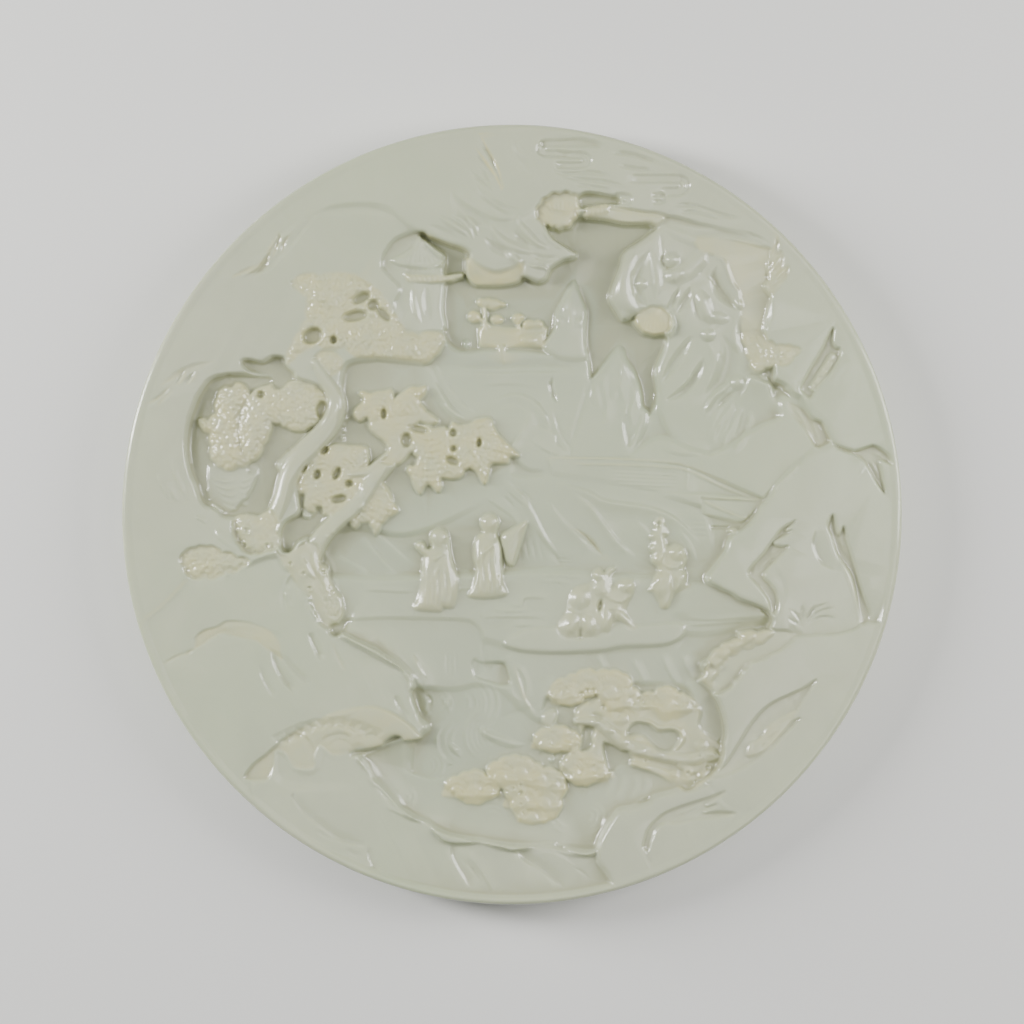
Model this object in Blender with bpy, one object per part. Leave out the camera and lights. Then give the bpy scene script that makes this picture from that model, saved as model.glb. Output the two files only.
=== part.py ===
"""A round jade panel from a table screen, carved on one face with a landscape in deep relief.

The disc lies on its flat back with the carving up. X runs to the landscape's right, Y to its top and
Z out of the carved face. The origin is the centre of the back.
"""
import math

import bmesh
import bpy
import numpy as np
from mathutils import Vector
from mathutils.geometry import delaunay_2d_cdt

# driving dimensions, in metres
DIAMETER = 0.250
THICKNESS = 0.021
CARVING_DEPTH = 0.0093
FRONT_CHAMFER = 0.0010
BACK_CHAMFER = 0.0006
RELIEF_SPACING = 0.0008
RIM_SEGMENTS = 128
RELIEF_TRIANGLES = 8900

# the jade: pale grey-green, polished
JADE_COLOUR = (0.600, 0.630, 0.540, 1.0)
JADE_ROUGHNESS = 0.30

# the carving is laid out in shares of the disc's radius, counted in units of 1/390 of it:
# u to the landscape's right and v to its top, both from the disc's centre
UNITS = 390.0          # carving units in the disc's radius
FIELD_HALF = 400.0     # half the side of the square that the field covers


def eased(t):
    """0 to 1 with level ends."""
    t = np.clip(t, 0.0, 1.0)
    return t * t * (3.0 - 2.0 * t)


def smooth_line(points, closed, per_span=6):
    """A Catmull-Rom curve through the points."""
    p = np.array(points, float)
    if closed:
        before, after, last = np.roll(p, 1, 0), np.roll(p, -1, 0), np.roll(p, -2, 0)
        start = p
    else:
        padded = np.vstack([2 * p[0] - p[1], p, 2 * p[-1] - p[-2]])
        before, start, after, last = padded[:-3], padded[1:-2], padded[2:-1], padded[3:]
    t = (np.arange(per_span) / per_span)[None, :, None]
    a, b, c, d = (q[:, None, :] for q in (before, start, after, last))
    line = 0.5 * (2 * b + (c - a) * t + (2 * a - 5 * b + 4 * c - d) * t**2 + (3 * b - a - 3 * c + d) * t**3)
    line = line.reshape(-1, p.shape[1])
    return line if closed else np.vstack([line, p[-1:]])


class Carving:
    """Heights in shares of the carving's depth: 0 at the deepest ground and 1 at the uncut face."""

    def __init__(self, pitch):
        self.pitch = pitch
        steps = int(round(2 * FIELD_HALF / pitch))
        axis = np.linspace(-FIELD_HALF, FIELD_HALF, steps + 1)
        self.axis = axis
        self.u, self.v = np.meshgrid(axis, axis)
        self.h = np.zeros_like(self.u)

    def window(self, line, margin):
        """The part of the grid that lies within margin of the line."""
        lo, hi = line[:, :2].min(0) - margin, line[:, :2].max(0) + margin
        first = np.searchsorted(self.axis, lo)
        last = np.searchsorted(self.axis, hi)
        return slice(first[1], last[1] + 1), slice(first[0], last[0] + 1)

    def depth_inside(self, line, margin):
        """(window, signed distance from the closed line, positive inside)."""
        w = self.window(line, margin)
        u, v = self.u[w], self.v[w]
        nearest = np.full(u.shape, np.inf)
        inside = np.zeros(u.shape, bool)
        for (ax, ay), (bx, by) in zip(line, np.roll(line, -1, 0)):
            du, dv = bx - ax, by - ay
            size = du * du + dv * dv
            if size < 1e-9:
                continue
            t = np.clip(((u - ax) * du + (v - ay) * dv) / size, 0, 1)
            nearest = np.minimum(nearest, (u - ax - t * du) ** 2 + (v - ay - t * dv) ** 2)
            if ay != by:
                crosses = ((ay > v) != (by > v)) & (u < du * (v - ay) / dv + ax)
                inside ^= crosses
        distance = np.sqrt(nearest)
        return w, np.where(inside, distance, -distance)

    def along(self, line, margin):
        """(window, distance from the open line, share of its length, width there)."""
        w = self.window(line, margin)
        u, v = self.u[w], self.v[w]
        nearest = np.full(u.shape, np.inf)
        share = np.zeros(u.shape)
        width = np.zeros(u.shape)
        lengths = np.hypot(*(line[1:, :2] - line[:-1, :2]).T)
        total = lengths.sum()
        walked = 0.0
        for a, b, length in zip(line[:-1], line[1:], lengths):
            if length < 1e-9:
                continue
            du, dv = b[0] - a[0], b[1] - a[1]
            t = np.clip(((u - a[0]) * du + (v - a[1]) * dv) / length**2, 0, 1)
            d2 = (u - a[0] - t * du) ** 2 + (v - a[1] - t * dv) ** 2
            closer = d2 < nearest
            nearest = np.where(closer, d2, nearest)
            share = np.where(closer, (walked + t * length) / total, share)
            if line.shape[1] > 2:
                width = np.where(closer, a[2] + t * (b[2] - a[2]), width)
            walked += length
        return w, np.sqrt(nearest), share, width

    def lay(self, points, level, wall=4.0, crown=0.0, reach=12.0, straight=False, fade=None):
        """Brings the inside of an outline to a level, with a wall of that width and an edge that rolls off."""
        line = np.array(points, float) if straight else smooth_line(points, True)
        w, d = self.depth_inside(line, wall + 2)
        share = eased(d / wall + 0.5)
        if fade:
            share = share * fade(self.u[w], self.v[w])
        target = level(self.u[w], self.v[w]) if callable(level) else level
        target = target - crown * (1 - np.clip(d / reach, 0, 1)) ** 2
        self.h[w] += (target - self.h[w]) * share

    def swell(self, points, rise, reach=10.0, straight=False):
        """Adds a rise inside an outline that grows from nothing at the outline to its full height at reach."""
        line = np.array(points, float) if straight else smooth_line(points, True)
        w, d = self.depth_inside(line, 2)
        share = eased(d / reach)
        self.h[w] += rise * share

    def ledge(self, points, rise, reach, wall=2.0, taper=0.25):
        """Lifts the left side of a line, most beside the line and back to nothing at reach: one form over another."""
        line = smooth_line(points, False)
        w, d, share, _ = self.along(line, reach + wall)
        u, v = self.u[w], self.v[w]
        nearest = np.full(u.shape, np.inf)
        side = np.zeros(u.shape)
        for a, b in zip(line[:-1], line[1:]):
            du, dv = b[0] - a[0], b[1] - a[1]
            size = max(du * du + dv * dv, 1e-9)
            t = np.clip(((u - a[0]) * du + (v - a[1]) * dv) / size, 0, 1)
            d2 = (u - a[0] - t * du) ** 2 + (v - a[1] - t * dv) ** 2
            closer = d2 < nearest
            nearest = np.where(closer, d2, nearest)
            side = np.where(closer, np.sign(du * (v - a[1]) - dv * (u - a[0])), side)
        thin = np.clip(np.minimum(share, 1 - share) / taper, 0, 1) ** 0.7
        s = d * side
        lift = eased(s / wall + 0.5) * (1 - np.clip(s / reach, 0, 1)) ** 2
        self.h[w] += rise * lift * thin

    def stroke(self, points, width, rise, taper=0.35, lean=0.0):
        """Adds a rounded ridge, or a groove where rise is negative, along a line that thins to its ends."""
        line = smooth_line(points, False)
        w, d, share, _ = self.along(line, width + 2)
        thin = np.clip(np.minimum(share, 1 - share) / max(taper, 1e-6), 0, 1) ** 0.7 if taper else 1.0
        half = np.maximum(width * 0.5 * thin, 1e-6)
        bell = np.clip(1 - (d / half) ** 2, 0, 1) ** 1.5
        self.h[w] += rise * bell * thin
    def limb(self, points, level, rise, wall=3.0):
        """A round limb, such as a trunk: points hold (u, v, half width), and its back lies at a level."""
        line = smooth_line(points, False)
        w, d, share, half = self.along(line, line[:, 2].max() + wall + 2)
        inside = half - d
        cover = eased(inside / wall + 0.5)
        top = level + rise * np.sqrt(np.clip(1 - (d / np.maximum(half, 1e-6)) ** 2, 0, 1))
        target = np.maximum(self.h[w], top)
        self.h[w] += (target - self.h[w]) * cover

    def boss(self, u, v, ru, rv, rise, turn=0.0, power=1.0):
        """Adds a rounded bump, or a dimple where rise is negative."""
        reach = max(ru, rv)
        w = self.window(np.array([[u, v]]), reach + 2)
        du, dv = self.u[w] - u, self.v[w] - v
        a = math.radians(turn)
        x = (du * math.cos(a) + dv * math.sin(a)) / ru
        y = (-du * math.sin(a) + dv * math.cos(a)) / rv
        self.h[w] += rise * np.clip(1 - x * x - y * y, 0, 1) ** power

    def knob(self, u, v, ru, rv, level, rise, turn=0.0, wall=2.0):
        """A round form that stands on a level: a head, a bead or a shoulder."""
        reach = max(ru, rv) + wall
        w = self.window(np.array([[u, v]]), reach + 2)
        du, dv = self.u[w] - u, self.v[w] - v
        a = math.radians(turn)
        x = (du * math.cos(a) + dv * math.sin(a)) / ru
        y = (-du * math.sin(a) + dv * math.cos(a)) / rv
        r = np.sqrt(x * x + y * y)
        inside = (1 - r) * min(ru, rv)
        cover = eased(inside / wall + 0.5)
        top = level + rise * np.clip(1 - r * r, 0, 1) ** 0.8
        target = np.maximum(self.h[w], top)
        self.h[w] += (target - self.h[w]) * cover

    def hole(self, u, v, ru, rv, level, turn=0.0, wall=2.5):
        """A drilled pit down to a level."""
        reach = max(ru, rv) + wall
        w = self.window(np.array([[u, v]]), reach + 2)
        du, dv = self.u[w] - u, self.v[w] - v
        a = math.radians(turn)
        x = (du * math.cos(a) + dv * math.sin(a)) / ru
        y = (-du * math.sin(a) + dv * math.cos(a)) / rv
        inside = (1 - np.sqrt(x * x + y * y)) * min(ru, rv)
        cover = eased(inside / wall + 0.5)
        self.h[w] += (np.minimum(self.h[w], level) - self.h[w]) * cover


def ramp(start, end, low, high):
    """A level that runs from low at start to high at end, and is even beyond them."""
    (au, av), (bu, bv) = start, end
    du, dv = bu - au, bv - av
    size = du * du + dv * dv

    def level(u, v):
        return low + (high - low) * eased(((u - au) * du + (v - av) * dv) / size)

    return level


def lobed(corners, bulge=0.35, per_arc=5):
    """A closed outline whose spans between corners bulge outwards, like the edge of foliage."""
    p = np.array(corners, float)
    area = 0.5 * np.sum(p[:, 0] * np.roll(p[:, 1], -1) - np.roll(p[:, 0], -1) * p[:, 1])
    side = 1.0 if area > 0 else -1.0
    line = []
    for a, b in zip(p, np.roll(p, -1, 0)):
        chord = b - a
        out = side * np.array([chord[1], -chord[0]])
        for i in range(per_arc):
            t = i / per_arc
            line.append(a + chord * t + out * bulge * math.sin(math.pi * t))
    return line


def fan(c, u, v, reach, first, last, step, rise, width=2.2, inner=0.25):
    """Needle or vein strokes that spread from a point, between two bearings in degrees."""
    for bearing in np.arange(first, last + 0.1, step):
        a = math.radians(bearing)
        du, dv = math.cos(a) * reach, math.sin(a) * reach
        c.stroke([(u + du * inner, v + dv * inner), (u + du, v + dv)], width, rise, taper=0.2)




def button(c, u, v, r):
    """A small raised ring with a dimple, such as a knot or a pine cone."""
    c.boss(u, v, r * 1.3, r * 1.3, 0.07)
    c.boss(u, v, r * 0.75, r * 0.75, -0.14)




def carve_base(c):
    """The broad levels: the dished left, the open scene in the middle and the deep sky."""
    c.lay([(-395, 60), (-372, 180), (-300, 262), (-200, 296), (-120, 300), (-60, 280), (-20, 200), (-60, 100),
           (-130, 20), (-200, -20), (-300, -10), (-370, 0)],
          ramp((-300, 240), (-120, 150), 0.97, 0.66), wall=70)
    c.lay([(-60, 268), (-40, 262), (20, 292), (68, 300), (146, 290), (140, 240), (150, 180),
           (170, 150), (240, 140), (278, 124), (280, 88), (262, 25), (238, -10), (205, -50), (197, -68),
           (225, -82), (258, -100), (262, -125), (232, -140), (195, -143), (188, -165), (200, -185), (211, -225),
           (190, -262), (140, -287), (98, -308), (84, -337), (30, -334), (-30, -326), (-83, -309), (-120, -290),
           (-150, -250), (-170, -232), (-90, -205), (-100, -150), (-165, -120), (-190, -80), (-205, -20),
           (-180, 30), (-150, 100), (-140, 150), (-100, 160), (-66, 178), (-70, 230)],
          0.36, wall=9)
    carve_sky(c)


def carve_sky(c):
    c.lay([(-66, 268), (-48, 266), (-40, 262), (20, 290), (40, 292), (72, 297), (104, 294), (146, 288),
           (131, 276), (113, 263), (108, 247), (100, 226), (99, 215), (105, 204), (112, 195), (124, 191),
           (134, 181), (154, 180), (155, 172), (148, 156), (144, 142), (146, 122), (142, 108), (136, 100),
           (131, 108), (129, 127), (123, 144), (116, 154), (108, 168), (92, 150), (80, 137), (76, 156),
           (60, 158), (20, 164), (-20, 166), (-50, 164), (-66, 176), (-70, 200), (-68, 232)], 0.13, wall=6)


def carve_left_field(c):
    """Ridges and short grass cuts on the smooth upper left."""
    c.stroke([(-206, 298), (-180, 304), (-150, 307), (-120, 302), (-98, 288)], 14, -0.05)
    c.stroke([(-200, 306), (-165, 313), (-130, 312), (-100, 300)], 12, 0.04)
    c.stroke([(-300, 228), (-262, 246), (-228, 272), (-200, 306)], 16, 0.04)
    c.stroke([(-196, 300), (-222, 274), (-250, 246), (-280, 234)], 14, -0.05)
    for line in ([(-282, 236), (-268, 243), (-254, 250)], [(-262, 240), (-250, 246), (-242, 256)],
                 [(-248, 250), (-242, 262), (-238, 272)], [(-240, 256), (-236, 268), (-232, 281)],
                 [(-256, 246), (-248, 252), (-244, 260)], [(-238, 268), (-232, 274), (-234, 282)],
                 [(-230, 262), (-228, 272), (-222, 280)]):
        c.stroke(line, 5, -0.07)
    for line in ([(-270, 240), (-256, 246), (-246, 258)], [(-246, 258), (-240, 270), (-234, 280)]):
        c.stroke(line, 4, 0.05)
    for line in ([(-338, 130), (-332, 137), (-328, 145)], [(-328, 130), (-322, 137), (-317, 144)]):
        c.stroke(line, 4.5, -0.09)
        c.stroke([(u + 3, v - 1) for u, v in line], 3.5, 0.05)
    for line in ([(-366, 110), (-352, 118), (-340, 130)], [(-356, 108), (-346, 118), (-338, 124)]):
        c.stroke(line, 4.5, -0.06)
    c.stroke([(-352, 128), (-336, 139), (-320, 147), (-298, 153)], 9, -0.06)
    c.stroke([(-366, 104), (-345, 116), (-322, 124), (-296, 132)], 14, 0.03)


def carve_pagoda(c):
    """A tall tower with a wide roof and a balcony, in front of an arched hollow."""
    arch = [(-93, 284), (-104, 279), (-114, 274), (-125, 266), (-131, 255), (-129, 245), (-118, 232), (-112, 212),
            (-116, 192), (-95, 180), (-66, 176), (-60, 200), (-56, 230), (-44, 248), (-42, 262), (-60, 270),
            (-76, 277)]
    c.lay(arch, ramp((-104, 250), (-62, 252), 0.56, 0.10), wall=7)
    c.stroke([(-94, 282), (-112, 274), (-126, 262), (-128, 248), (-118, 234)], 9, -0.05, taper=0.2)
    c.stroke([(-134, 262), (-134, 250), (-127, 240), (-116, 230)], 9, 0.05)
    body = [(-106, 236), (-104, 222), (-112, 204), (-118, 190), (-96, 182), (-66, 184), (-68, 206), (-70, 236)]
    c.lay(body, 0.56, wall=5, crown=0.10, reach=12)
    c.lay([(-93, 282), (-96, 276), (-104, 268), (-117, 257), (-112, 252), (-90, 250), (-66, 251), (-63, 257),
           (-74, 263), (-86, 272)], 0.60, wall=4, crown=0.10, reach=12)
    c.stroke([(-93, 280), (-97, 272), (-108, 262), (-116, 257)], 4, 0.04)
    c.stroke([(-92, 280), (-84, 268), (-74, 261), (-63, 258)], 4, 0.04)
    c.stroke([(-116, 255), (-90, 252), (-64, 255)], 3.6, 0.04, taper=0.1)
    c.lay([(-108, 243), (-64, 243), (-50, 241), (-50, 237), (-64, 234), (-108, 234)], 0.58, wall=3)
    c.stroke([(-108, 243), (-80, 243), (-50, 240)], 3, 0.03, taper=0.1)
    c.stroke([(-108, 234), (-80, 234), (-52, 237)], 3, 0.03, taper=0.1)
    c.stroke([(-100, 226), (-99, 214), (-96, 203), (-90, 190)], 6, 0.10)
    c.stroke([(-105, 226), (-104, 210), (-100, 196)], 7, -0.06)
    c.stroke([(-84, 230), (-83, 212), (-80, 194)], 8, -0.03)
    c.stroke([(-76, 230), (-75, 212), (-72, 194)], 7, 0.03)


def carve_top_rock(c):
    """The mass of rock that hangs over the sky."""
    left_end = ramp((-150, 320), (-102, 290), 0.0, 1.0)
    top_end = ramp((24, 340), (20, 302), 0.0, 1.0)

    def overhang(u, v):
        return left_end(u, v) * top_end(u, v)

    edge = [(-200, 340), (-150, 314), (-120, 300), (-104, 288), (-96, 283), (-88, 282), (-83, 278), (-72, 274),
            (-61, 270), (-51, 267), (-43, 262), (-44, 254), (-46, 246), (-44, 238), (-37, 231), (-27, 230),
            (-11, 230), (5, 233), (10, 238), (16, 237), (27, 233), (35, 237), (39, 246), (51, 254), (61, 257),
            (64, 262), (51, 270), (40, 278), (35, 288), (28, 300), (34, 322), (50, 350), (110, 420), (-60, 430), (-150, 400)]
    c.lay(edge, ramp((0, 340), (0, 240), 1.0, 0.80), wall=3.5, crown=0.06, reach=6, fade=overhang)
    c.lay([(-45, 258), (-46, 247), (-44, 238), (-37, 231), (-27, 230), (-11, 230), (5, 233), (10, 238), (11, 252),
           (0, 247), (-16, 243), (-32, 249)], 0.56, wall=5, crown=0.08, reach=6)
    c.stroke([(-43, 258), (-32, 250), (-16, 244), (0, 248), (12, 254)], 5, 0.05)
    # long folds that sweep down to the tip
    c.stroke([(-54, 341), (-50, 328), (-42, 316), (-27, 307), (-10, 298), (6, 298)], 17, 0.09)
    c.stroke([(-62, 326), (-54, 310), (-38, 298), (-20, 288)], 16, -0.07)
    c.stroke([(-74, 299), (-62, 292), (-50, 284), (-42, 277)], 8, 0.10)
    c.stroke([(-62, 300), (-50, 294), (-42, 284), (-38, 274)], 6, 0.08)
    c.stroke([(-46, 300), (-38, 290), (-34, 278)], 6, 0.06)
    c.stroke([(-84, 290), (-66, 282), (-52, 274)], 8, -0.05)
    c.stroke([(-22, 290), (-16, 280), (-8, 272), (6, 266), (22, 262)], 13, 0.11)
    c.stroke([(-28, 278), (-18, 268), (-8, 262), (4, 258)], 10, -0.08)
    c.stroke([(-10, 264), (0, 259), (7, 252), (11, 242)], 9, 0.11)
    c.stroke([(6, 300), (8, 290), (16, 280), (24, 272), (38, 266)], 11, 0.10)
    c.stroke([(0, 284), (12, 274), (26, 268)], 7, -0.07)
    c.stroke([(18, 262), (32, 256), (48, 258)], 8, -0.07)
    c.stroke([(28, 288), (36, 279), (44, 272), (60, 263)], 8, 0.07)
    for i in range(3):
        c.stroke([(14 + i * 5, 251 - i * 2), (22 + i * 5, 249 - i), (36 + i, 250 - i * 4)], 4, 0.07)
    c.stroke([(-40, 340), (-30, 322), (-12, 308), (10, 304)], 10, -0.05)
    # blades of grass
    for line in ([(-36, 384), (-28, 368), (-19, 354), (-12, 336), (-7, 318)], [(-41, 370), (-31, 356), (-22, 344),
                 (-12, 326)], [(-45, 347), (-36, 338), (-28, 332), (-15, 320)], [(-30, 372), (-22, 360), (-16, 344)],
                 [(-34, 348), (-26, 338), (-18, 328)]):
        c.stroke(line, 5, -0.08)
    for line in ([(-32, 380), (-24, 364), (-15, 348), (-9, 328)], [(-36, 366), (-26, 352), (-16, 336)],
                 [(-24, 352), (-16, 338), (-9, 322)]):
        c.stroke(line, 3.4, 0.07)
    c.stroke([(-5, 379), (-2, 366), (4, 354), (13, 343), (24, 337), (30, 322)], 9, 0.06)
    c.stroke([(2, 378), (6, 364), (14, 354), (28, 344)], 11, -0.05)
    c.stroke([(18, 344), (24, 332), (29, 320)], 5, 0.06)
    # a low bush where the rock meets the clouds
    bush = lobed([(25, 300), (29, 311), (36, 318), (48, 321), (60, 321), (67, 317), (66, 304), (62, 294),
                  (52, 287), (43, 288), (36, 290), (28, 294)], 0.22)
    c.lay(bush, 0.80, wall=3, crown=0.10, reach=8, straight=True)
    fan(c, 50, 284, 32, 50, 140, 9, -0.035, 2.6)
    c.stroke([(28, 312), (40, 304), (54, 302), (64, 306)], 5, -0.05)


def carve_clouds(c):
    """Flat scrolls of cloud in the upper right."""
    c.lay([(67, 318), (76, 322), (92, 320), (107, 316), (106, 311), (90, 311), (78, 308), (69, 307)], 0.46, wall=4)
    c.lay([(71, 301), (76, 297), (94, 295), (113, 291), (137, 291), (147, 288), (160, 294), (150, 301),
           (127, 304), (100, 309), (78, 308)], 0.86, wall=3, crown=0.10, reach=5)
    for i in range(5):
        c.knob(76 + i * 4.6, 303 + i * 0.6, 3.4, 6.0, 0.82, 0.12)
    c.stroke([(100, 306), (122, 303), (150, 299)], 4, -0.05)
    c.stroke([(78, 297), (110, 294), (140, 292)], 3.6, 0.04)

    def scroll(u, v, radii, side, top, low):
        """Nested lines that turn back round (u, v), with the upper and the lower run going on to an end."""
        for r in radii:
            bend = [(u + side * r * math.cos(a), v + 0.72 * r * math.sin(a))
                    for a in np.radians(np.arange(90, -91, -22.5))]
            c.stroke([(top, v + 0.72 * r)] + bend + [(low, v - 0.72 * r)], 3.2, -0.06, taper=0.12)

    scroll(36, 366, (3.5, 7, 10.5), -1, 96, 60)
    scroll(68, 354, (3.5, 7, 10.5), 1, 44, 40)
    scroll(164, 329, (5, 9, 13), 1, 112, 142)
    scroll(112, 315, (2.5, 5, 7.5), 1, 100, 104)
    scroll(148, 316, (3, 6), 1, 138, 140)
    for u, v, ru in ((138, 319, 2.4), (142, 318, 2.4), (146, 317, 2.4), (28, 368, 2.2), (24, 368, 2.2)):
        c.boss(u, v, ru, 5, 0.05)
    for line in ([(36, 346), (52, 341), (80, 342), (104, 337)], [(46, 339), (70, 335), (96, 332), (118, 326)],
                 [(60, 331), (84, 327), (104, 324)], [(153, 309), (180, 309), (209, 300), (234, 294)],
                 [(164, 302), (188, 302), (212, 294)], [(96, 362), (120, 360), (150, 350)],
                 [(104, 350), (124, 346), (144, 344)], [(50, 374), (80, 377), (104, 372), (128, 366)]):
        c.stroke(line, 3.6, -0.045, taper=0.25)
    for line in ([(150, 300), (172, 293), (198, 287), (222, 283), (248, 276), (262, 268)],
                 [(168, 285), (190, 281), (214, 281), (240, 274), (256, 268)]):
        c.stroke(line, 6, -0.07, taper=0.2)
    c.stroke([(160, 290), (185, 286), (214, 285), (244, 277)], 6, 0.05, taper=0.2)


def carve_sky_pine(c):
    """A small pine behind a low wall, deep under the overhang."""
    c.lay([(-34, 188), (-20, 194), (-8, 190), (6, 190), (14, 196), (32, 196), (40, 200), (40, 184), (34, 172),
           (-33, 168)], 0.24, wall=3, straight=True)
    c.lay([(-33, 187), (10, 187), (10, 180), (32, 182), (33, 171), (-33, 169)], 0.32, wall=3, straight=True,
          crown=0.04, reach=4)
    c.stroke([(-32, 184), (8, 184)], 2.4, -0.03, taper=0.1)
    c.stroke([(-32, 177), (8, 177)], 2.0, -0.02, taper=0.1)
    c.stroke([(11, 186), (12, 171)], 2.4, -0.03, taper=0.1)
    c.limb([(-26, 180, 5), (-25, 192, 4), (-26, 202, 3.5), (-22, 208, 3)], 0.26, 0.08)
    c.limb([(-16, 168, 5), (-15, 160, 4.5), (-11, 152, 3.5)], 0.24, 0.10)
    pads = ([(-34, 212), (-33, 217), (-24, 219), (-14, 216), (-7, 212), (-8, 207), (-18, 206), (-24, 203),
             (-31, 206)], [(-45, 199), (-42, 204), (-36, 205), (-30, 202), (-28, 197), (-32, 193), (-40, 192)],
            [(-24, 196), (-20, 201), (-14, 201), (-11, 196), (-14, 191), (-20, 191)],
            [(0, 198), (2, 203), (7, 203), (11, 199), (10, 193), (5, 190), (0, 193)],
            [(10, 193), (14, 197), (20, 195), (26, 196), (31, 194), (31, 188), (22, 186), (12, 187)],
            [(30, 198), (34, 204), (40, 203), (42, 196), (38, 190), (32, 190)])
    for pad in pads:
        c.lay(lobed(pad, 0.2), 0.40, wall=2.6, crown=0.10, reach=5, straight=True)
    c.knob(18, 174, 12, 5, 0.26, 0.08)
    c.knob(-46, 172, 5, 4, 0.12, 0.12)


def carve_peaks(c):
    """Two pointed rocks in the sky recess."""
    c.lay([(62, 234), (56, 227), (51, 217), (46, 208), (43, 198), (42, 186), (36, 176), (32, 166), (50, 156),
           (75, 156), (74, 170), (74, 188), (75, 204), (70, 218), (66, 228)], ramp((60, 236), (60, 160), 0.34, 0.45),
          wall=4, crown=0.06, reach=8)
    c.ledge([(65, 228), (72, 214), (74, 200), (72, 184), (73, 162)], -0.05, 10, wall=3)
    c.ledge([(60, 230), (56, 214), (58, 198), (54, 176)], 0.05, 14, wall=4)
    c.boss(47.5, 195, 4.5, 5, 0.05)
    c.boss(67.5, 193, 5, 6, 0.05)
    c.boss(58, 206, 7, 16, 0.04, turn=10)
    c.lay([(106.6, 166), (99, 155.6), (90.7, 145.4), (80.6, 137), (76, 122), (68, 100), (58, 60), (80, 54),
           (118, 60), (134, 84), (138, 102), (132, 109), (130, 121), (124, 135), (118, 147), (114, 156)],
          ramp((105, 165), (90, 60), 0.38, 0.46), wall=4, crown=0.06, reach=8)
    c.ledge([(106, 164), (110, 146), (108, 128), (112, 110)], 0.06, 16, wall=4)
    c.ledge([(92, 146), (90, 128), (94, 108), (90, 86)], 0.05, 16, wall=4)
    c.ledge([(120, 134), (122, 118), (118, 104), (120, 88)], 0.06, 12, wall=3)
    c.ledge([(111, 100), (112, 84), (117, 67)], -0.07, 14, wall=2)
    c.ledge([(117, 67), (124, 84), (130, 101)], -0.05, 12, wall=2)
    c.boss(104, 128, 6, 14, 0.04, turn=-8)
    c.boss(84, 120, 6, 16, 0.03, turn=14)


def carve_plateau(c):
    """The ledge under the sky and the valley that runs down from it on the left."""
    c.lay([(-118, 152), (-60, 156), (0, 152), (50, 156), (74, 150), (72, 120), (62, 80), (56, 52), (20, 44),
           (0, 60), (-20, 84), (-50, 96), (-70, 108), (-88, 130), (-120, 130)],
          ramp((0, 150), (0, 60), 0.36, 0.44), wall=6)
    c.ledge([(-70, 150), (-20, 148), (30, 150), (75, 146)], -0.08, 12, wall=3)
    c.ledge([(75, 142), (28, 143), (-20, 142), (-66, 144)], 0.05, 14, wall=3)
    c.ledge([(-44, 94), (-62, 110), (-76, 132), (-88, 152)], 0.10, 16, wall=3)
    c.ledge([(-34, 100), (-52, 114), (-66, 134), (-78, 152)], 0.06, 10, wall=3)
    c.ledge([(40, 82), (34, 100), (20, 116), (0, 121), (-22, 112)], 0.07, 14, wall=3)
    c.ledge([(26, 92), (16, 104), (0, 110), (-18, 104)], 0.04, 10, wall=3)
    c.ledge([(20, 104), (10, 85), (2, 74), (-8, 62)], 0.05, 14, wall=3)
    c.ledge([(41, 105), (47, 84), (58, 66), (63, 64)], -0.06, 12, wall=2)
    c.ledge([(70, 105), (66, 84), (60, 66)], 0.06, 14, wall=2.4)
    c.ledge([(20, 92), (36, 86), (44, 80), (45, 72), (56, 62)], -0.06, 12, wall=2.4)
    c.ledge([(20, 74), (34, 64), (50, 58), (60, 56)], 0.05, 12, wall=2.4)
    c.ledge([(-30, 130), (0, 131), (28, 128)], 0.04, 10, wall=3)


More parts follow.
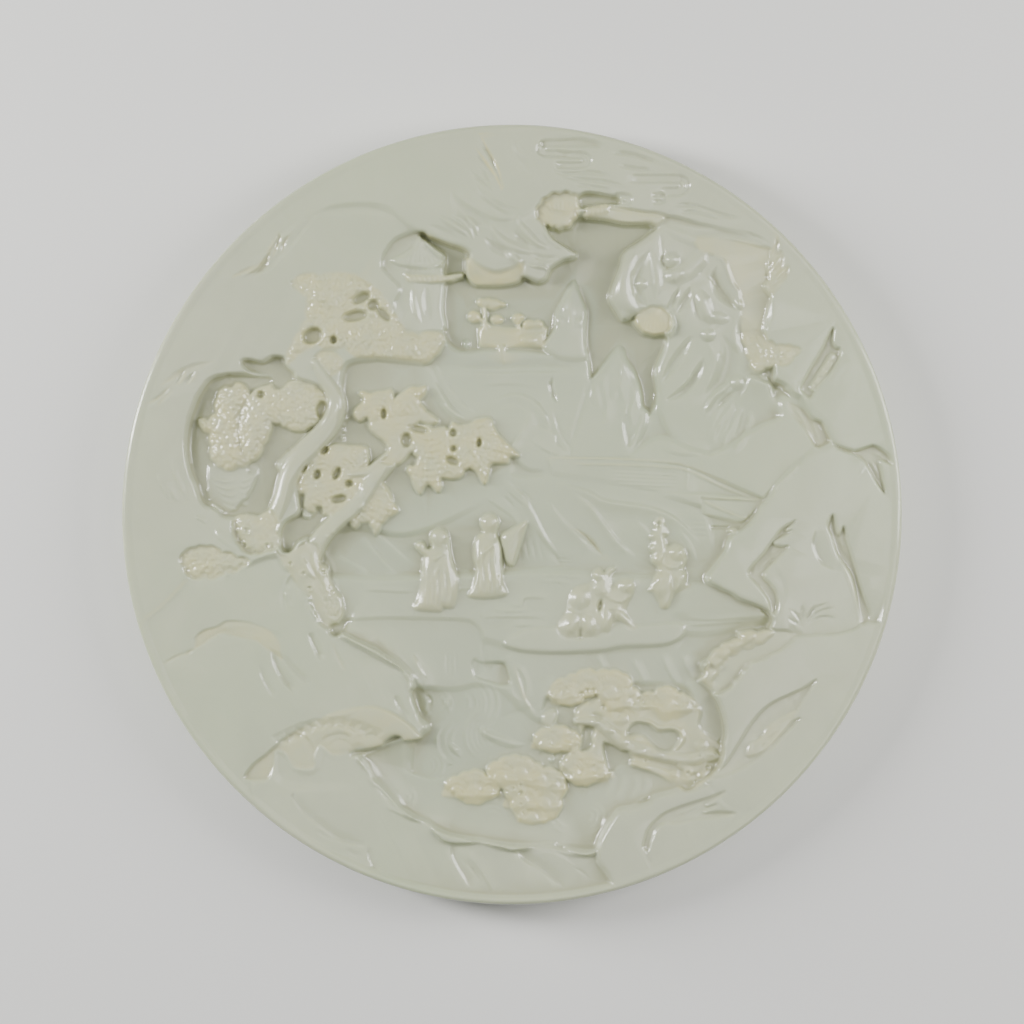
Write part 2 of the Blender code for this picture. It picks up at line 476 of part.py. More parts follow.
def carve_cave_rock(c):
    """The rounded, water-worn rock on the upper right, with its hollows."""
    c.lay([(150, 292), (160, 298), (190, 290), (232, 280), (262, 268), (266, 250), (262, 222), (260, 200),
           (254, 182), (262, 150), (262, 128), (268, 110), (262, 90), (232, 62), (190, 60), (160, 76), (148, 98), (146, 122), (144, 142),
           (148, 156), (156, 174), (163, 190), (154, 204), (124, 200), (112, 195), (105, 204), (99, 215),
           (100, 226), (108, 247), (113, 263), (131, 276)],
          ramp((190, 250), (215, 70), 0.80, 0.46), wall=5, crown=0.10, reach=8,
          fade=ramp((232, 292), (178, 262), 0.0, 1.0))
    # the rounded left end with its curl
    c.stroke([(122, 262), (113, 246), (110, 228), (114, 211), (126, 200)], 18, 0.11, taper=0.25)
    c.stroke([(134, 262), (125, 248), (120, 234), (123, 218), (131, 206)], 12, -0.08, taper=0.25)
    c.boss(128, 229, 6, 5, 0.07)
    c.boss(126, 247, 5, 6, 0.05)
    c.stroke([(136, 266), (139, 252), (141, 238), (137, 222), (132, 208)], 10, 0.06)
    c.stroke([(146, 262), (147, 246), (147, 228), (143, 210)], 8, -0.07)
    c.stroke([(142, 280), (150, 268), (152, 252), (152, 238)], 9, 0.06)
    c.stroke([(148, 288), (160, 280), (176, 274), (190, 266)], 12, 0.05)
    # two knobs at the head of a fold
    c.boss(160, 254, 7, 6.5, 0.13)
    c.stroke([(152, 262), (154, 252), (162, 250), (168, 256), (166, 264)], 5, -0.08, taper=0.2)
    c.stroke([(190, 262), (182, 254), (172, 246), (162, 238), (156, 234)], 18, 0.08, taper=0.15)
    c.boss(161, 240, 10, 8, 0.12, turn=25)
    c.stroke([(168, 270), (182, 266), (194, 258), (200, 246)], 8, -0.06)
    # leaf-shaped cuts under them
    for line, width in (([(178, 230), (172, 216), (164, 200)], 9), ([(168, 226), (162, 214), (156, 204)], 7),
                        ([(156, 228), (152, 218), (151, 206)], 5)):
        c.stroke(line, width, -0.09)
        c.stroke([(u + width * 0.55, v) for u, v in line], 3, 0.04)
    # a dome of leaves at the lower edge
    c.lay(lobed([(123, 193), (128, 186), (137, 181), (148, 180), (157, 184), (160, 193), (156, 203), (146, 208),
                 (134, 206), (126, 201)], 0.12), 0.70, wall=3, crown=0.06, reach=8, straight=True)
    fan(c, 142, 210, 28, 215, 325, 10, -0.03, 3)
    c.stroke([(124, 194), (134, 184), (150, 183), (158, 192)], 3, 0.05)
    # a smooth hollow behind a rim
    c.lay([(186, 266), (186, 277), (209, 276), (231, 273), (247, 269), (260, 266), (258, 258), (255, 250),
           (257, 234), (252, 228), (259, 219), (256, 207), (252, 191), (247, 180), (231, 183), (229, 207),
           (228, 222), (220, 233), (215, 247), (212, 256), (200, 260)],
          ramp((225, 274), (238, 205), 0.90, 0.72), wall=4)
    c.stroke([(200, 258), (212, 254), (216, 244), (222, 230), (231, 220)], 5, 0.07)
    c.stroke([(206, 250), (203, 238), (206, 226), (216, 214), (229, 204)], 9, -0.11)
    c.stroke([(198, 246), (196, 230), (204, 214), (220, 202), (230, 194)], 8, 0.05)
    c.boss(227, 210, 5.5, 6, 0.09)
    c.stroke([(230, 200), (229, 184), (234, 166), (242, 146)], 7, -0.09)
    c.stroke([(224, 196), (223, 178), (228, 160)], 8, 0.05)
    # a drip with a ball at its end
    c.stroke([(187, 226), (190, 214), (194, 202), (201, 190)], 14, 0.11, taper=0.3)
    c.stroke([(182, 220), (184, 206), (190, 192)], 7, -0.08)
    c.stroke([(206, 204), (212, 200), (216, 192)], 8, -0.07)
    c.stroke([(204, 190), (212, 184), (216, 176)], 5, -0.05)
    c.boss(197, 179, 6.5, 6, 0.11)
    c.stroke([(205, 184), (203, 176), (198, 173)], 4, -0.06)
    # long leaf-shaped hollows on the slope
    c.stroke([(181, 180), (170, 164), (160, 148), (150, 132)], 12, -0.08)
    c.stroke([(186, 178), (176, 162), (164, 146), (154, 132)], 4, 0.06)
    c.stroke([(174, 178), (162, 162), (152, 146)], 4, 0.05)
    c.stroke([(193, 158), (184, 140), (172, 124), (154, 114)], 12, -0.08)
    c.stroke([(198, 156), (190, 138), (178, 122), (160, 112)], 4, 0.06)
    c.stroke([(168, 136), (160, 126), (154, 118)], 4, 0.05)
    c.stroke([(210, 178), (218, 160), (214, 142), (204, 126), (193, 110)], 18, -0.06)
    c.stroke([(202, 176), (208, 158), (203, 140), (194, 124)], 9, 0.05)
    # the lower tuft and its knob
    c.boss(226.5, 132.5, 8, 8, 0.12)
    c.stroke([(218, 140), (216, 130), (206, 122), (198, 112), (194, 102)], 10, 0.09)
    c.stroke([(226, 124), (216, 118), (206, 106)], 6, -0.07)
    c.stroke([(231, 138), (240, 143), (252, 139), (264, 128)], 6, 0.05)
    for line in ([(200, 76), (204, 92), (212, 108)], [(210, 72), (217, 90), (224, 108)], [(222, 74), (229, 92),
                 (232, 108)]):
        c.ledge(line, 0.05, 8, wall=3)


def carve_right_bush_top(c):
    """A flowering bush at the edge of the cave rock, and the spiky tuft above it."""
    bush = lobed([(230, 182), (240, 184), (250, 183), (256, 174), (264, 169), (273, 169), (282, 168), (289, 165),
                  (282, 158), (276, 150), (264, 150), (254, 146), (244, 142), (238, 154), (234, 168)], 0.14)
    c.lay(bush, ramp((238, 164), (266, 156), 0.70, 0.93), wall=4, crown=0.03, reach=7, straight=True)
    for i in range(5):
        c.stroke([(244 + i * 8, 176 - i * 3), (250 + i * 6, 164 - i * 2), (252 + i * 4, 152)], 3, 0.05)
    tuft = [(266, 284), (262, 272), (259, 262), (256, 250), (257, 238), (253, 228), (259, 219), (266, 226),
            (271, 233), (276, 240), (276, 249), (271, 246), (272, 256), (269, 264), (266, 262), (267, 272)]
    c.lay(tuft, 0.90, wall=4)
    for line in ([(265, 282), (262, 270), (258, 258)], [(270, 262), (264, 250), (258, 240)], [(276, 248),
                 (268, 240), (260, 230)], [(272, 236), (266, 230), (259, 222)]):
        c.stroke(line, 5, 0.07)
    c.stroke([(256, 262), (258, 250), (256, 238), (258, 226)], 6, -0.08)
    c.stroke([(259, 218), (262, 204), (258, 190), (252, 180)], 10, 0.05)


def carve_right_slope(c):
    """The slope in front of the right plateau, and the bridge with its rails and steps."""
    c.lay([(56, 56), (110, 58), (150, 78), (200, 62), (250, 90), (290, 100), (300, 66), (282, 46), (262, 26),
           (240, 4), (200, 6), (150, 14), (100, 20), (60, 30), (30, 44)], ramp((60, 50), (290, 90), 0.42, 0.66),
          wall=8)
    bridge = [(34, 58), (90, 57.5), (140, 55), (175, 50), (212, 34), (250, 17), (254, 13), (204, 20), (161, 23),
              (110, 26), (60, 30), (40, 40)]
    c.lay(bridge, 0.48, wall=3, crown=0.03, reach=5, straight=True)
    c.stroke([(34, 57), (90, 56.5), (140, 54), (175, 49), (212, 33), (250, 16)], 2.6, 0.06, taper=0.06)
    c.stroke([(60, 51), (110, 50), (150, 48), (178, 44), (214, 27), (246, 15)], 2.6, 0.04, taper=0.06)
    c.stroke([(176, 50), (176, 36), (175, 24)], 2.6, 0.04, taper=0.06)
    c.ledge([(161, 22), (110, 27), (60, 33)], -0.08, 12, wall=3)
    steps = [(190, 17), (218, 15.5), (252, 14.5), (246, 6), (240, -1), (230, -8), (212, -4), (190, 1)]
    c.lay(steps, 0.50, wall=2.6, crown=0.03, reach=5, straight=True)
    c.stroke([(190, 16.5), (218, 15.5), (250, 15)], 2.8, 0.05, taper=0.06)
    c.stroke([(192, 14), (216, 3), (241, -6.5)], 2.8, 0.05, taper=0.06)
    c.stroke([(190, 2), (206, -3), (228, -9)], 2.8, 0.05, taper=0.06)
    c.stroke([(198, -13), (210, -13), (222, -13.5)], 4, -0.07, taper=0.2)
    c.knob(222, -16, 5.5, 3, 0.46, 0.07)
    for line in ([(214, 127), (202, 120), (196, 110), (192, 98)], [(222, 112), (210, 98), (203, 84), (200, 72)],
                 [(226, 106), (220, 90), (214, 78), (212, 64)], [(238, 104), (236, 88), (228, 74), (219, 60)]):
        c.ledge(line, 0.07, 9, wall=2.4)
    c.ledge([(150, 66), (172, 60), (200, 62)], 0.05, 16, wall=5)
    c.ledge([(117, 70), (113, 88), (117, 114)], 0.06, 8)


def carve_hills(c):
    """Rolling ground between the bridge and the figures, with rows of short cuts."""
    c.lay([(-60, -2), (-30, 24), (-12, 44), (10, 38), (40, 40), (90, 34), (150, 20), (190, 4), (200, -20),
           (196, -44), (150, -58), (50, -62), (-60, -60), (-190, -58), (-195, -20), (-150, -14), (-110, -20)],
          ramp((60, 36), (40, -60), 0.44, 0.30), wall=8)
    # one fold of ground over another
    folds = [([(46, -39), (34, -22), (22, 1), (10, 20), (-8, 36)], 0.09, 16),
             ([(-30, 20), (-14, 8), (2, -4), (10, -18)], 0.05, 12),
             ([(190, -30), (176, -14), (160, -1), (136, 8), (95, 14), (78, 23), (42, 34)], 0.10, 18),
             ([(124, -42), (108, -28), (95, -11), (80, 8), (62, 22)], 0.09, 18),
             ([(84, -40), (68, -22), (52, -6), (36, 14)], 0.06, 14),
             ([(150, -40), (142, -22), (126, -6)], 0.05, 12),
             ([(186, -46), (180, -30), (168, -14)], 0.05, 10),
             ([(-116, -60), (-132, -42), (-150, -22)], 0.08, 12),
             ([(-138, -64), (-156, -50), (-176, -40)], 0.06, 10),
             ([(-100, -50), (-116, -36), (-132, -22), (-150, -12)], 0.05, 12)]
    for line, rise, reach in folds:
        c.ledge(line, rise, reach, wall=3)
    for i in range(4):
        c.stroke([(60 + i * 6, -12 - i * 3), (74 + i * 4, -22 - i * 4), (86 + i * 2, -34 - i * 3)], 3, -0.05)
    for i in range(5):
        c.stroke([(24 + i * 4, -14 - i * 5), (30 + i * 4, -28 - i * 4), (36 + i * 4, -44 - i * 3)], 2.6, -0.035)
    for i in range(4):
        c.stroke([(4 + i * 7, -18), (8 + i * 7, -34), (12 + i * 7, -50)], 2.4, -0.03)
    for i in range(4):
        c.stroke([(-12 + i * 5, 22 + i * 3), (-2 + i * 5, 12 + i * 3), (8 + i * 5, 4 + i * 3)], 2.6, -0.035)
    for i in range(5):
        c.stroke([(38 - i * 2, -46 - i * 3.4), (54, -45 - i * 3.4), (66 + i * 2, -47 - i * 3)], 2.4, -0.035)
    for i in range(4):
        c.stroke([(176 + i, -6 - i * 5), (186 + i, -6 - i * 5), (198 + i, -7 - i * 5)], 2.4, -0.03)


def carve_right_plateau(c):
    """The high flat rock on the right with its cut tufts and hollows."""
    outline = [(330, 76), (318, 72), (306, 66), (296, 62), (291, 58), (286, 48), (281, 40), (267, 28), (255, 15),
               (248, 6), (240, -7), (226, -17), (218, -23), (213, -37), (205, -52), (199, -67), (207, -73),
               (219, -79), (228, -85), (246, -91), (256, -96), (261, -105), (259, -115), (285, -121), (275, -131),
               (259, -140), (238, -147), (228, -160), (214, -180), (208, -196), (214, -214), (212, -230),
               (206, -246), (190, -262), (240, -300), (330, -250), (460, -60), (460, 120), (400, 100)]
    edge = [(262, -106), (246, -92), (228, -85), (212, -76), (199, -67), (205, -52), (213, -37), (226, -17),
            (240, -7), (255, 15), (267, 28), (281, 40), (291, 58), (306, 66)]
    c.ledge(edge, 0.18, 56, wall=4, taper=0.04)
    c.lay(outline, 1.0, wall=5, crown=0.04, reach=8)
    # a tall tuft cut into the flat
    c.lay([(327, 27), (336, 16), (343, 5), (346, -4), (348, -18), (350, -49), (353, -91), (354, -108), (347, -105),
           (344, -91), (341, -72), (336, -53), (331, -42), (324, -26), (317, -8), (325, -14), (334, -28), (337, -24),
           (324, 6), (336, -12), (338, -4), (333, 10)], 0.93, wall=3.5)
    for line in ([(347, -105), (344, -90), (341, -72), (336, -53), (331, -42)], [(338, -20), (330, -8), (324, 6)],
                 [(339, -6), (334, 10), (328, 26)]):
        c.ledge(line, 0.05, 8, wall=1.8)
    for line in ([(345, -6), (346, -30), (348, -60)], [(341, -30), (344, -56), (348, -84)]):
        c.stroke(line, 3, -0.03)
    c.ledge([(304, -7), (302, -20), (305, -36), (312, -46), (326, -54)], -0.08, 24, wall=3)
    # a leafy stem at the edge
    c.lay([(282, -8), (263, -18), (247, -30), (240, -42), (236, -53), (240, -63), (249, -72), (256, -83), (259, -95),
           (262, -104), (266, -95), (267, -82), (262, -70), (254, -60), (250, -53), (253, -46), (264, -42), (277, -30),
           (268, -30), (259, -35), (264, -28), (275, -22), (266, -20)], 0.92, wall=3.5)
    c.ledge([(256, -94), (248, -86), (240, -76), (234, -61)], -0.08, 12, wall=2)
    c.ledge([(256, -84), (250, -72), (241, -62), (237, -52)], 0.06, 9, wall=1.8)
    c.stroke([(262, -104), (265, -84), (256, -66), (246, -54)], 4, 0.03)
    c.stroke([(246, -50), (256, -40), (268, -34)], 3, 0.03)
    # the flat's lower edge and its fine grass
    c.ledge([(278, -124), (301, -121), (324, -120), (343, -115), (354, -109), (376, -112)], -0.10, 44, wall=2,
            taper=0.06)
    for line in ([(292, -112), (284, -100), (276, -91)], [(292, -110), (291, -98), (289, -87)],
                 [(293, -110), (299, -98), (303, -88)], [(294, -109), (302, -95), (319, -87)],
                 [(295, -111), (306, -98), (326, -92)], [(295, -112), (308, -103), (326, -104)],
                 [(292, -112), (280, -106), (272, -100)]):
        c.stroke(line, 2.6, -0.04)
    c.ledge([(270, -92), (280, -104), (288, -116)], 0.04, 12, wall=2.4)
    for line in ([(345, 62), (360, 44), (373, 21)], [(350, 61), (366, 50), (378, 39)]):
        c.stroke(line, 4, -0.05)
    c.ledge([(320, 72), (335, 66), (350, 60), (367, 55), (386, 50)], 0.05, 12, wall=2, taper=0.12)
    c.ledge([(337, 82), (348, 80), (360, 73), (375, 60), (386, 52)], 0.05, 12, wall=2)


def carve_right_rim(c):
    """Long leaves cut into the rim above the right plateau."""
    c.ledge([(320, 70), (316, 80), (312, 92), (300, 102), (294, 112), (291, 119), (278, 126), (264, 127), (259, 131),
             (236, 140)], 0.20, 52, wall=3, taper=0.04)
    c.lay([(285, 121), (291, 119), (294, 112), (300, 102), (312, 92), (316, 80), (320, 71), (306, 66), (292, 60),
           (280, 70), (270, 90), (266, 110), (272, 120)], ramp((268, 90), (312, 84), 0.74, 0.88), wall=14)
    c.lay([(276, 111), (283, 111), (293, 105), (301, 96), (310, 92), (314, 84), (318, 73), (305.5, 67), (299, 75),
           (293, 86), (284, 96)], 0.80, wall=3)
    for line in ([(278, 110), (290, 96), (302, 70)], [(284, 110), (296, 98), (308, 74)], [(292, 104), (304, 90),
                 (314, 76)]):
        c.ledge(line, 0.04, 6, wall=1.8)
    c.ledge([(320, 71), (316, 80), (312, 92), (300, 102), (294, 112), (291, 119)], -0.05, 10, wall=2)
    c.lay([(321, 187), (310, 166), (299, 147), (289, 128), (291, 122), (298, 116.5), (302, 120), (305.5, 128),
           (318, 141), (327, 155.5), (328, 166), (324, 167), (321, 173)], 0.94, wall=3.5)
    for line in ([(320, 184), (312, 168), (302, 148), (296, 132)], [(323, 166), (316, 154), (306, 142), (301, 130)],
                 [(326, 160), (318, 148), (308, 136)]):
        c.ledge(line, 0.035, 6, wall=1.8)
    c.ledge([(333, 120), (341, 132), (344, 146), (340, 156)], 0.04, 18, wall=4)
    c.ledge([(240, 139), (259, 131), (264, 127), (278, 126), (290, 121)], 0.06, 12, wall=2.4, taper=0.1)


def carve_niche(c):
    """The oval hollow on the left with its two balls of leaves."""
    c.lay([(-300, 136), (-312, 122), (-320, 104), (-325, 84), (-326, 64), (-323, 46), (-317, 30), (-310, 12),
           (-296, 4), (-286, -2), (-262, -2), (-246, 2), (-236, 20), (-232, 40), (-234, 52), (-215, 70), (-200, 80),
           (-186, 92), (-181, 108), (-190, 126), (-210, 134), (-228, 140), (-250, 140), (-280, 140)],
          ramp((-320, 60), (-220, 60), 0.46, 0.34), wall=6)
    c.ledge([(-306, 128), (-316, 110), (-323, 88), (-325, 64), (-322, 46), (-316, 32)], -0.10, 26, wall=4)
    for line in ([(-341, 56), (-338, 40), (-332, 26), (-325, 14)], [(-355, 40), (-351, 28), (-343, 15)],
                 [(-307, 26), (-304, 18), (-302, 10)], [(-346, 30), (-340, 20), (-336, 12)]):
        c.ledge(line, 0.07, 8)
    # fins on the floor
    floor = [(-305, 44), (-300, 50), (-266, 50), (-256, 44), (-262, 24), (-274, 10), (-288, 0), (-303, 14)]
    c.lay(floor, 0.50, wall=4)
    for i in range(5):
        c.stroke([(-305 + i * 3, 40 - i * 7), (-290 + i * 3, 33 - i * 7), (-276 + i, 35 - i * 6)], 3, 0.05)
        c.stroke([(-276 + i, 36 - i * 6), (-268, 34 - i * 6), (-258 - i * 2, 42 - i * 7)], 3, 0.05)
    for line in ([(-312, 16), (-298, 8), (-287, 0)], [(-302, 12), (-294, 6), (-286, 0)], [(-310, 11), (-298, 4),
                 (-287, -2)]):
        c.stroke(line, 4, 0.12)
    # knobby ball of leaves
    a = lobed([(-290, 128), (-296, 118), (-297, 102), (-305, 95), (-315, 96), (-313, 88), (-303, 81), (-302, 68),
               (-303, 60), (-298, 52), (-291, 47), (-283, 44), (-275, 48), (-266, 50), (-262, 54), (-268, 70),
               (-272, 84), (-270, 100), (-264, 116), (-268, 130), (-280, 133)], 0.16)
    c.lay(a, 0.70, wall=3, crown=0.12, reach=14, straight=True)
    # fine domed ball
    b = lobed([(-274, 96), (-270, 110), (-262, 122), (-246, 130), (-226, 134), (-206, 132), (-190, 124), (-184, 112),
               (-192, 96), (-203, 87), (-214, 83), (-226, 87), (-233, 91), (-241, 92), (-244, 80), (-250, 69),
               (-256, 56), (-264, 53), (-271, 62), (-275, 78)], 0.10)
    c.lay(b, 0.70, wall=3, crown=0.12, reach=16, straight=True)
    c.ledge([(-264, 54), (-271, 68), (-274, 84), (-272, 100), (-266, 114)], -0.05, 12)
    for u, v, ru, rv in ((-251, 121, 3.6, 3.0), (-305.5, 107, 5.5, 8.5), (-190.5, 104.5, 6, 9), (-261, 46, 5, 6)):
        c.hole(u, v, ru, rv, 0.34)
    c.lay([(-271, 150), (-264, 158), (-252, 154), (-246, 146), (-238, 152), (-236, 159), (-228, 156), (-219, 146),
           (-216, 136), (-224, 130), (-238, 128), (-248, 134), (-258, 140)], 0.30, wall=4)


def carve_upper_foliage(c):
    """The pecked cluster of leaves above the tree."""
    main = lobed([(-221, 232), (-208, 241), (-192, 239), (-178, 242), (-163, 241), (-150, 236), (-138, 228),
                  (-128, 218), (-122, 206), (-114, 194), (-106, 184), (-94, 180), (-82, 184), (-68, 180),
                  (-70, 168), (-78, 158), (-90, 150), (-104, 150), (-118, 152), (-136, 156),
                  (-148, 156), (-160, 160), (-168, 168), (-182, 166), (-196, 170), (-206, 166), (-214, 160),
                  (-226, 150), (-220, 172), (-212, 184), (-206, 196), (-206, 208), (-204, 218), (-214, 224)], 0.12)
    c.lay(main, ramp((-230, 230), (-80, 160), 0.86, 0.66), wall=3.5, crown=0.05, reach=8, straight=True)
    parts = [((-192, 220), 22, 14), ((-158, 226), 20, 10), ((-146, 176), 20, 10), ((-104, 168), 20, 12),
             ((-180, 180), 14, 9), ((-140, 206), 12, 8)]
    for (u, v), ru, rv in parts:
        c.boss(u, v, ru, rv, 0.05)
    clump = [(-200, 152), (-193, 163), (-180, 164), (-170, 156), (-172, 144), (-184, 138), (-197, 142)]
    c.lay(clump, 0.74, wall=3.5, crown=0.08, reach=10)
    for line, width in (([(-166, 222), (-156, 216), (-146, 213), (-138, 214)], 8),
                        ([(-176, 196), (-166, 202), (-156, 203), (-146, 198)], 9),
                        ([(-146, 210), (-136, 206), (-126, 196), (-120, 192)], 9)):
        c.stroke(line, width, -0.26, taper=0.2)
    c.lay([(-209, 182), (-200, 188), (-192, 186), (-199, 176), (-204, 169), (-211, 172)], 0.36, wall=4)
    c.hole(-180, 175, 3.4, 3.0, 0.44)
    c.ledge([(-200, 226), (-190, 214), (-176, 208), (-164, 212)], 0.04, 10)
    c.ledge([(-134, 186), (-120, 178), (-102, 176), (-88, 180)], 0.04, 10)


def carve_left_tree(c):
    """The old tree: two limbs, the veined leaves between them and the pierced hollows."""
    c.lay([(-166, 150), (-140, 156), (-110, 154), (-88, 150), (-76, 132), (-90, 110), (-100, 70),
           (-96, 58), (-40, 40), (0, 48), (-20, 20),
           (-60, -4), (-108, -20), (-150, -14), (-190, -14), (-215, 18), (-200, 76), (-176, 96), (-172, 124)],
          0.41, wall=8)
    # veined leaves between the limbs
    leaves = lobed([(-218, 56), (-206, 64), (-196, 68), (-185, 69), (-166, 70), (-146, 68), (-144.5, 62),
                    (-144, 48), (-148, 44), (-140, 40), (-136, 34), (-129, 32), (-119, 12), (-114, 3),
                    (-124, -3), (-131, -10), (-137, -21), (-140, -14), (-144, -8), (-152, -9), (-158, -15),
                    (-164, -7), (-172, -2), (-186, 0), (-198, 2), (-206, 4), (-212, 18), (-216, 36)], 0.08)
    c.lay(leaves, 0.62, wall=3, crown=0.06, reach=8, straight=True)
    for (u, v), ru, rv in (((-190, 56), 20, 12), ((-160, 58), 16, 12), ((-195, 24), 16, 16), ((-160, 18), 18, 14),
                           ((-130, 6), 12, 16)):
        c.boss(u, v, ru, rv, 0.04)
    c.stroke([(-145, 66), (-144, 58), (-144, 48)], 3, 0.05)
    c.stroke([(-132, 34), (-124, 18), (-115, 4)], 3, 0.06)
    for u, v, ru, rv, turn in ((-189, 65, 4.2, 3.8, 0), (-210, 47, 2.8, 6.2, -35), (-195.5, 40, 3.4, 4.2, -20),
                               (-176, 41, 3.4, 6, -30), (-163.5, 31, 3.8, 2.8, 0), (-173.5, 15.5, 7.5, 3.6, 12)):
        c.hole(u, v, ru, rv, 0.24, turn)
    c.lay([(-216, 17), (-207, 15), (-208, -1), (-203, -4), (-198, 5), (-191, 4), (-192, -7), (-199, -16),
           (-209, -20), (-215, -25), (-218, -35), (-223, -39), (-229, -37), (-233, -30), (-233, -22), (-229, -12),
           (-224, 6)], 0.32, wall=3.5)
    # the smooth gap between the upper trunk and the leaves
    c.lay([(-168, 90), (-160, 98), (-150, 94), (-143, 86), (-136, 79), (-129, 74), (-125, 66), (-126, 58),
           (-131, 52), (-138, 47), (-143, 46), (-144, 66), (-150, 70), (-166, 71), (-170, 80)], 0.34, wall=4)
    c.limb([(-198, 152, 4.5), (-188, 136, 6.5), (-178, 120, 8), (-177, 104, 9), (-186, 86, 10), (-203, 68, 11),
            (-217, 52, 10.5), (-224, 32, 9.5), (-225, 12, 9), (-229, -6, 7.5), (-233, -20, 6.5), (-236, -34, 5)],
           0.66, 0.16)
    c.limb([(-200, -52, 6), (-200, -40, 9), (-192, -24, 9), (-177, -8, 8), (-160, 6, 7.5), (-149, 18, 7.5),
            (-141, 32, 8), (-130, 46, 8), (-120, 58, 7.5), (-115, 72, 6), (-113, 84, 4)], 0.62, 0.14)
    c.limb([(-162, 40, 2.2), (-152, 41, 3.2), (-144, 43, 4.5), (-134, 49, 6), (-122, 58, 6)], 0.60, 0.12)
    for line, rise in (([(-237, -20), (-231, 0), (-230, 24), (-224, 46), (-210, 64)], -0.05),
                       ([(-226, -10), (-219, 10), (-219, 32), (-210, 50), (-194, 66)], 0.05),
                       ([(-188, 90), (-182, 104), (-183, 116)], 0.06), ([(-134, 30), (-126, 46), (-118, 58)], 0.05),
                       ([(-186, -24), (-170, -10), (-152, 4)], 0.05)):
        c.ledge(line, rise, 8)
    for u, v in ((-226, 62), (-220, 66), (-169, 90), (-169, 84), (-170, 77), (-184, -22), (-178, -18), (-150, 30),
                 (-168, 96), (-228, -16)):
        c.boss(u, v, 2.6, 2.6, 0.06)
    c.boss(-149, 6, 5, 5, 0.07)


def carve_root(c):
    """The knotted foot of the tree and the root to its left."""
    root = lobed([(-277, -4), (-268, 2), (-258, 3), (-248, 0), (-244, -12), (-238, -24), (-232, -32), (-236, -38),
                  (-248, -40), (-258, -40), (-268, -36), (-277, -24), (-275, -12)], 0.14)
    c.lay(root, 0.74, wall=3.5, crown=0.08, reach=10, straight=True)
    for u, v, r in ((-266, -15, 3.6), (-267, -31, 3), (-256, -37, 3), (-246, -30, 3.2)):
        button(c, u, v, r)
    c.lay([(-286, -8), (-280, -5), (-276, -14), (-277, -26), (-283, -26), (-289, -20)], 0.52, wall=4)
    c.ledge([(-317, -3), (-311, -6), (-307, -9)], 0.07, 8)
    c.ledge([(-297, -14), (-294, -22), (-288, -28), (-276, -36)], 0.10, 10)
    c.lay([(-236, -36), (-230, -42), (-222, -42), (-214, -34), (-204, -26), (-192, -24), (-182, -36), (-174, -52),
           (-168, -72), (-166, -92), (-170, -110), (-178, -116), (-190, -111), (-198, -95), (-201, -84),
           (-206, -79), (-215, -71), (-222, -60), (-230, -47)],
          ramp((-228, -60), (-172, -60), 0.86, 0.62), wall=4, crown=0.04, reach=10)
    c.ledge([(-222, -60), (-230, -47), (-234, -36)], -0.07, 12, wall=2, taper=0.15)
    c.ledge([(-206, -79), (-215, -71), (-222, -60)], -0.06, 10, wall=2, taper=0.15)
    c.ledge([(-190, -111), (-198, -95), (-201, -84)], -0.07, 12, wall=2, taper=0.15)
    for u, v in ((-222.5, -48.7), (-209.2, -58), (-203.9, -73.2), (-186, -54)):
        button(c, u, v, 3.2)
    for line in ([(-196, -44), (-190, -66), (-184, -90)], [(-186, -40), (-180, -62), (-176, -86)]):
        c.ledge(line, 0.05, 8)
    c.ledge([(-226, -98), (-227, -80), (-222, -66)], -0.06, 10)
    c.hole(-176, -116, 5, 5, 0.46, wall=5)


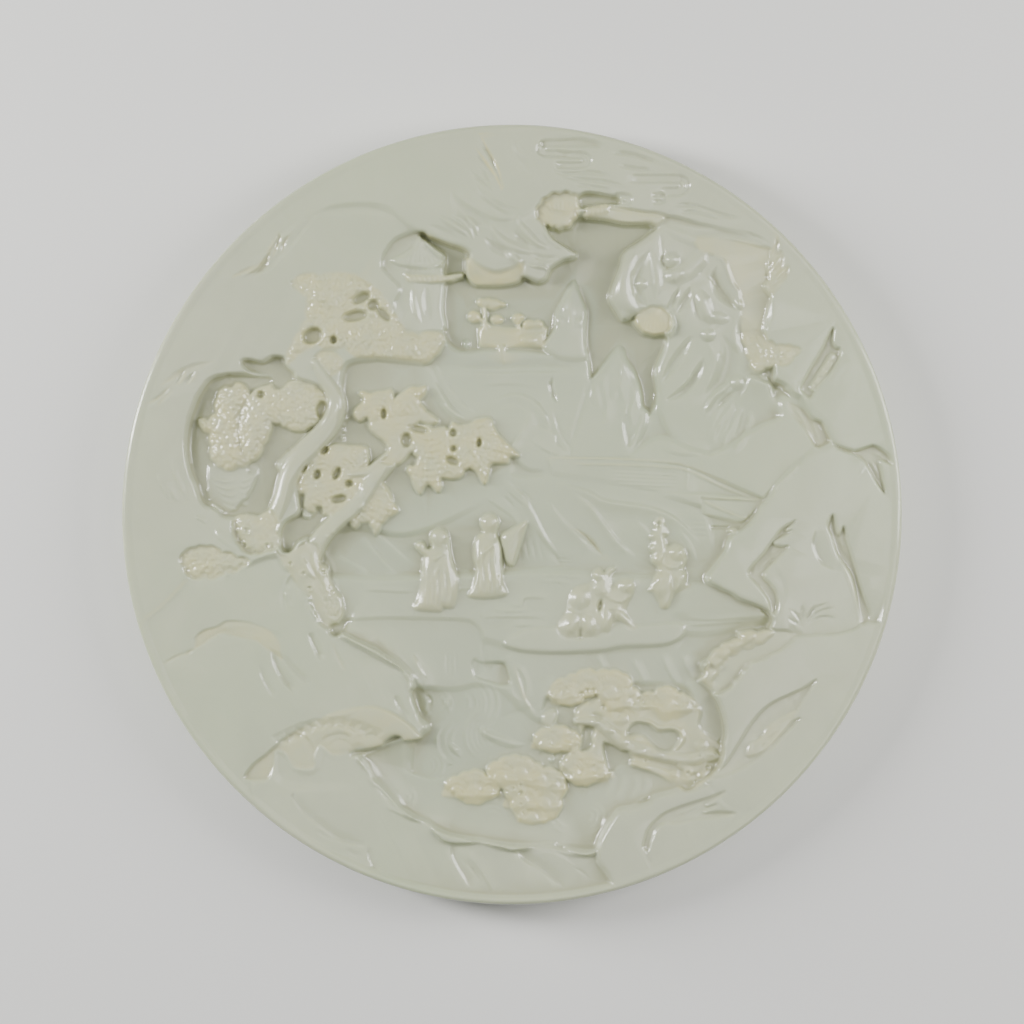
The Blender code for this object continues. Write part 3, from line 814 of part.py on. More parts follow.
def carve_leaf_groups(c):
    """Two groups of broad, pointed leaves that stand in front of the middle distance."""
    stem = [(-142, 96), (-143, 86), (-136, 79), (-129, 74), (-124.5, 67), (-126, 59), (-131, 52), (-114, 50),
            (-104, 60), (-97, 66), (-98, 80), (-94, 92), (-82, 90), (-74, 94), (-86, 104), (-104, 104), (-130, 100)]
    c.lay(stem, 0.62, wall=3, crown=0.03, reach=8)
    one = [(-159, 99), (-158, 106), (-151, 113), (-149.5, 117), (-153.5, 121), (-151, 124.5), (-142, 122),
           (-135.5, 124), (-129, 124.5), (-120.5, 126), (-118, 116), (-114, 106), (-118, 97), (-130, 94),
           (-141, 92), (-146, 97), (-153, 93)]
    two = [(-122, 106), (-118, 116), (-113, 121), (-102, 128), (-94, 128), (-86.5, 129), (-87, 121), (-92, 114),
           (-86.5, 105), (-90, 99), (-104, 98), (-116, 98)]
    three = [(-104, 82), (-98, 90), (-84, 89), (-78, 87), (-66, 88), (-60, 78), (-60, 64), (-58, 52), (-48, 45),
             (-52, 37), (-60, 35), (-71, 36), (-71, 27), (-74.5, 22), (-82, 29), (-87, 28), (-92, 20), (-98, 27),
             (-102, 38), (-105.5, 44), (-103, 49), (-98, 50), (-95, 57), (-99.5, 61), (-98, 70)]
    four = [(-64, 82), (-62, 90), (-59, 93), (-52, 90.5), (-42, 92), (-35.5, 95.5), (-22, 97), (-18, 88.5), (-13, 80),
            (-4.5, 71.5), (8, 59), (-2, 57), (-4, 51), (-20, 50.5), (-23, 42), (-25.5, 31.5), (-29.5, 31.5),
            (-35.5, 42), (-42.5, 46), (-47, 44.5), (-54, 48), (-60, 58), (-64, 70)]
    bases = ((-136, 94), (-116, 98), (-84, 88), (-66, 76))
    for number, (line, (u, v)) in enumerate(zip((one, two, three, four), bases)):
        c.lay(line, 0.64, wall=2.8, crown=0.05, reach=7)
    for line in ([(-136, 94), (-140, 106), (-152, 122)], [(-134, 96), (-132, 110), (-128, 122)],
                 [(-116, 98), (-104, 112), (-90, 126)], [(-84, 90), (-84, 66), (-90, 26)], [(-84, 70), (-96, 48)],
                 [(-82, 62), (-70, 48), (-54, 40)], [(-82, 52), (-76, 30)], [(-66, 78), (-40, 74), (4, 60)],
                 [(-56, 76), (-38, 86), (-24, 94)], [(-46, 72), (-34, 54), (-27, 36)], [(-50, 78), (-56, 90)]):
        c.stroke(line, 3, 0.035, taper=0.2)
    for u, v, ru, rv, turn in ((-129, 101, 3, 4.8, 0), (-93, 85.5, 9, 3.4, -12), (-106, 74.5, 5.4, 7, 0),
                               (-58.5, 66, 3.2, 2.4, 0), (-60, 54, 6.5, 3.4, -20), (-33, 72, 2.6, 4, -10),
                               (-59, 82, 3.6, 3.4, 0), (-100, 54, 4, 5, 0)):
        c.hole(u, v, ru, rv, 0.30, turn)
    c.ledge([(-52, 97), (-60, 104), (-66, 113)], 0.07, 10)


def carve_terraces(c):
    """The flat ground of the figures and the stepped rock faces under it."""
    c.lay([(-196, -62), (-140, -66), (-60, -60), (44, -56), (110, -62), (170, -66), (200, -70), (222, -82),
           (254, -98), (250, -108), (200, -120), (172, -120), (150, -130), (60, -136), (-8, -130), (-40, -124),
           (-120, -120), (-190, -110), (-176, -90)], 0.42, wall=9)
    c.ledge([(44, -57), (-40, -62), (-120, -65), (-194, -62)], 0.04, 14, wall=4)
    for line in ([(-60, -76), (-30, -74), (-6, -78)], [(-150, -76), (-110, -78), (-98, -77)],
                 [(-32, -104), (0, -103), (38, -104)], [(-3, -91), (10, -92), (14, -84), (37, -85)],
                 [(1, -112), (20, -112), (37, -111)], [(-20, -97), (0, -98), (18, -97)]):
        c.ledge(line, 0.05, 9, wall=2)
    for line in ([(23, -57), (40, -55.5), (59, -54)], [(30, -62), (50, -62), (70, -64)],
                 [(26, -68), (44, -68), (60, -70)]):
        c.ledge(line, 0.04, 6, wall=1.8)
    c.lay([(-8, -131), (-3, -124), (8, -118), (19, -114), (46, -112), (80, -110), (127, -111), (165, -109),
           (174, -113), (172, -122), (153, -131), (111, -133), (90, -137), (50, -139), (23, -138.5), (4, -136)],
          0.50, wall=4, crown=0.02, reach=6)
    # the hollow under the ledge and the faces below it
    c.lay([(-194, -108), (-150, -105), (-120, -104), (-53, -105.6), (-38, -110), (-31, -118), (-29, -127),
           (-18, -132), (-8, -134), (20, -142), (60, -142),
           (108, -139), (160, -136), (176, -126), (200, -140), (190, -150), (192, -164), (150, -176), (100, -160),
           (40, -170), (27, -202), (-4, -186), (-40, -178), (-92, -196), (-104, -160), (-150, -128)], 0.35, wall=5)
    c.ledge([(-172, -120), (-134, -141), (-106, -159), (-101, -177), (-97, -197), (-86, -212)], 0.22, 54, wall=4,
            taper=0.04)
    c.lay([(-39, -146), (-30, -149), (-10, -149), (-4, -156), (-2, -170), (-12, -172), (-26, -168), (-38, -162)],
          ramp((-36, -150), (-4, -164), 0.29, 0.18), wall=3)
    c.lay([(-4, -142), (-1, -160), (2, -178), (14, -188), (23, -201), (27, -202), (34, -189), (38, -175), (46, -168),
           (58, -160), (72, -148), (66, -142), (30, -142)], ramp((20, -140), (20, -200), 0.36, 0.34), wall=4)
    c.ledge([(24, -201), (14, -186), (8, -168), (2, -150)], 0.07, 7, wall=1.8)
    c.ledge([(2, -150), (10, -160), (14, -170), (14, -186)], 0.06, 8, wall=1.8)
    c.ledge([(28, -199), (34, -188), (38, -176), (44, -164)], 0.07, 14, wall=2.4)
    c.ledge([(12, -188), (3, -182), (-2, -170)], 0.04, 8, wall=2)
    c.ledge([(-86, -164), (-93, -152), (-99, -140)], 0.07, 9, wall=1.8)
    c.ledge([(-92, -170), (-104, -154), (-118, -142), (-140, -130)], 0.08, 14, wall=2.4)
    c.ledge([(-98, -176), (-112, -160), (-130, -148)], 0.05, 10, wall=2.4)
    for u in (-66, -62, -57):
        c.stroke([(u, -135), (u + 1, -150), (u, -165)], 2.6, -0.025)
    c.ledge([(-30, -128), (-30, -140), (-26, -158)], -0.05, 10, wall=2.4)
    c.lay([(172, -72), (196, -70), (216, -79), (250, -94), (258, -101), (256, -106), (210, -104), (164, -102),
           (166, -86)], 0.48, wall=7, crown=0.04, reach=12)
    for line in ([(165, -105), (205, -106), (256, -102)], [(170, -113), (205, -110), (240, -107)]):
        c.ledge(line, 0.05, 10, wall=2)
    for line in ([(120, -146), (128, -160), (134, -174)], [(150, -140), (156, -156), (166, -172)],
                 [(170, -140), (174, -152), (182, -166)], [(84, -142), (90, -152), (92, -158)]):
        c.ledge(line, 0.05, 10, wall=3)


def carve_water(c):
    """Water at the foot of the rocks, with nested ripples."""
    c.lay([(-100, -176), (-60, -176), (-20, -172), (10, -196), (30, -206), (40, -180), (120, -170), (180, -176),
           (206, -200), (212, -228), (200, -256), (140, -284), (100, -300), (86, -332), (40, -332), (-20, -328),
           (-70, -318), (-100, -300), (-128, -276), (-150, -246), (-128, -232), (-92, -222), (-96, -200)],
          0.28, wall=8)

    def ripples(u, v, radii, first, last, rise, squash=0.8):
        """Nested arcs round a point, each a thin lip that falls away outwards."""
        for r in radii:
            arc = [(u + r * math.cos(a), v + squash * r * math.sin(a))
                   for a in np.radians(np.linspace(last, first, 7))]
            c.ledge(arc, rise, 5, wall=2, taper=0.3)

    shore = [(-98, -226), (-118, -226), (-140, -237), (-156, -243), (-144, -258), (-127, -280), (-104, -302),
             (-84, -311), (-68, -326), (-45, -329), (-15, -332), (3, -336), (40, -331), (66, -340), (84, -338),
             (98, -309), (120, -293), (146, -281), (187, -272), (202, -262)]
    c.ledge(shore, 0.26, 70, wall=2, taper=0.02)
    ripples(-30, -190, (12, 16, 20, 24, 28), -62, 62, 0.045)
    ripples(-66, -190, (14, 20), -60, 60, 0.05)
    ripples(-100, -190, (14, 20), -60, 50, 0.05)
    ripples(-4, -212, (20, 26, 32, 38, 44, 52, 62), 130, 252, 0.05, 0.7)
    ripples(-92, -253, (4, 8, 12, 17, 22), -70, 70, 0.04)
    ripples(-110, -284, (6, 11), -60, 60, 0.04)
    ripples(74, -304, (6, 12, 18), -80, 70, 0.05)
    ripples(66, -296, (24, 30), 150, 250, 0.04)
    ripples(-20, -306, (8, 14, 20), 20, 150, 0.03)
    ripples(40, -322, (8, 14), 20, 150, 0.03)
    for i in range(5):
        c.stroke([(-14 + i * 6, -206 + i * 0.5), (-4 + i * 6, -201 + i * 1.5), (4 + i * 6, -194 + i)], 2.2, -0.03)
    c.boss(-65, -190, 2.4, 6, 0.06)
    c.boss(-24, -222, 10, 4, 0.05, turn=-25)
    c.boss(-58, -236, 10, 4, 0.05, turn=-35)


def carve_right_lower_bush(c):
    """Small scalloped leaves that hang from the plateau, and the edge of the hollow under them."""
    bush = lobed([(285, -120), (264, -116), (247, -117), (232, -116.5), (226, -118), (228, -124), (226, -128),
                  (218, -127), (208, -133), (200, -140), (196, -147), (198, -152), (194, -160), (189, -168),
                  (190, -176), (200, -180), (214, -176), (224, -166), (232, -156), (240, -148), (260, -140),
                  (275, -131)], 0.10)
    c.lay(bush, ramp((200, -160), (280, -122), 0.66, 0.90), wall=3, crown=0.05, reach=8, straight=True)
    for line in ([(246, -118), (240, -126), (230, -132), (222, -134)], [(228, -134), (216, -142), (206, -152),
                 (198, -156)], [(216, -150), (208, -160), (200, -168)]):
        c.ledge(line, -0.05, 8, wall=1.8)
    c.ledge([(285, -121), (275, -131), (259, -140), (238, -147), (230, -158), (218, -176)], 0.06, 14, wall=2.4,
            taper=0.1)
    c.lay([(176, -170), (190, -168), (203, -182), (210, -198), (213, -212), (212, -224), (205, -229), (189, -224),
           (180, -220), (184, -206), (184, -190)], 0.42, wall=6)
    c.ledge([(173, -220), (189, -222), (204, -229)], -0.06, 9, wall=2)
    c.ledge([(204, -229), (190, -223), (180, -221)], -0.04, 10, wall=2)


def carve_lower_pines(c):
    """Old pines that lean over the water, their flat pads of needles grown into one another."""
    mass = [(64, -200), (74, -190), (90, -184), (104, -176), (126, -180), (150, -180), (180, -184), (190, -196),
            (188, -212), (200, -224), (211, -232), (209, -248), (203, -258), (190, -268), (176, -276), (162, -269),
            (144, -258), (126, -252), (118, -240), (108, -252), (96, -263), (80, -268), (60, -262), (52, -250),
            (60, -236), (70, -222)]
    c.lay(mass, 0.47, wall=5)
    pads = [[(38, -177), (42, -169), (53, -164.5), (64, -160), (73, -155.5), (84, -157), (80, -170), (84.5, -180),
             (73, -184.5), (64, -191), (53, -192), (44.5, -188), (38, -183)],
            [(84, -158), (98, -156.5), (111, -159), (119, -164.5), (121, -173), (129, -180), (131, -185.5), (120, -193),
             (109, -199), (100, -198), (93, -191), (87, -182), (78, -173), (73, -164.5)],
            [(95.6, -199), (109, -198), (122, -195.5), (134.5, -198), (129, -204.5), (118, -208), (107, -213),
             (102, -207)],
            [(131, -181), (140, -178), (147, -184.5), (144.5, -193), (134, -196), (126, -190)],
            [(144, -177), (151, -173), (162, -174), (168, -179), (175.5, -181), (183, -188), (182, -194.5), (173, -202),
             (162, -204.5), (151, -206.5), (144.5, -200)],
            [(22, -225.5), (25.5, -219), (35.5, -214.5), (47, -212), (59, -216.5), (68, -222), (69, -229), (62, -234.5),
             (49, -238), (35.5, -238), (25.5, -232)],
            [(53, -246.5), (60, -241), (73, -240), (86.5, -242), (93, -249), (96.5, -262), (86.5, -264.5), (80, -271),
             (71, -273), (60, -269), (53, -260), (49, -251)],
            [(-68, -273), (-64.5, -266.5), (-54.5, -263), (-43, -258), (-32, -257), (-25.5, -263), (-12, -270),
             (-14.5, -281), (-25.5, -288), (-41, -291), (-50, -288), (-56.5, -280)],
            [(-25.5, -257.5), (-23, -252), (-14.5, -248), (-3.5, -243), (10, -243), (23, -249), (32, -254.5),
             (46, -258), (54.5, -270), (50, -285.5), (48, -299), (36.5, -308), (28, -310), (10, -308), (3, -301),
             (-1, -288), (-8, -276.5)]]
    levels = (0.48, 0.52, 0.50, 0.48, 0.52, 0.49, 0.50, 0.44, 0.48)
    for number, (pad, level) in enumerate(zip(pads, levels)):
        line = smooth_line(pad, True)
        c.lay(pad, level, wall=2.6, crown=0.03, reach=8)
        middle = line.mean(0)
        c.boss(middle[0], middle[1], 22, 14, 0.03)
    c.lay([(33, -199), (43, -197), (45, -206), (38, -214), (30, -208)], 0.46, wall=3, crown=0.04, reach=5)
    # scalloped overlaps inside the pads
    for line in ([(52, -190), (62, -180), (74, -176), (84, -180)], [(100, -197), (108, -186), (120, -180),
                 (130, -182)], [(148, -198), (156, -190), (168, -186), (180, -190)], [(30, -230), (42, -224),
                 (56, -226), (66, -230)], [(60, -262), (70, -254), (84, -252), (94, -256)],
                 [(-56, -276), (-44, -270), (-30, -270), (-18, -276)], [(-10, -266), (2, -258), (18, -258), (30, -264)],
                 [(4, -290), (18, -284), (34, -284), (48, -290)], [(12, -303), (24, -298), (38, -300)]):
        c.ledge(line, 0.03, 8, wall=1.8)
    carve_pine_trunks(c)
    carve_pine_holes(c)


def carve_pine_trunks(c):
    """The leaning trunks, the knotted foot they grow from and the rock under it."""
    c.limb([(66, -208, 3), (78, -208, 4.5), (90, -212, 5.5), (103, -222, 6), (118, -233, 6.5), (136, -238, 6.5),
            (156, -243, 6), (176, -246, 6), (196, -243, 6), (207, -243, 4)], 0.50, 0.12)
    c.limb([(112, -222, 3), (118, -214, 3.2), (126, -208, 3), (138, -209, 2.6), (148, -214, 2.4), (160, -214, 2.4),
            (169, -218, 2.6), (171, -226, 3), (164, -234, 3.4)], 0.49, 0.06)
    c.limb([(122, -250, 3), (144, -256, 4), (162, -264, 5), (174, -270, 6), (186, -266, 6), (196, -256, 6)],
           0.47, 0.08)
    c.limb([(170, -252, 4), (182, -256, 5), (192, -250, 5)], 0.50, 0.06)
    for line, rise in (([(100, -216), (120, -228), (150, -236), (186, -240)], 0.04),
                       ([(186, -246), (150, -243), (122, -236), (98, -222)], 0.04),
                       ([(173, -276), (162, -269), (144, -258), (120, -251)], 0.06),
                       ([(206, -250), (196, -262), (184, -271), (173, -276)], -0.04)):
        c.ledge(line, rise, 7, wall=1.8)
    for u, v, r in ((177, -259, 3.6), (196, -254, 3.4), (189, -241, 3), (204, -241, 2.6), (184, -268, 2.6),
                    (166, -250, 2.4), (134, -248, 2.4), (152, -232, 2.2)):
        button(c, u, v, r)
    for line in ([(100, -262), (98, -272), (92, -284)], [(112, -262), (110, -274), (104, -286)],
                 [(122, -262), (124, -274), (118, -286)], [(132, -264), (134, -272), (130, -282)]):
        c.ledge(line, 0.045, 10, wall=4)
    c.ledge([(162, -282), (140, -281), (118, -288)], 0.04, 12, wall=3)


def carve_pine_holes(c):
    """The pierced places between the pines and the small knots on the pads."""
    for line in ([(72, -214), (82, -214), (83, -218), (81, -224), (81, -231), (76, -237), (68, -237), (70, -229)],
                 [(92, -230), (102, -232), (111, -237), (118, -239), (119, -249), (109, -252), (103, -258),
                  (97, -257), (94, -247), (92, -238)]):
        c.lay(line, 0.28, wall=3)
    c.lay([(116, -216), (124, -209), (138, -211), (147, -218), (162, -217), (169, -222), (167, -229), (158, -238),
           (147, -236), (140, -230), (131, -222), (118, -222)], 0.36, wall=4)
    for u, v, ru, rv, turn in ((80, -187, 4.4, 4.2, 0), (92, -193, 2.2, 2.2, 0), (87, -203, 6.4, 3, -20),
                               (51, -258, 9, 2.8, -28), (70, -180, 1.8, 1.8, 0), (76, -177, 1.8, 1.8, 0),
                               (82, -177, 1.8, 1.8, 0)):
        c.hole(u, v, ru, rv, 0.40, turn)
    for u, v, r in ((-5.5, -278, 2.6), (1, -275.5, 2.6), (9, -272, 2.6), (9, -280, 4), (9, -291, 2.4), (11, -300, 2.4),
                    (43, -243, 2.4), (51, -242, 2.4), (58, -236, 2.4)):
        button(c, u, v, r)
    c.boss(40, -247, 4, 3, 0.08)


def carve_left_foreground(c):
    """The high smooth rock of the lower left, its bands of leaves and the rolling shore."""
    c.lay([(-420, -130), (-373, -111), (-366, -103), (-354, -94), (-341, -82), (-332, -72), (-323, -64), (-308, -63),
           (-290, -60), (-270, -53), (-255, -46), (-240, -42), (-222, -46), (-204, -60), (-192, -84), (-184, -106),
           (-172, -120), (-160, -128), (-134, -142), (-104, -161), (-101, -177), (-97, -197), (-86, -210),
           (-86, -217), (-99, -226), (-118, -224), (-140, -236), (-160, -240), (-144, -258), (-140, -267),
           (-127, -280), (-113, -296), (-100, -304), (-84, -310), (-75, -319), (-68, -326), (-58, -329),
           (-45, -328.5), (-32, -326.5), (-15, -332), (3, -336), (20, -333), (40, -331), (52, -337), (70, -341),
           (80, -340), (86, -335), (89, -324), (98, -309), (107, -296), (120, -293), (136, -288), (146, -281),
           (170, -275.5), (187, -272), (202, -264), (240, -300), (200, -420), (-200, -420)],
          ramp((-260, -200), (-120, -140), 0.93, 0.74), wall=8, crown=0.03, reach=10)
    c.lay([(86, -335), (89, -324), (98, -309), (107, -296), (120, -293), (136, -288), (146, -281), (170, -275.5),
           (187, -272), (202, -264), (240, -240), (420, -180), (360, -420), (160, -440), (112, -400), (99, -368),
           (93, -357), (86, -347)], 1.0, wall=7, crown=0.03, reach=10)
    c.ledge([(-323, -64), (-332, -72), (-341, -82), (-354, -94), (-366, -103), (-373, -111)], 0.05, 14, wall=1.8,
            taper=0.12)
    c.ledge([(-237, -37), (-257, -43), (-279, -54), (-292, -65)], 0.05, 12, wall=2)
    bush = lobed([(-332, -44), (-328, -38), (-317, -33), (-306, -32), (-294, -34), (-290, -38), (-274, -43),
                  (-262, -46), (-270, -53), (-286, -58), (-292, -61), (-308, -63), (-323, -62), (-328, -52)], 0.16)
    c.lay(bush, 0.95, wall=3, crown=0.05, reach=8, straight=True)
    c.ledge([(-276, -50), (-290, -48), (-304, -50), (-320, -56)], 0.04, 8, wall=1.8)
    # the arched band of leaves
    band = [(-348, -149), (-334, -141), (-323, -139), (-317, -132), (-316, -123), (-308, -116), (-294, -112),
            (-286, -107), (-270, -107), (-257, -110), (-243, -116), (-234, -126), (-232, -137), (-230, -146),
            (-239, -139), (-246, -134), (-257, -126), (-279, -121), (-292, -119), (-306, -128), (-317, -134)]
    c.lay(band, 0.96, wall=2.4, crown=0.03, reach=6)
    arcs = [([(-241, -137), (-237, -152), (-228, -168), (-217, -179)], 0.07, 13),
            ([(-254, -151), (-248, -168), (-239, -183)], 0.04, 10),
            ([(-234, -141), (-221, -154), (-203, -172)], 0.05, 10),
            ([(-204, -119), (-199, -132), (-192, -146)], 0.07, 11),
            ([(-201, -86), (-197, -99), (-191, -108)], 0.06, 10),
            ([(-222, -61), (-226, -74), (-224, -92)], 0.06, 11),
            ([(-202, -81), (-201, -92), (-190, -109)], 0.05, 9),
            ([(-170, -122), (-160, -124), (-148, -128)], 0.04, 10),
            ([(-142, -127), (-135, -132), (-127, -143), (-121, -150), (-112, -158), (-104, -161)], 0.06, 12),
            ([(-104, -161), (-102, -170), (-100, -182), (-97, -192), (-92, -203), (-85, -212)], 0.07, 11),
            ([(-118, -182), (-115, -191), (-108, -201), (-104, -206)], 0.06, 9),
            ([(-88, -183), (-82, -187), (-82, -194), (-84, -200)], 0.05, 7)]
    for line, rise, reach in arcs:
        c.ledge(line, -rise, reach, wall=1.8, taper=0.2)
    c.stroke([(-180, -128), (-174, -144), (-166, -158)], 4, -0.04)
    for line in ([(-168, -120), (-160, -128), (-158, -134)], [(-101, -158), (-92, -172), (-85, -185)],
                 [(-110, -158), (-101, -172), (-95, -182)]):
        c.ledge(line, 0.04, 6, wall=1.6)
    # the lower band of leaves
    leaves = [(-266, -262), (-262, -252), (-252, -241), (-240, -231), (-227, -222), (-216, -213), (-198, -204), (-184, -199),
              (-167, -194), (-149, -193), (-127, -196), (-108, -203), (-96, -214), (-91, -221), (-109, -226),
              (-118, -222), (-126, -226), (-128, -231), (-136, -235), (-147, -235), (-157, -232), (-161, -229),
              (-160, -237), (-171, -240), (-182, -239), (-191, -233), (-196, -238), (-198, -249), (-204, -254),
              (-216, -253), (-222, -249), (-226, -238), (-232, -235.5), (-237, -237), (-239, -252), (-246, -261),
              (-256, -264)]
    c.lay(leaves, ramp((-200, -190), (-205, -240), 0.94, 0.86), wall=3, crown=0.03, reach=8)
    c.ledge([(-160, -222), (-167, -219), (-178, -220), (-189, -223), (-200, -218)], 0.05, 9, wall=1.8)
    c.ledge([(-165, -217), (-170, -211), (-176, -204)], 0.04, 7, wall=1.8)
    c.ledge([(-196, -238), (-206, -226), (-222, -222), (-240, -226)], 0.05, 9, wall=1.8)
    c.ledge([(-128, -231), (-142, -222), (-158, -220)], 0.04, 8, wall=1.8)
    c.lay([(-238, -262), (-226, -252), (-214, -256), (-202, -256), (-194, -244), (-182, -244), (-160, -241),
           (-148, -252), (-150, -264), (-180, -268), (-220, -276)], 0.84, wall=10)
    c.lay([(-237, -237), (-230, -239), (-226, -250), (-235, -252)], 0.76, wall=4)
    # the rolling shore
    for line, rise, reach in (
            ([(-160, -240), (-144, -258), (-140, -267), (-127, -280), (-113, -296)], 0.05, 14),
            ([(-129, -293), (-107, -302), (-87, -309), (-80, -314), (-70, -325), (-60, -329)], 0.05, 12),
            ([(-222, -281), (-209, -298), (-187, -316), (-167, -328), (-144, -333)], -0.07, 16),
            ([(-146, -334), (-142, -347), (-137, -357)], -0.06, 12),
            ([(-196, -316), (-187, -323), (-176, -327)], -0.04, 8), ([(-167, -336), (-158, -341), (-150, -343)], -0.04, 8),
            ([(-61, -329), (-60, -340), (-55, -352), (-47, -365), (-41, -374)], -0.08, 18),
            ([(-30, -327), (-15, -332), (4, -336), (10, -345), (24, -353)], -0.05, 12),
            ([(4, -336), (9, -343), (16, -349), (24, -353), (38, -363), (52, -374)], -0.08, 18),
            ([(-45, -340), (-30, -360), (-18, -380)], 0.04, 14),
            ([(20, -341), (34, -337), (52, -343), (66, -352)], -0.04, 10)):
        c.ledge(line, rise, reach, wall=2, taper=0.18)
    for line in ([(-50, -344), (-42, -352), (-36, -362)], [(-46, -350), (-38, -358), (-30, -370)],
                 [(60, -352), (70, -358), (80, -366)], [(-258, -262), (-262, -272), (-256, -290)]):
        c.stroke(line, 3, -0.03)


def carve_lower_right_grass(c):
    """Long leaves cut into the flat of the lower right."""
    c.lay([(282, -192), (268, -190), (247, -204), (230, -220), (221, -237), (207, -253), (200, -262), (212, -260),
           (233, -253), (251, -241), (270, -225), (289, -206), (291, -202), (280, -207), (268, -216), (274, -206)],
          0.94, wall=3.5)
    for line in ([(233, -248), (233, -234), (247, -220), (262, -206)], [(244, -240), (250, -228), (262, -218)],
                 [(254, -232), (264, -222), (276, -214)], [(218, -250), (226, -238), (236, -224)]):
        c.ledge(line, 0.035, 6, wall=1.8)
    c.lay([(214, -277), (196, -283), (177, -290), (160, -295), (151, -300), (143, -307), (138, -314), (134, -328),
           (132, -344), (136, -350), (141, -336), (143, -322), (147, -310), (154, -305), (167, -309), (186, -304),
           (207, -304), (222, -299), (207, -298), (190, -300), (196, -294), (208, -288), (196, -289)], 0.95, wall=3.5)
    for line in ([(160, -300), (178, -295), (196, -286)], [(166, -304), (184, -299), (200, -292)],
                 [(138, -330), (138, -342), (140, -352)], [(142, -318), (146, -308), (154, -302)]):
        c.ledge(line, 0.035, 6, wall=1.8)
    c.ledge([(202, -264), (187, -272), (170, -275.5), (146, -281), (136, -288), (120, -293), (107, -296)], -0.05, 14,
            wall=2.4, taper=0.1)


def carve_robed_figure(c, outline, folds, head, ground, rise):
    """A standing figure in a long robe: one outline, the lines of its folds and a rounded head."""
    c.lay(outline, ground + rise, wall=2.6, crown=rise * 0.5, reach=9)
    for line in folds:
        c.ledge(line, 0.05, 4.5, wall=1.4)
    hu, hv = head
    c.boss(hu, hv, 9, 10.5, rise * 0.35, turn=12)
    c.boss(hu, hv - 13, 9, 6, -0.04)




def carve_figures(c):
    """Two robed figures under the tree, and a group of three with a fourth on the right."""
    outline = [(-74, -14.4), (-80, -18), (-82, -24), (-80, -30), (-85, -38), (-89, -45), (-91, -60), (-92, -73),
               (-94.5, -84), (-99, -94.5), (-87, -97), (-72, -97.5), (-69, -93.5), (-60, -94), (-56.5, -87),
               (-54.5, -73), (-55.5, -60), (-59, -51), (-62, -38), (-63, -29), (-65, -20), (-69, -15.5)]
    folds = [[(-86, -94), (-85, -74), (-84, -56), (-80, -42)], [(-80, -94), (-80, -76), (-79, -58)],
             [(-75, -94), (-75, -76), (-75, -60), (-70, -46)], [(-68, -90), (-67, -74), (-68, -58), (-67, -44)],
             [(-61, -91), (-60, -76), (-62, -58), (-65, -42)], [(-78, -48), (-72, -42), (-66, -38)]]
    carve_robed_figure(c, outline, folds, (-73, -24), 0.40, 0.22)
    c.knob(-92, -31.5, 4.4, 4.4, 0.56, 0.06)
    c.limb([(-92, -33, 3), (-88, -37, 3.6), (-82, -40, 4)], 0.56, 0.06)
    c.stroke([(-60, -49), (-53, -55.5), (-41, -56.5)], 2.4, 0.05, taper=0.1)
    outline = [(-22, 0), (-29, -3), (-31.5, -9), (-29, -17), (-34.5, -22), (-38, -31), (-38, -45), (-35.5, -53),
               (-37, -64), (-40, -73), (-43.5, -82), (-31, -84.5), (-15.5, -83.5), (-5, -80), (-8, -71), (-9.5, -60),
               (-10, -49), (-11, -33), (-14.5, -23), (-15.5, -16), (-13, -9), (-15.5, -3)]
    folds = [[(-38, -80), (-34, -66), (-34, -50), (-32, -34)], [(-31, -82), (-29, -66), (-30, -48), (-26, -30)],
             [(-23, -82), (-22, -66), (-24, -48), (-20, -32)], [(-15, -80), (-15, -64), (-17, -48), (-16, -32)],
             [(-11, -76), (-12, -60)], [(-30, -42), (-24, -36), (-16, -30)]]
    carve_robed_figure(c, outline, folds, (-22.5, -9), 0.40, 0.22)
    sleeve = [(-11, -22), (-2, -14.5), (7, -10), (15, -6.5), (12.5, -18), (8, -33), (3.5, -46.5), (0, -52), (-5.5, -47),
              (-8, -38)]
    c.lay(sleeve, 0.55, wall=2.4, crown=0.05, reach=6)
    for i in range(5):
        c.ledge([(-5 + i * 3.4, -44 + i * 7), (-3 + i * 3.2, -30 + i * 4.4), (-4 + i * 3.8, -17 + i * 2.4)], 0.03, 3.4,
                wall=1.2)
    carve_group(c)
    carve_bearer(c)


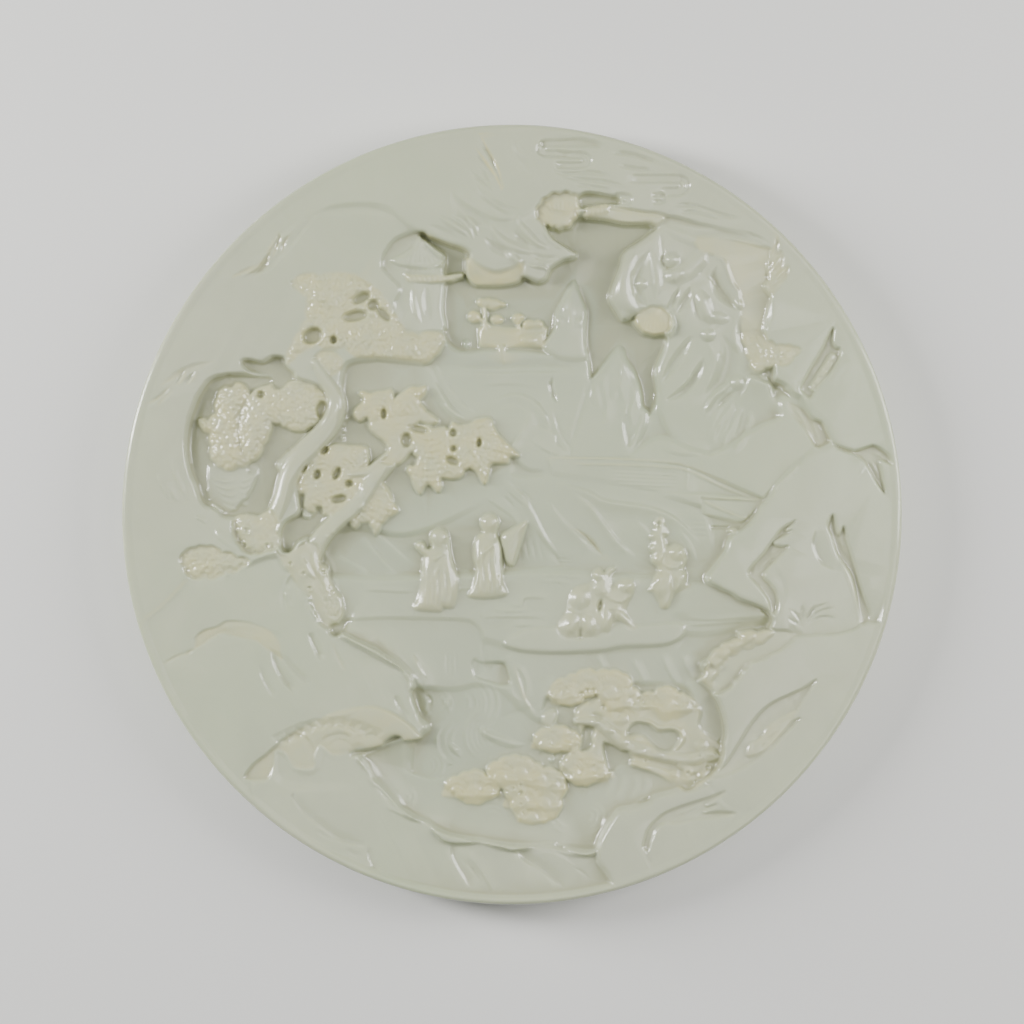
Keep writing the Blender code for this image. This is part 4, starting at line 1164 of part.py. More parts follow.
def carve_group(c):
    """Three figures close together: one bends forward, one wears a pointed hat, one leans back."""
    stooped = [(46, -112), (52, -102), (54, -92), (56, -82), (62, -73), (70, -70), (78, -74), (81, -84), (82, -96),
               (84, -106), (86, -118), (78, -121), (70, -119), (64, -121), (54, -120)]
    middle = [(76, -74), (79, -68), (84, -66), (92, -67), (98, -74), (99, -88), (94, -98), (96, -112), (98, -118),
              (92, -119), (88, -112), (88, -100), (90, -90), (84, -84), (78, -80)]
    right = [(96, -78), (102, -74), (110, -74), (118, -76), (120, -84), (114, -92), (112, -98), (118, -106),
             (126, -114), (120, -116), (110, -110), (102, -106), (96, -100), (93, -90)]
    for line in (middle, right, stooped):
        c.lay(line, 0.60, wall=3, crown=0.16, reach=9)
    c.knob(67, -87, 12, 14, 0.60, 0.12)
    c.knob(61, -111, 7, 8, 0.58, 0.12, turn=-20)
    c.knob(75, -111, 7, 8, 0.58, 0.12, turn=15)
    c.knob(86, -62, 6.4, 6.6, 0.62, 0.14)
    hat = [(80, -58), (83, -54), (91, -54), (97, -56), (103, -53), (100, -62), (94, -64), (86, -62)]
    c.lay(hat, 0.68, wall=2.4, crown=0.08, reach=5)
    c.knob(114, -72, 7.8, 8, 0.62, 0.15)
    c.limb([(84, -76, 3.6), (92, -82, 4), (102, -82, 3.6), (112, -86, 3), (119, -84, 2.6)], 0.62, 0.10)
    c.limb([(104, -92, 5), (110, -102, 5), (122, -113, 4)], 0.56, 0.12)
    c.limb([(92, -96, 4), (93, -106, 4), (95, -116, 4)], 0.54, 0.12)
    c.hole(87.5, -92, 2.4, 7, 0.36, turn=-14)
    for line in ([(56, -92), (66, -98), (78, -94)], [(58, -84), (66, -88), (76, -86)], [(62, -78), (68, -80),
                 (74, -79)], [(96, -86), (102, -90), (108, -92)]):
        c.ledge(line, 0.05, 5, wall=1.6)
    for i in range(6):
        c.boss(84 + i * 3.4, -80 - 3.6 * math.sin(i * 0.55), 1.7, 2.2, 0.04)


def carve_bearer(c):
    """The fourth figure, who holds a leafy staff."""
    body = [(141, -42), (146, -52), (146, -60), (143, -69), (137, -76), (146, -81), (150, -93), (158, -94),
            (163, -84), (173, -78), (183, -74.5), (177, -70), (176, -62), (175, -50), (170, -44), (156, -44)]
    c.lay(body, 0.60, wall=3, crown=0.16, reach=9)
    c.knob(166.5, -39, 8.6, 9.2, 0.62, 0.16)
    c.knob(154, -66, 6.5, 11, 0.60, 0.12, turn=-10)
    c.knob(172, -64, 6.5, 8, 0.60, 0.12, turn=15)
    c.knob(155, -86, 4.5, 8, 0.56, 0.12)
    c.limb([(146, -22, 2.4), (150, -32, 2.8), (149, -44, 4), (147, -52, 4.4)], 0.58, 0.12)
    staff = [(141, -18), (137, -22), (142, -16), (144, -8), (143, -3), (150, -2.5), (153, -8), (151, -14), (157, -18),
             (156, -22), (150, -20), (145, -20)]
    c.lay(staff, 0.58, wall=2.4, crown=0.05, reach=4)
    c.lay([(141, -22), (143, -20), (145, -26), (143, -34), (139, -33), (138, -27)], 0.56, wall=2.4, crown=0.05,
          reach=4)
    c.hole(147.5, -10, 1.5, 3.2, 0.42, wall=1.6)
    c.hole(160, -53, 1.6, 2.4, 0.44, wall=1.6)
    for i in range(8):
        a = math.radians(200 + i * 20)
        c.boss(165 + 10.5 * math.cos(a), -44 + 8 * math.sin(a), 1.9, 2.4, 0.05)
    for line in ([(150, -80), (149, -68), (152, -58)], [(160, -82), (162, -70), (160, -58)], [(166, -76), (168, -66),
                 (166, -56)]):
        c.ledge(line, 0.06, 6, wall=1.8)


STEPS = [carve_base, carve_left_field, carve_pagoda, carve_top_rock, carve_clouds, carve_sky_pine, carve_plateau,
         carve_cave_rock, carve_peaks, carve_right_bush_top, carve_right_slope, carve_hills, carve_terraces,
         carve_water, carve_left_foreground, carve_right_plateau, carve_right_rim, carve_niche,
         carve_upper_foliage, carve_left_tree, carve_root, carve_leaf_groups, carve_right_lower_bush,
         carve_lower_pines, carve_lower_right_grass, carve_figures]

def carve(pitch):
    """All of the carving, from the deepest ground to what stands in front."""
    c = Carving(pitch)
    c.h[:] = 1.0
    for step in STEPS:
        step(c)
    high = np.clip(c.h - 0.94, 0, None)
    c.h = np.where(c.h > 0.94, 0.94 + 0.06 * (1 - np.exp(-high / 0.06)), c.h)
    radius = np.hypot(c.u, c.v) / UNITS
    rim = eased((radius - 0.972) / 0.016)
    c.h = np.clip(c.h * (1 - rim) + rim, 0.0, 1.0)
    return c


def clear_scene():
    for obj in list(bpy.data.objects):
        bpy.data.objects.remove(obj, do_unlink=True)


def collection(name):
    made = bpy.data.collections.new(name)
    bpy.context.scene.collection.children.link(made)
    return made


def jade():
    material = bpy.data.materials.new("pale_jade")
    material.use_nodes = True
    shader = material.node_tree.nodes["Principled BSDF"]
    shader.inputs["Base Color"].default_value = JADE_COLOUR
    shader.inputs["Roughness"].default_value = JADE_ROUGHNESS
    shader.inputs["Metallic"].default_value = 0.0
    return material


def height_at(field, points):
    """The share of the carving's depth at each point, read between the samples of the field."""
    place = (points / (DIAMETER / 2) * UNITS + FIELD_HALF) / field.pitch
    cell = np.clip(np.floor(place).astype(int), 0, len(field.axis) - 2)
    fu, fv = (place - cell).T
    j, i = cell.T
    h = field.h
    low = h[i, j] * (1 - fu) + h[i, j + 1] * fu
    high = h[i + 1, j] * (1 - fu) + h[i + 1, j + 1] * fu
    return low * (1 - fv) + high * fv


def relief_points(radius):
    """A ring of points on the face's edge and evenly spaced ones inside it."""
    angles = np.arange(RIM_SEGMENTS) * 2 * math.pi / RIM_SEGMENTS
    rim = np.column_stack([np.cos(angles), np.sin(angles)]) * radius
    steps = int(radius / RELIEF_SPACING)
    rows = np.arange(-steps, steps + 1) * RELIEF_SPACING
    x, y = np.meshgrid(rows, rows)
    near = np.hypot(x, y) < radius - RELIEF_SPACING
    return np.vstack([rim, np.column_stack([x[near], y[near]])])


def full_face(field, radius, share):
    """An object with every point of the carved face, at a share of the carving's depth."""
    edge = [list(range(RIM_SEGMENTS))]
    found = delaunay_2d_cdt([Vector(p) for p in relief_points(radius)], [], edge, 1, 1e-7)
    plan = np.array([(p.x, p.y) for p in found[0]])
    depth = (1 - height_at(field, plan)) * CARVING_DEPTH * share
    depth[:RIM_SEGMENTS] = 0.0
    data = bpy.data.meshes.new("relief")
    data.from_pydata(np.column_stack([plan, -depth]).tolist(), [], found[2])
    face = bpy.data.objects.new("relief", data)
    bpy.context.scene.collection.objects.link(face)
    inside = face.vertex_groups.new(name="inside")
    inside.add(list(range(RIM_SEGMENTS, len(plan))), 1.0, "REPLACE")
    return face


def carved_face(field):
    """The carved face as a mesh whose triangles are spent where the carving turns.

    It is thinned out at half its depth, where no wall is steep enough to fold, and then brought to its
    full depth.
    """
    radius = DIAMETER / 2 - FRONT_CHAMFER
    face = full_face(field, radius, 0.5)
    fewer = face.modifiers.new("thin_out", "DECIMATE")
    fewer.vertex_group = "inside"
    fewer.ratio = RELIEF_TRIANGLES / len(face.data.polygons)
    seen = face.evaluated_get(bpy.context.evaluated_depsgraph_get())
    mesh = bmesh.new()
    mesh.from_mesh(seen.to_mesh())
    bpy.data.objects.remove(face, do_unlink=True)
    for vert in mesh.verts:
        vert.co.z = THICKNESS + min(vert.co.z / 0.5, 0.0)
    unfold(mesh)
    return mesh


def unfold(mesh):
    """Relaxes the corners of any triangle that the thinning has turned over."""
    for _ in range(30):
        mesh.normal_update()
        turned = [face for face in mesh.faces if face.normal.z < 0.05]
        corners = {vert for face in turned for vert in face.verts if not vert.is_boundary}
        if not corners:
            return
        bmesh.ops.smooth_vert(mesh, verts=list(corners), factor=0.5, use_axis_x=True, use_axis_y=True,
                              use_axis_z=True)


def ring_below(mesh, edges, radius, height):
    """Carries a rim of edges on to a ring of another radius and height, and returns the new rim."""
    made = bmesh.ops.extrude_edge_only(mesh, edges=edges)["geom"]
    for vert in (g for g in made if isinstance(g, bmesh.types.BMVert)):
        share = radius / math.hypot(vert.co.x, vert.co.y)
        vert.co = (vert.co.x * share, vert.co.y * share, height)
    return [g for g in made if isinstance(g, bmesh.types.BMEdge)]


def carved_disc(parts):
    """The panel: the carved face, a plain polished edge and a flat back."""
    field = carve(RELIEF_SPACING / (DIAMETER / 2) * UNITS)
    mesh = carved_face(field)
    rim = [edge for edge in mesh.edges if edge.is_boundary]
    full = DIAMETER / 2
    rim = ring_below(mesh, rim, full, THICKNESS - FRONT_CHAMFER)
    rim = ring_below(mesh, rim, full, BACK_CHAMFER)
    rim = ring_below(mesh, rim, full - BACK_CHAMFER, 0.0)
    bmesh.ops.contextual_create(mesh, geom=rim)
    bmesh.ops.recalc_face_normals(mesh, faces=mesh.faces)
    data = bpy.data.meshes.new("carved_jade_disc")
    mesh.to_mesh(data)
    mesh.free()
    disc = bpy.data.objects.new("carved_jade_disc", data)
    parts.objects.link(disc)
    data.materials.append(jade())
    return disc


def build():
    clear_scene()
    parts = collection("jade_table_screen")
    disc = carved_disc(parts)
    disc.data.shade_smooth()
    disc.data.set_sharp_from_angle(angle=math.radians(35))


build()
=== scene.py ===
"""The looks of the carved jade disc: the full carving, the jade, the light and the camera."""

import math

import bmesh
import bpy
import numpy as np
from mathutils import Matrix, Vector


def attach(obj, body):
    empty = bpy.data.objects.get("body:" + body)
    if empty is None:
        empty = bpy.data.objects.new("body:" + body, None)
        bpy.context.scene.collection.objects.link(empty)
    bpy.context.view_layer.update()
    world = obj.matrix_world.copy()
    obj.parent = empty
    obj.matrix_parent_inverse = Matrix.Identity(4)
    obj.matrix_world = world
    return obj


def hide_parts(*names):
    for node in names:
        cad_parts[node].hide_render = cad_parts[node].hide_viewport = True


# the panel's sizes, in metres, as its solid has them
DIAMETER = 0.250
THICKNESS = 0.021
CARVING_DEPTH = 0.0093
FRONT_CHAMFER = 0.0010
BACK_CHAMFER = 0.0006

# how finely the carving is drawn: the face's mesh, and the height field in carving units
GRID_STEPS = 700
FACE_TRIANGLES = 188000
FINE_PITCH = 1.0
QUICK_PITCH = 2.0
FLATTENED = 0.6        # the share of its depth that the face has while it is thinned out
FACE_SLACK = 0.0005    # how far under the carving a point of the face may lie, in metres
UPRIGHT = 0.03         # a triangle of the face whose normal rises less than this has turned over
UNFOLD_TRIES = 30      # how often the turned ones are relaxed at most
SHARP_ANGLE = 60       # edges sharper than this many degrees stay sharp
ROUND = 0.293          # how far a bevel's middle lies from each of its sides, in shares of its size

# the photograph: a long lens square on to the disc, with places in the picture's own pixels
LENS = 100.0
SENSOR = 36.0
PICTURE_PIXELS = 1024
DISC_PIXELS = 780.6
CENTRE_BELOW_MIDDLE = 2.5
PICTURE_WIDTH = DIAMETER * PICTURE_PIXELS / DISC_PIXELS

# the carving is laid out in shares of the disc's radius, counted in units of 1/390 of it:
# u to the landscape's right and v to its top, both from the disc's centre
UNITS = 390.0          # carving units in the disc's radius
FIELD_HALF = 400.0     # half the side of the square that the field covers
KNEE = 0.94            # heights above this one are eased into the uncut face
ABOVE_KNEE = 0.06      # and this much height is left for them
RIM_START = 0.972      # the share of the radius where the carving begins to run out
RIM_WIDTH = 0.016      # and the share of it that the run takes
NEAR = 6               # how far round a place its hollow is measured, for the painted shade in the hollows, in carving units
FAR = 26
LIMB_WALL = 3.0        # the width of the wall beside a limb
SPAN_STEPS = 6         # the steps of a smooth line from one point to the next
LOBE_STEPS = 5         # and those of a lobed one
TAPER_POWER = 0.7      # how soon a line grows thin towards its ends
BELL_POWER = 1.5       # how soft the section of a stroke is
DOME_POWER = 0.8       # and that of a knob
TINY = 1e-9            # a length or an area that counts as none
THIN = 1e-6            # the least half width that a distance is divided by

# the jade's colours, with two darker ones that are painted shade: one for the deep-cut ground and one for
# the hollows
JADE_LEFT = (0.512, 0.570, 0.388)
JADE_RIGHT = (0.522, 0.550, 0.400)
JADE_CLOUD = (0.580, 0.618, 0.435)
JADE_DEEP_SHADE = (0.415, 0.485, 0.350)
JADE_CREAM = (0.640, 0.612, 0.320)
JADE_HOLLOW_SHADE = (0.392, 0.400, 0.256)

# the scales of the patterns in the jade
TINT_SCALE = 9.0
CLOUD_SCALE = 38.0
POLISH_SCALE = 60.0
CREAM_SCALE = 160.0
GRAIN_SCALE = 420.0

# the jade's polish, its grain and the light inside it, with lengths in metres
SMOOTHEST = 0.17
ROUGHEST = 0.27
JADE_IOR = 1.61
COAT = 0.5
COAT_ROUGHNESS = 0.08
GRAIN_STRENGTH = 0.10
GRAIN_HEIGHT = 0.0004
GLOW = 0.45
GLOW_COLOURS = (1.0, 1.0, 0.75)
GLOW_REACH = 0.0013

# the studio's lights: their places and sizes in metres, their watts and their colours
LEFT_PLACE = (-0.76, 0.20, 0.46)
LEFT_SIZE = (0.16, 0.7)
LEFT_WATTS = 10.9
LEFT_COLOUR = (1.0, 0.995, 0.97)
RIGHT_PLACE = (0.74, 0.16, 0.52)
RIGHT_SIZE = (0.34, 0.8)
RIGHT_WATTS = 8.4
RIGHT_COLOUR = (1.0, 0.99, 0.96)
SHEEN_PLACE = (0.30, 0.0, 0.93)
SHEEN_AIM = (0.30, 0, 0)
SHEEN_SIZE = (0.24, 0.9)
SHEEN_WATTS = 1.2
SHEEN_COLOUR = (1.0, 0.98, 0.88)
TOP_PLACE = (0.0, 0.10, 1.7)
TOP_SIZE = (1.4, 1.4)
TOP_WATTS = 4.2
TOP_COLOUR = (0.98, 0.99, 1.0)

# the room: the strength and colour of its light, and the floor
ROOM = 0.13
ROOM_COLOUR = (0.93, 0.95, 0.97, 1.0)
FLOOR_DARK = (0.80, 0.80, 0.79)
FLOOR_PALE = (0.84, 0.84, 0.83)
FLOOR_ROUGHNESS = 0.9
FLOOR_SIZE = 6.0
FLOOR_GAP = 0.0003


def eased(t):
    """0 to 1 with level ends."""
    t = np.clip(t, 0.0, 1.0)
    return t * t * (3.0 - 2.0 * t)


def smooth_line(points, closed):
    """A Catmull-Rom curve through the points."""
    p = np.array(points, float)
    if closed:
        before, after, last = np.roll(p, 1, 0), np.roll(p, -1, 0), np.roll(p, -2, 0)
        start = p
    else:
        padded = np.vstack([2 * p[0] - p[1], p, 2 * p[-1] - p[-2]])
        before, start, after, last = padded[:-3], padded[1:-2], padded[2:-1], padded[3:]
    t = (np.arange(SPAN_STEPS) / SPAN_STEPS)[None, :, None]
    a, b, c, d = (q[:, None, :] for q in (before, start, after, last))
    square = 2 * a - 5 * b + 4 * c - d
    cube = 3 * b - a - 3 * c + d
    line = 0.5 * (2 * b + (c - a) * t + square * t**2 + cube * t**3)
    line = line.reshape(-1, p.shape[1])
    return line if closed else np.vstack([line, p[-1:]])


def tapered(share, taper):
    """1 along the middle of a line and down to 0 over that share of it at both ends."""
    return np.clip(np.minimum(share, 1 - share) / taper, 0, 1) ** TAPER_POWER


class Carving:
    """Heights in shares of the carving's depth: 0 at the deepest ground and 1 at the uncut face."""

    def __init__(self, pitch):
        """An uncut face, sampled at a pitch in carving units."""
        self.pitch = pitch
        self.fine = pitch < QUICK_PITCH
        steps = int(round(2 * FIELD_HALF / pitch))
        self.axis = np.linspace(-FIELD_HALF, FIELD_HALF, steps + 1)
        self.u, self.v = np.meshgrid(self.axis, self.axis)
        self.h = np.ones_like(self.u)
        self.cream = np.zeros_like(self.u)

    def window(self, line, margin):
        """The part of the grid that lies within margin of the line."""
        lo, hi = line[:, :2].min(0) - margin, line[:, :2].max(0) + margin
        first = np.searchsorted(self.axis, lo)
        last = np.searchsorted(self.axis, hi)
        return slice(first[1], last[1] + 1), slice(first[0], last[0] + 1)

    def depth_inside(self, line, margin):
        """(window, signed distance from the closed line, positive inside)."""
        w = self.window(line, margin)
        u, v = self.u[w], self.v[w]
        nearest = np.full(u.shape, np.inf)
        inside = np.zeros(u.shape, bool)
        for (ax, ay), (bx, by) in zip(line, np.roll(line, -1, 0)):
            du, dv = bx - ax, by - ay
            size = du * du + dv * dv
            if size < TINY:
                continue
            t = np.clip(((u - ax) * du + (v - ay) * dv) / size, 0, 1)
            nearest = np.minimum(nearest, (u - ax - t * du) ** 2 + (v - ay - t * dv) ** 2)
            if ay != by:
                crosses = ((ay > v) != (by > v)) & (u < du * (v - ay) / dv + ax)
                inside ^= crosses
        distance = np.sqrt(nearest)
        return w, np.where(inside, distance, -distance)

    def along(self, line, margin):
        """(window, distance from the open line, 1 left or -1 right of it, share of its length, width)."""
        w = self.window(line, margin)
        u, v = self.u[w], self.v[w]
        nearest = np.full(u.shape, np.inf)
        side = np.zeros(u.shape)
        share = np.zeros(u.shape)
        width = np.zeros(u.shape)
        lengths = np.hypot(*(line[1:, :2] - line[:-1, :2]).T)
        total = lengths.sum()
        walked = 0.0
        for a, b, length in zip(line[:-1], line[1:], lengths):
            if length < TINY:
                continue
            du, dv = b[0] - a[0], b[1] - a[1]
            t = np.clip(((u - a[0]) * du + (v - a[1]) * dv) / length**2, 0, 1)
            d2 = (u - a[0] - t * du) ** 2 + (v - a[1] - t * dv) ** 2
            closer = d2 < nearest
            nearest = np.where(closer, d2, nearest)
            side = np.where(closer, np.sign(du * (v - a[1]) - dv * (u - a[0])), side)
            share = np.where(closer, (walked + t * length) / total, share)
            if line.shape[1] > 2:
                width = np.where(closer, a[2] + t * (b[2] - a[2]), width)
            walked += length
        return w, np.sqrt(nearest), side, share, width

    def oval(self, u, v, ru, rv, turn, margin):
        """(window, x, y) round a turned oval, with x and y along its radii and in shares of them."""
        w = self.window(np.array([[u, v]]), max(ru, rv) + margin)
        du, dv = self.u[w] - u, self.v[w] - v
        a = math.radians(turn)
        x = (du * math.cos(a) + dv * math.sin(a)) / ru
        y = (-du * math.sin(a) + dv * math.cos(a)) / rv
        return w, x, y

    def settle(self, w, target, cream, cover):
        """Brings a window's heights and cream to their targets, as far as the cover says."""
        self.h[w] += (target - self.h[w]) * cover
        self.cream[w] += (cream - self.cream[w]) * cover

    def lay(self, points, level, wall=4.0, crown=0.0, reach=12.0, straight=False, cream=0.0, fade=None):
        """Brings the inside of an outline to a level, with a wall and an edge that rolls off."""
        line = np.array(points, float) if straight else smooth_line(points, True)
        w, d = self.depth_inside(line, wall + 2)
        cover = eased(d / wall + 0.5)
        if fade:
            cover = cover * fade(self.u[w], self.v[w])
        target = level(self.u[w], self.v[w]) if callable(level) else level
        target = target - crown * (1 - np.clip(d / reach, 0, 1)) ** 2
        self.settle(w, target, cream, cover)

    def swell(self, points, rise, reach, cream):
        """Adds a rise inside an outline, from nothing at its edge to its full height at reach."""
        w, d = self.depth_inside(smooth_line(points, True), 2)
        cover = eased(d / reach)
        self.h[w] += rise * cover
        self.cream[w] += (cream - self.cream[w]) * cover

    def ledge(self, points, rise, reach, wall=2.0, taper=0.25, cream=0.0):
        """Lifts the left side of a line, most beside it and not at all at reach: one form over another."""
        w, d, side, share, _ = self.along(smooth_line(points, False), reach + wall)
        thin = tapered(share, taper)
        s = d * side
        lift = eased(s / wall + 0.5) * (1 - np.clip(s / reach, 0, 1)) ** 2
        self.h[w] += rise * lift * thin
        if cream:
            edge = np.clip(1 - np.abs(s) / (wall * 1.2), 0, 1) * thin
            self.cream[w] = np.maximum(self.cream[w], cream * edge)

    def stroke(self, points, width, rise, taper=0.35, cream=0.0):
        """Adds a rounded ridge, or a groove where rise is negative, along a line that thins to its ends."""
        w, d, _, share, _ = self.along(smooth_line(points, False), width + 2)
        thin = tapered(share, taper)
        half = np.maximum(width * 0.5 * thin, THIN)
        bell = np.clip(1 - (d / half) ** 2, 0, 1) ** BELL_POWER
        self.h[w] += rise * bell * thin
        if cream:
            self.cream[w] = np.maximum(self.cream[w], cream * bell)

    def limb(self, points, level, rise, cream=0.0):
        """A round limb, such as a trunk: points hold (u, v, half width), and its back lies at a level."""
        line = smooth_line(points, False)
        w, d, _, _, half = self.along(line, line[:, 2].max() + LIMB_WALL + 2)
        cover = eased((half - d) / LIMB_WALL + 0.5)
        top = level + rise * np.sqrt(np.clip(1 - (d / np.maximum(half, THIN)) ** 2, 0, 1))
        self.settle(w, np.maximum(self.h[w], top), cream, cover)

    def boss(self, u, v, ru, rv, rise, turn=0.0):
        """Adds a rounded bump, or a dimple where rise is negative."""
        w, x, y = self.oval(u, v, ru, rv, turn, 2)
        self.h[w] += rise * np.clip(1 - x * x - y * y, 0, 1)

    def knob(self, u, v, ru, rv, level, rise, wall=2.0, cream=0.0):
        """A round form that stands on a level: a head, a bead or a shoulder."""
        w, x, y = self.oval(u, v, ru, rv, 0.0, wall + 2)
        r = np.sqrt(x * x + y * y)
        cover = eased((1 - r) * min(ru, rv) / wall + 0.5)
        top = level + rise * np.clip(1 - r * r, 0, 1) ** DOME_POWER
        self.settle(w, np.maximum(self.h[w], top), cream, cover)

    def hole(self, u, v, ru, rv, level, turn=0.0, wall=2.5):
        """A drilled pit down to a level."""
        w, x, y = self.oval(u, v, ru, rv, turn, wall + 2)
        inside = (1 - np.sqrt(x * x + y * y)) * min(ru, rv)
        cover = eased(inside / wall + 0.5)
        self.h[w] += (np.minimum(self.h[w], level) - self.h[w]) * cover


def ramp(start, end, low, high):
    """A level that runs from low at start to high at end, and is even beyond them."""
    (au, av), (bu, bv) = start, end
    du, dv = bu - au, bv - av
    size = du * du + dv * dv

    def level(u, v):
        """The level at a place."""
        return low + (high - low) * eased(((u - au) * du + (v - av) * dv) / size)

    return level


def lobed(corners, bulge):
    """A closed outline whose spans between corners bulge outwards, like the edge of foliage."""
    p = np.array(corners, float)
    area = 0.5 * np.sum(p[:, 0] * np.roll(p[:, 1], -1) - np.roll(p[:, 0], -1) * p[:, 1])
    side = 1.0 if area > 0 else -1.0
    line = []
    for a, b in zip(p, np.roll(p, -1, 0)):
        chord = b - a
        out = side * np.array([chord[1], -chord[0]])
        for i in range(LOBE_STEPS):
            t = i / LOBE_STEPS
            line.append(a + chord * t + out * bulge * math.sin(math.pi * t))
    return line


def fan(c, u, v, reach, first, last, step, rise, width, inner=0.25):
    """Needle or vein strokes that spread from a point, between two bearings in degrees."""
    for bearing in np.arange(first, last + 0.1, step):
        a = math.radians(bearing)
        du, dv = math.cos(a) * reach, math.sin(a) * reach
        c.stroke([(u + du * inner, v + dv * inner), (u + du, v + dv)], width, rise, taper=0.2)


def comb(c, line, u, v, lines, rise, ring=0.0):
    """Fine lines that spread from a point over the inside of an outline, crossed by rings."""
    if not c.fine:
        return
    w, d = c.depth_inside(np.array(line, float), 2)
    du, dv = c.u[w] - u, c.v[w] - v
    r = np.hypot(du, dv)
    wave = np.cos(np.arctan2(dv, du) * lines)
    if ring:
        wave = wave + 0.7 * np.cos(r * 2 * math.pi / ring)
    c.h[w] += rise * wave * eased(d / 4) * eased((r - 4) / 10)


def button(c, u, v, r):
    """A small raised ring with a dimple, such as a knot or a pine cone."""
    c.boss(u, v, r * 1.3, r * 1.3, 0.07)
    c.boss(u, v, r * 0.75, r * 0.75, -0.14)


def texture(c, line, rise, cell, seed):
    """Small pecked bumps inside a closed line, on a jittered grid."""
    if not c.fine:
        return
    line = np.array(line, float)
    w, d = c.depth_inside(line, 2)
    rng = np.random.default_rng(seed)
    lo, hi = line.min(0), line.max(0)
    lift = np.zeros_like(d)
    u, v = c.u[w], c.v[w]
    k = int(cell / c.pitch) + 2
    rows = np.arange(lo[1], hi[1], cell * 0.87)
    for r, y in enumerate(rows):
        for x in np.arange(lo[0] + (r % 2) * cell / 2, hi[0], cell):
            cu = x + rng.uniform(-0.25, 0.25) * cell
            cv = y + rng.uniform(-0.25, 0.25) * cell
            i = int((cv - v[0, 0]) / c.pitch)
            j = int((cu - u[0, 0]) / c.pitch)
            if not (0 <= i < d.shape[0] and 0 <= j < d.shape[1]) or d[i, j] < 0:
                continue
            box = (slice(max(i - k, 0), i + k), slice(max(j - k, 0), j + k))
            p = (u[box] - cu) / (cell * 0.55)
            q = (v[box] - cv) / (cell * 0.55)
            lift[box] = np.maximum(lift[box], np.clip(1 - p * p - q * q, 0, 1))
    c.h[w] += rise * (lift - 0.5) * eased(d / 3.0)


def carve_base(c):
    """The broad levels: the dished left, the open scene in the middle and the deep sky."""
    c.lay([(-395, 60), (-372, 180), (-300, 262), (-200, 296), (-120, 300), (-60, 280), (-20, 200),
           (-60, 100), (-130, 20), (-200, -20), (-300, -10), (-370, 0)],
          ramp((-300, 240), (-120, 150), 0.97, 0.66), wall=70)
    c.lay([(-60, 268), (-40, 262), (20, 292), (68, 300), (146, 290), (140, 240), (150, 180), (170, 150),
           (240, 140), (278, 124), (280, 88), (262, 25), (238, -10), (205, -50), (197, -68), (225, -82),
           (258, -100), (262, -125), (232, -140), (195, -143), (188, -165), (200, -185), (211, -225),
           (190, -262), (140, -287), (98, -308), (84, -337), (30, -334), (-30, -326), (-83, -309),
           (-120, -290), (-150, -250), (-170, -232), (-90, -205), (-100, -150), (-165, -120), (-190, -80),
           (-205, -20), (-180, 30), (-150, 100), (-140, 150), (-100, 160), (-66, 178), (-70, 230)], 0.36,
          wall=9)


def carve_sky(c):
    """The deep, even ground of the sky."""
    c.lay([(-66, 268), (-48, 266), (-40, 262), (20, 290), (40, 292), (72, 297), (104, 294), (146, 288),
           (131, 276), (113, 263), (108, 247), (100, 226), (99, 215), (105, 204), (112, 195), (124, 191),
           (134, 181), (154, 180), (155, 172), (148, 156), (144, 142), (146, 122), (142, 108), (136, 100),
           (131, 108), (129, 127), (123, 144), (116, 154), (108, 168), (92, 150), (80, 137), (76, 156),
           (60, 158), (20, 164), (-20, 166), (-50, 164), (-66, 176), (-70, 200), (-68, 232)], 0.13, wall=6)


def carve_left_field(c):
    """Ridges and short grass cuts on the smooth upper left."""
    c.stroke([(-206, 298), (-180, 304), (-150, 307), (-120, 302), (-98, 288)], 14, -0.05)
    c.stroke([(-200, 306), (-165, 313), (-130, 312), (-100, 300)], 12, 0.04)
    c.stroke([(-300, 228), (-262, 246), (-228, 272), (-200, 306)], 16, 0.04)
    c.stroke([(-196, 300), (-222, 274), (-250, 246), (-280, 234)], 14, -0.05)
    for line in ([(-282, 236), (-268, 243), (-254, 250)], [(-262, 240), (-250, 246), (-242, 256)],
                 [(-248, 250), (-242, 262), (-238, 272)], [(-240, 256), (-236, 268), (-232, 281)],
                 [(-256, 246), (-248, 252), (-244, 260)], [(-238, 268), (-232, 274), (-234, 282)],
                 [(-230, 262), (-228, 272), (-222, 280)]):
        c.stroke(line, 5, -0.07, cream=0.5)
    for line in ([(-270, 240), (-256, 246), (-246, 258)], [(-246, 258), (-240, 270), (-234, 280)]):
        c.stroke(line, 4, 0.05, cream=0.6)
    for line in ([(-338, 130), (-332, 137), (-328, 145)], [(-328, 130), (-322, 137), (-317, 144)]):
        c.stroke(line, 4.5, -0.09)
        c.stroke([(u + 3, v - 1) for u, v in line], 3.5, 0.05, cream=0.4)
    for line in ([(-366, 110), (-352, 118), (-340, 130)], [(-356, 108), (-346, 118), (-338, 124)]):
        c.stroke(line, 4.5, -0.06, cream=0.4)
    c.stroke([(-352, 128), (-336, 139), (-320, 147), (-298, 153)], 9, -0.06, cream=0.3)
    c.stroke([(-366, 104), (-345, 116), (-322, 124), (-296, 132)], 14, 0.03)


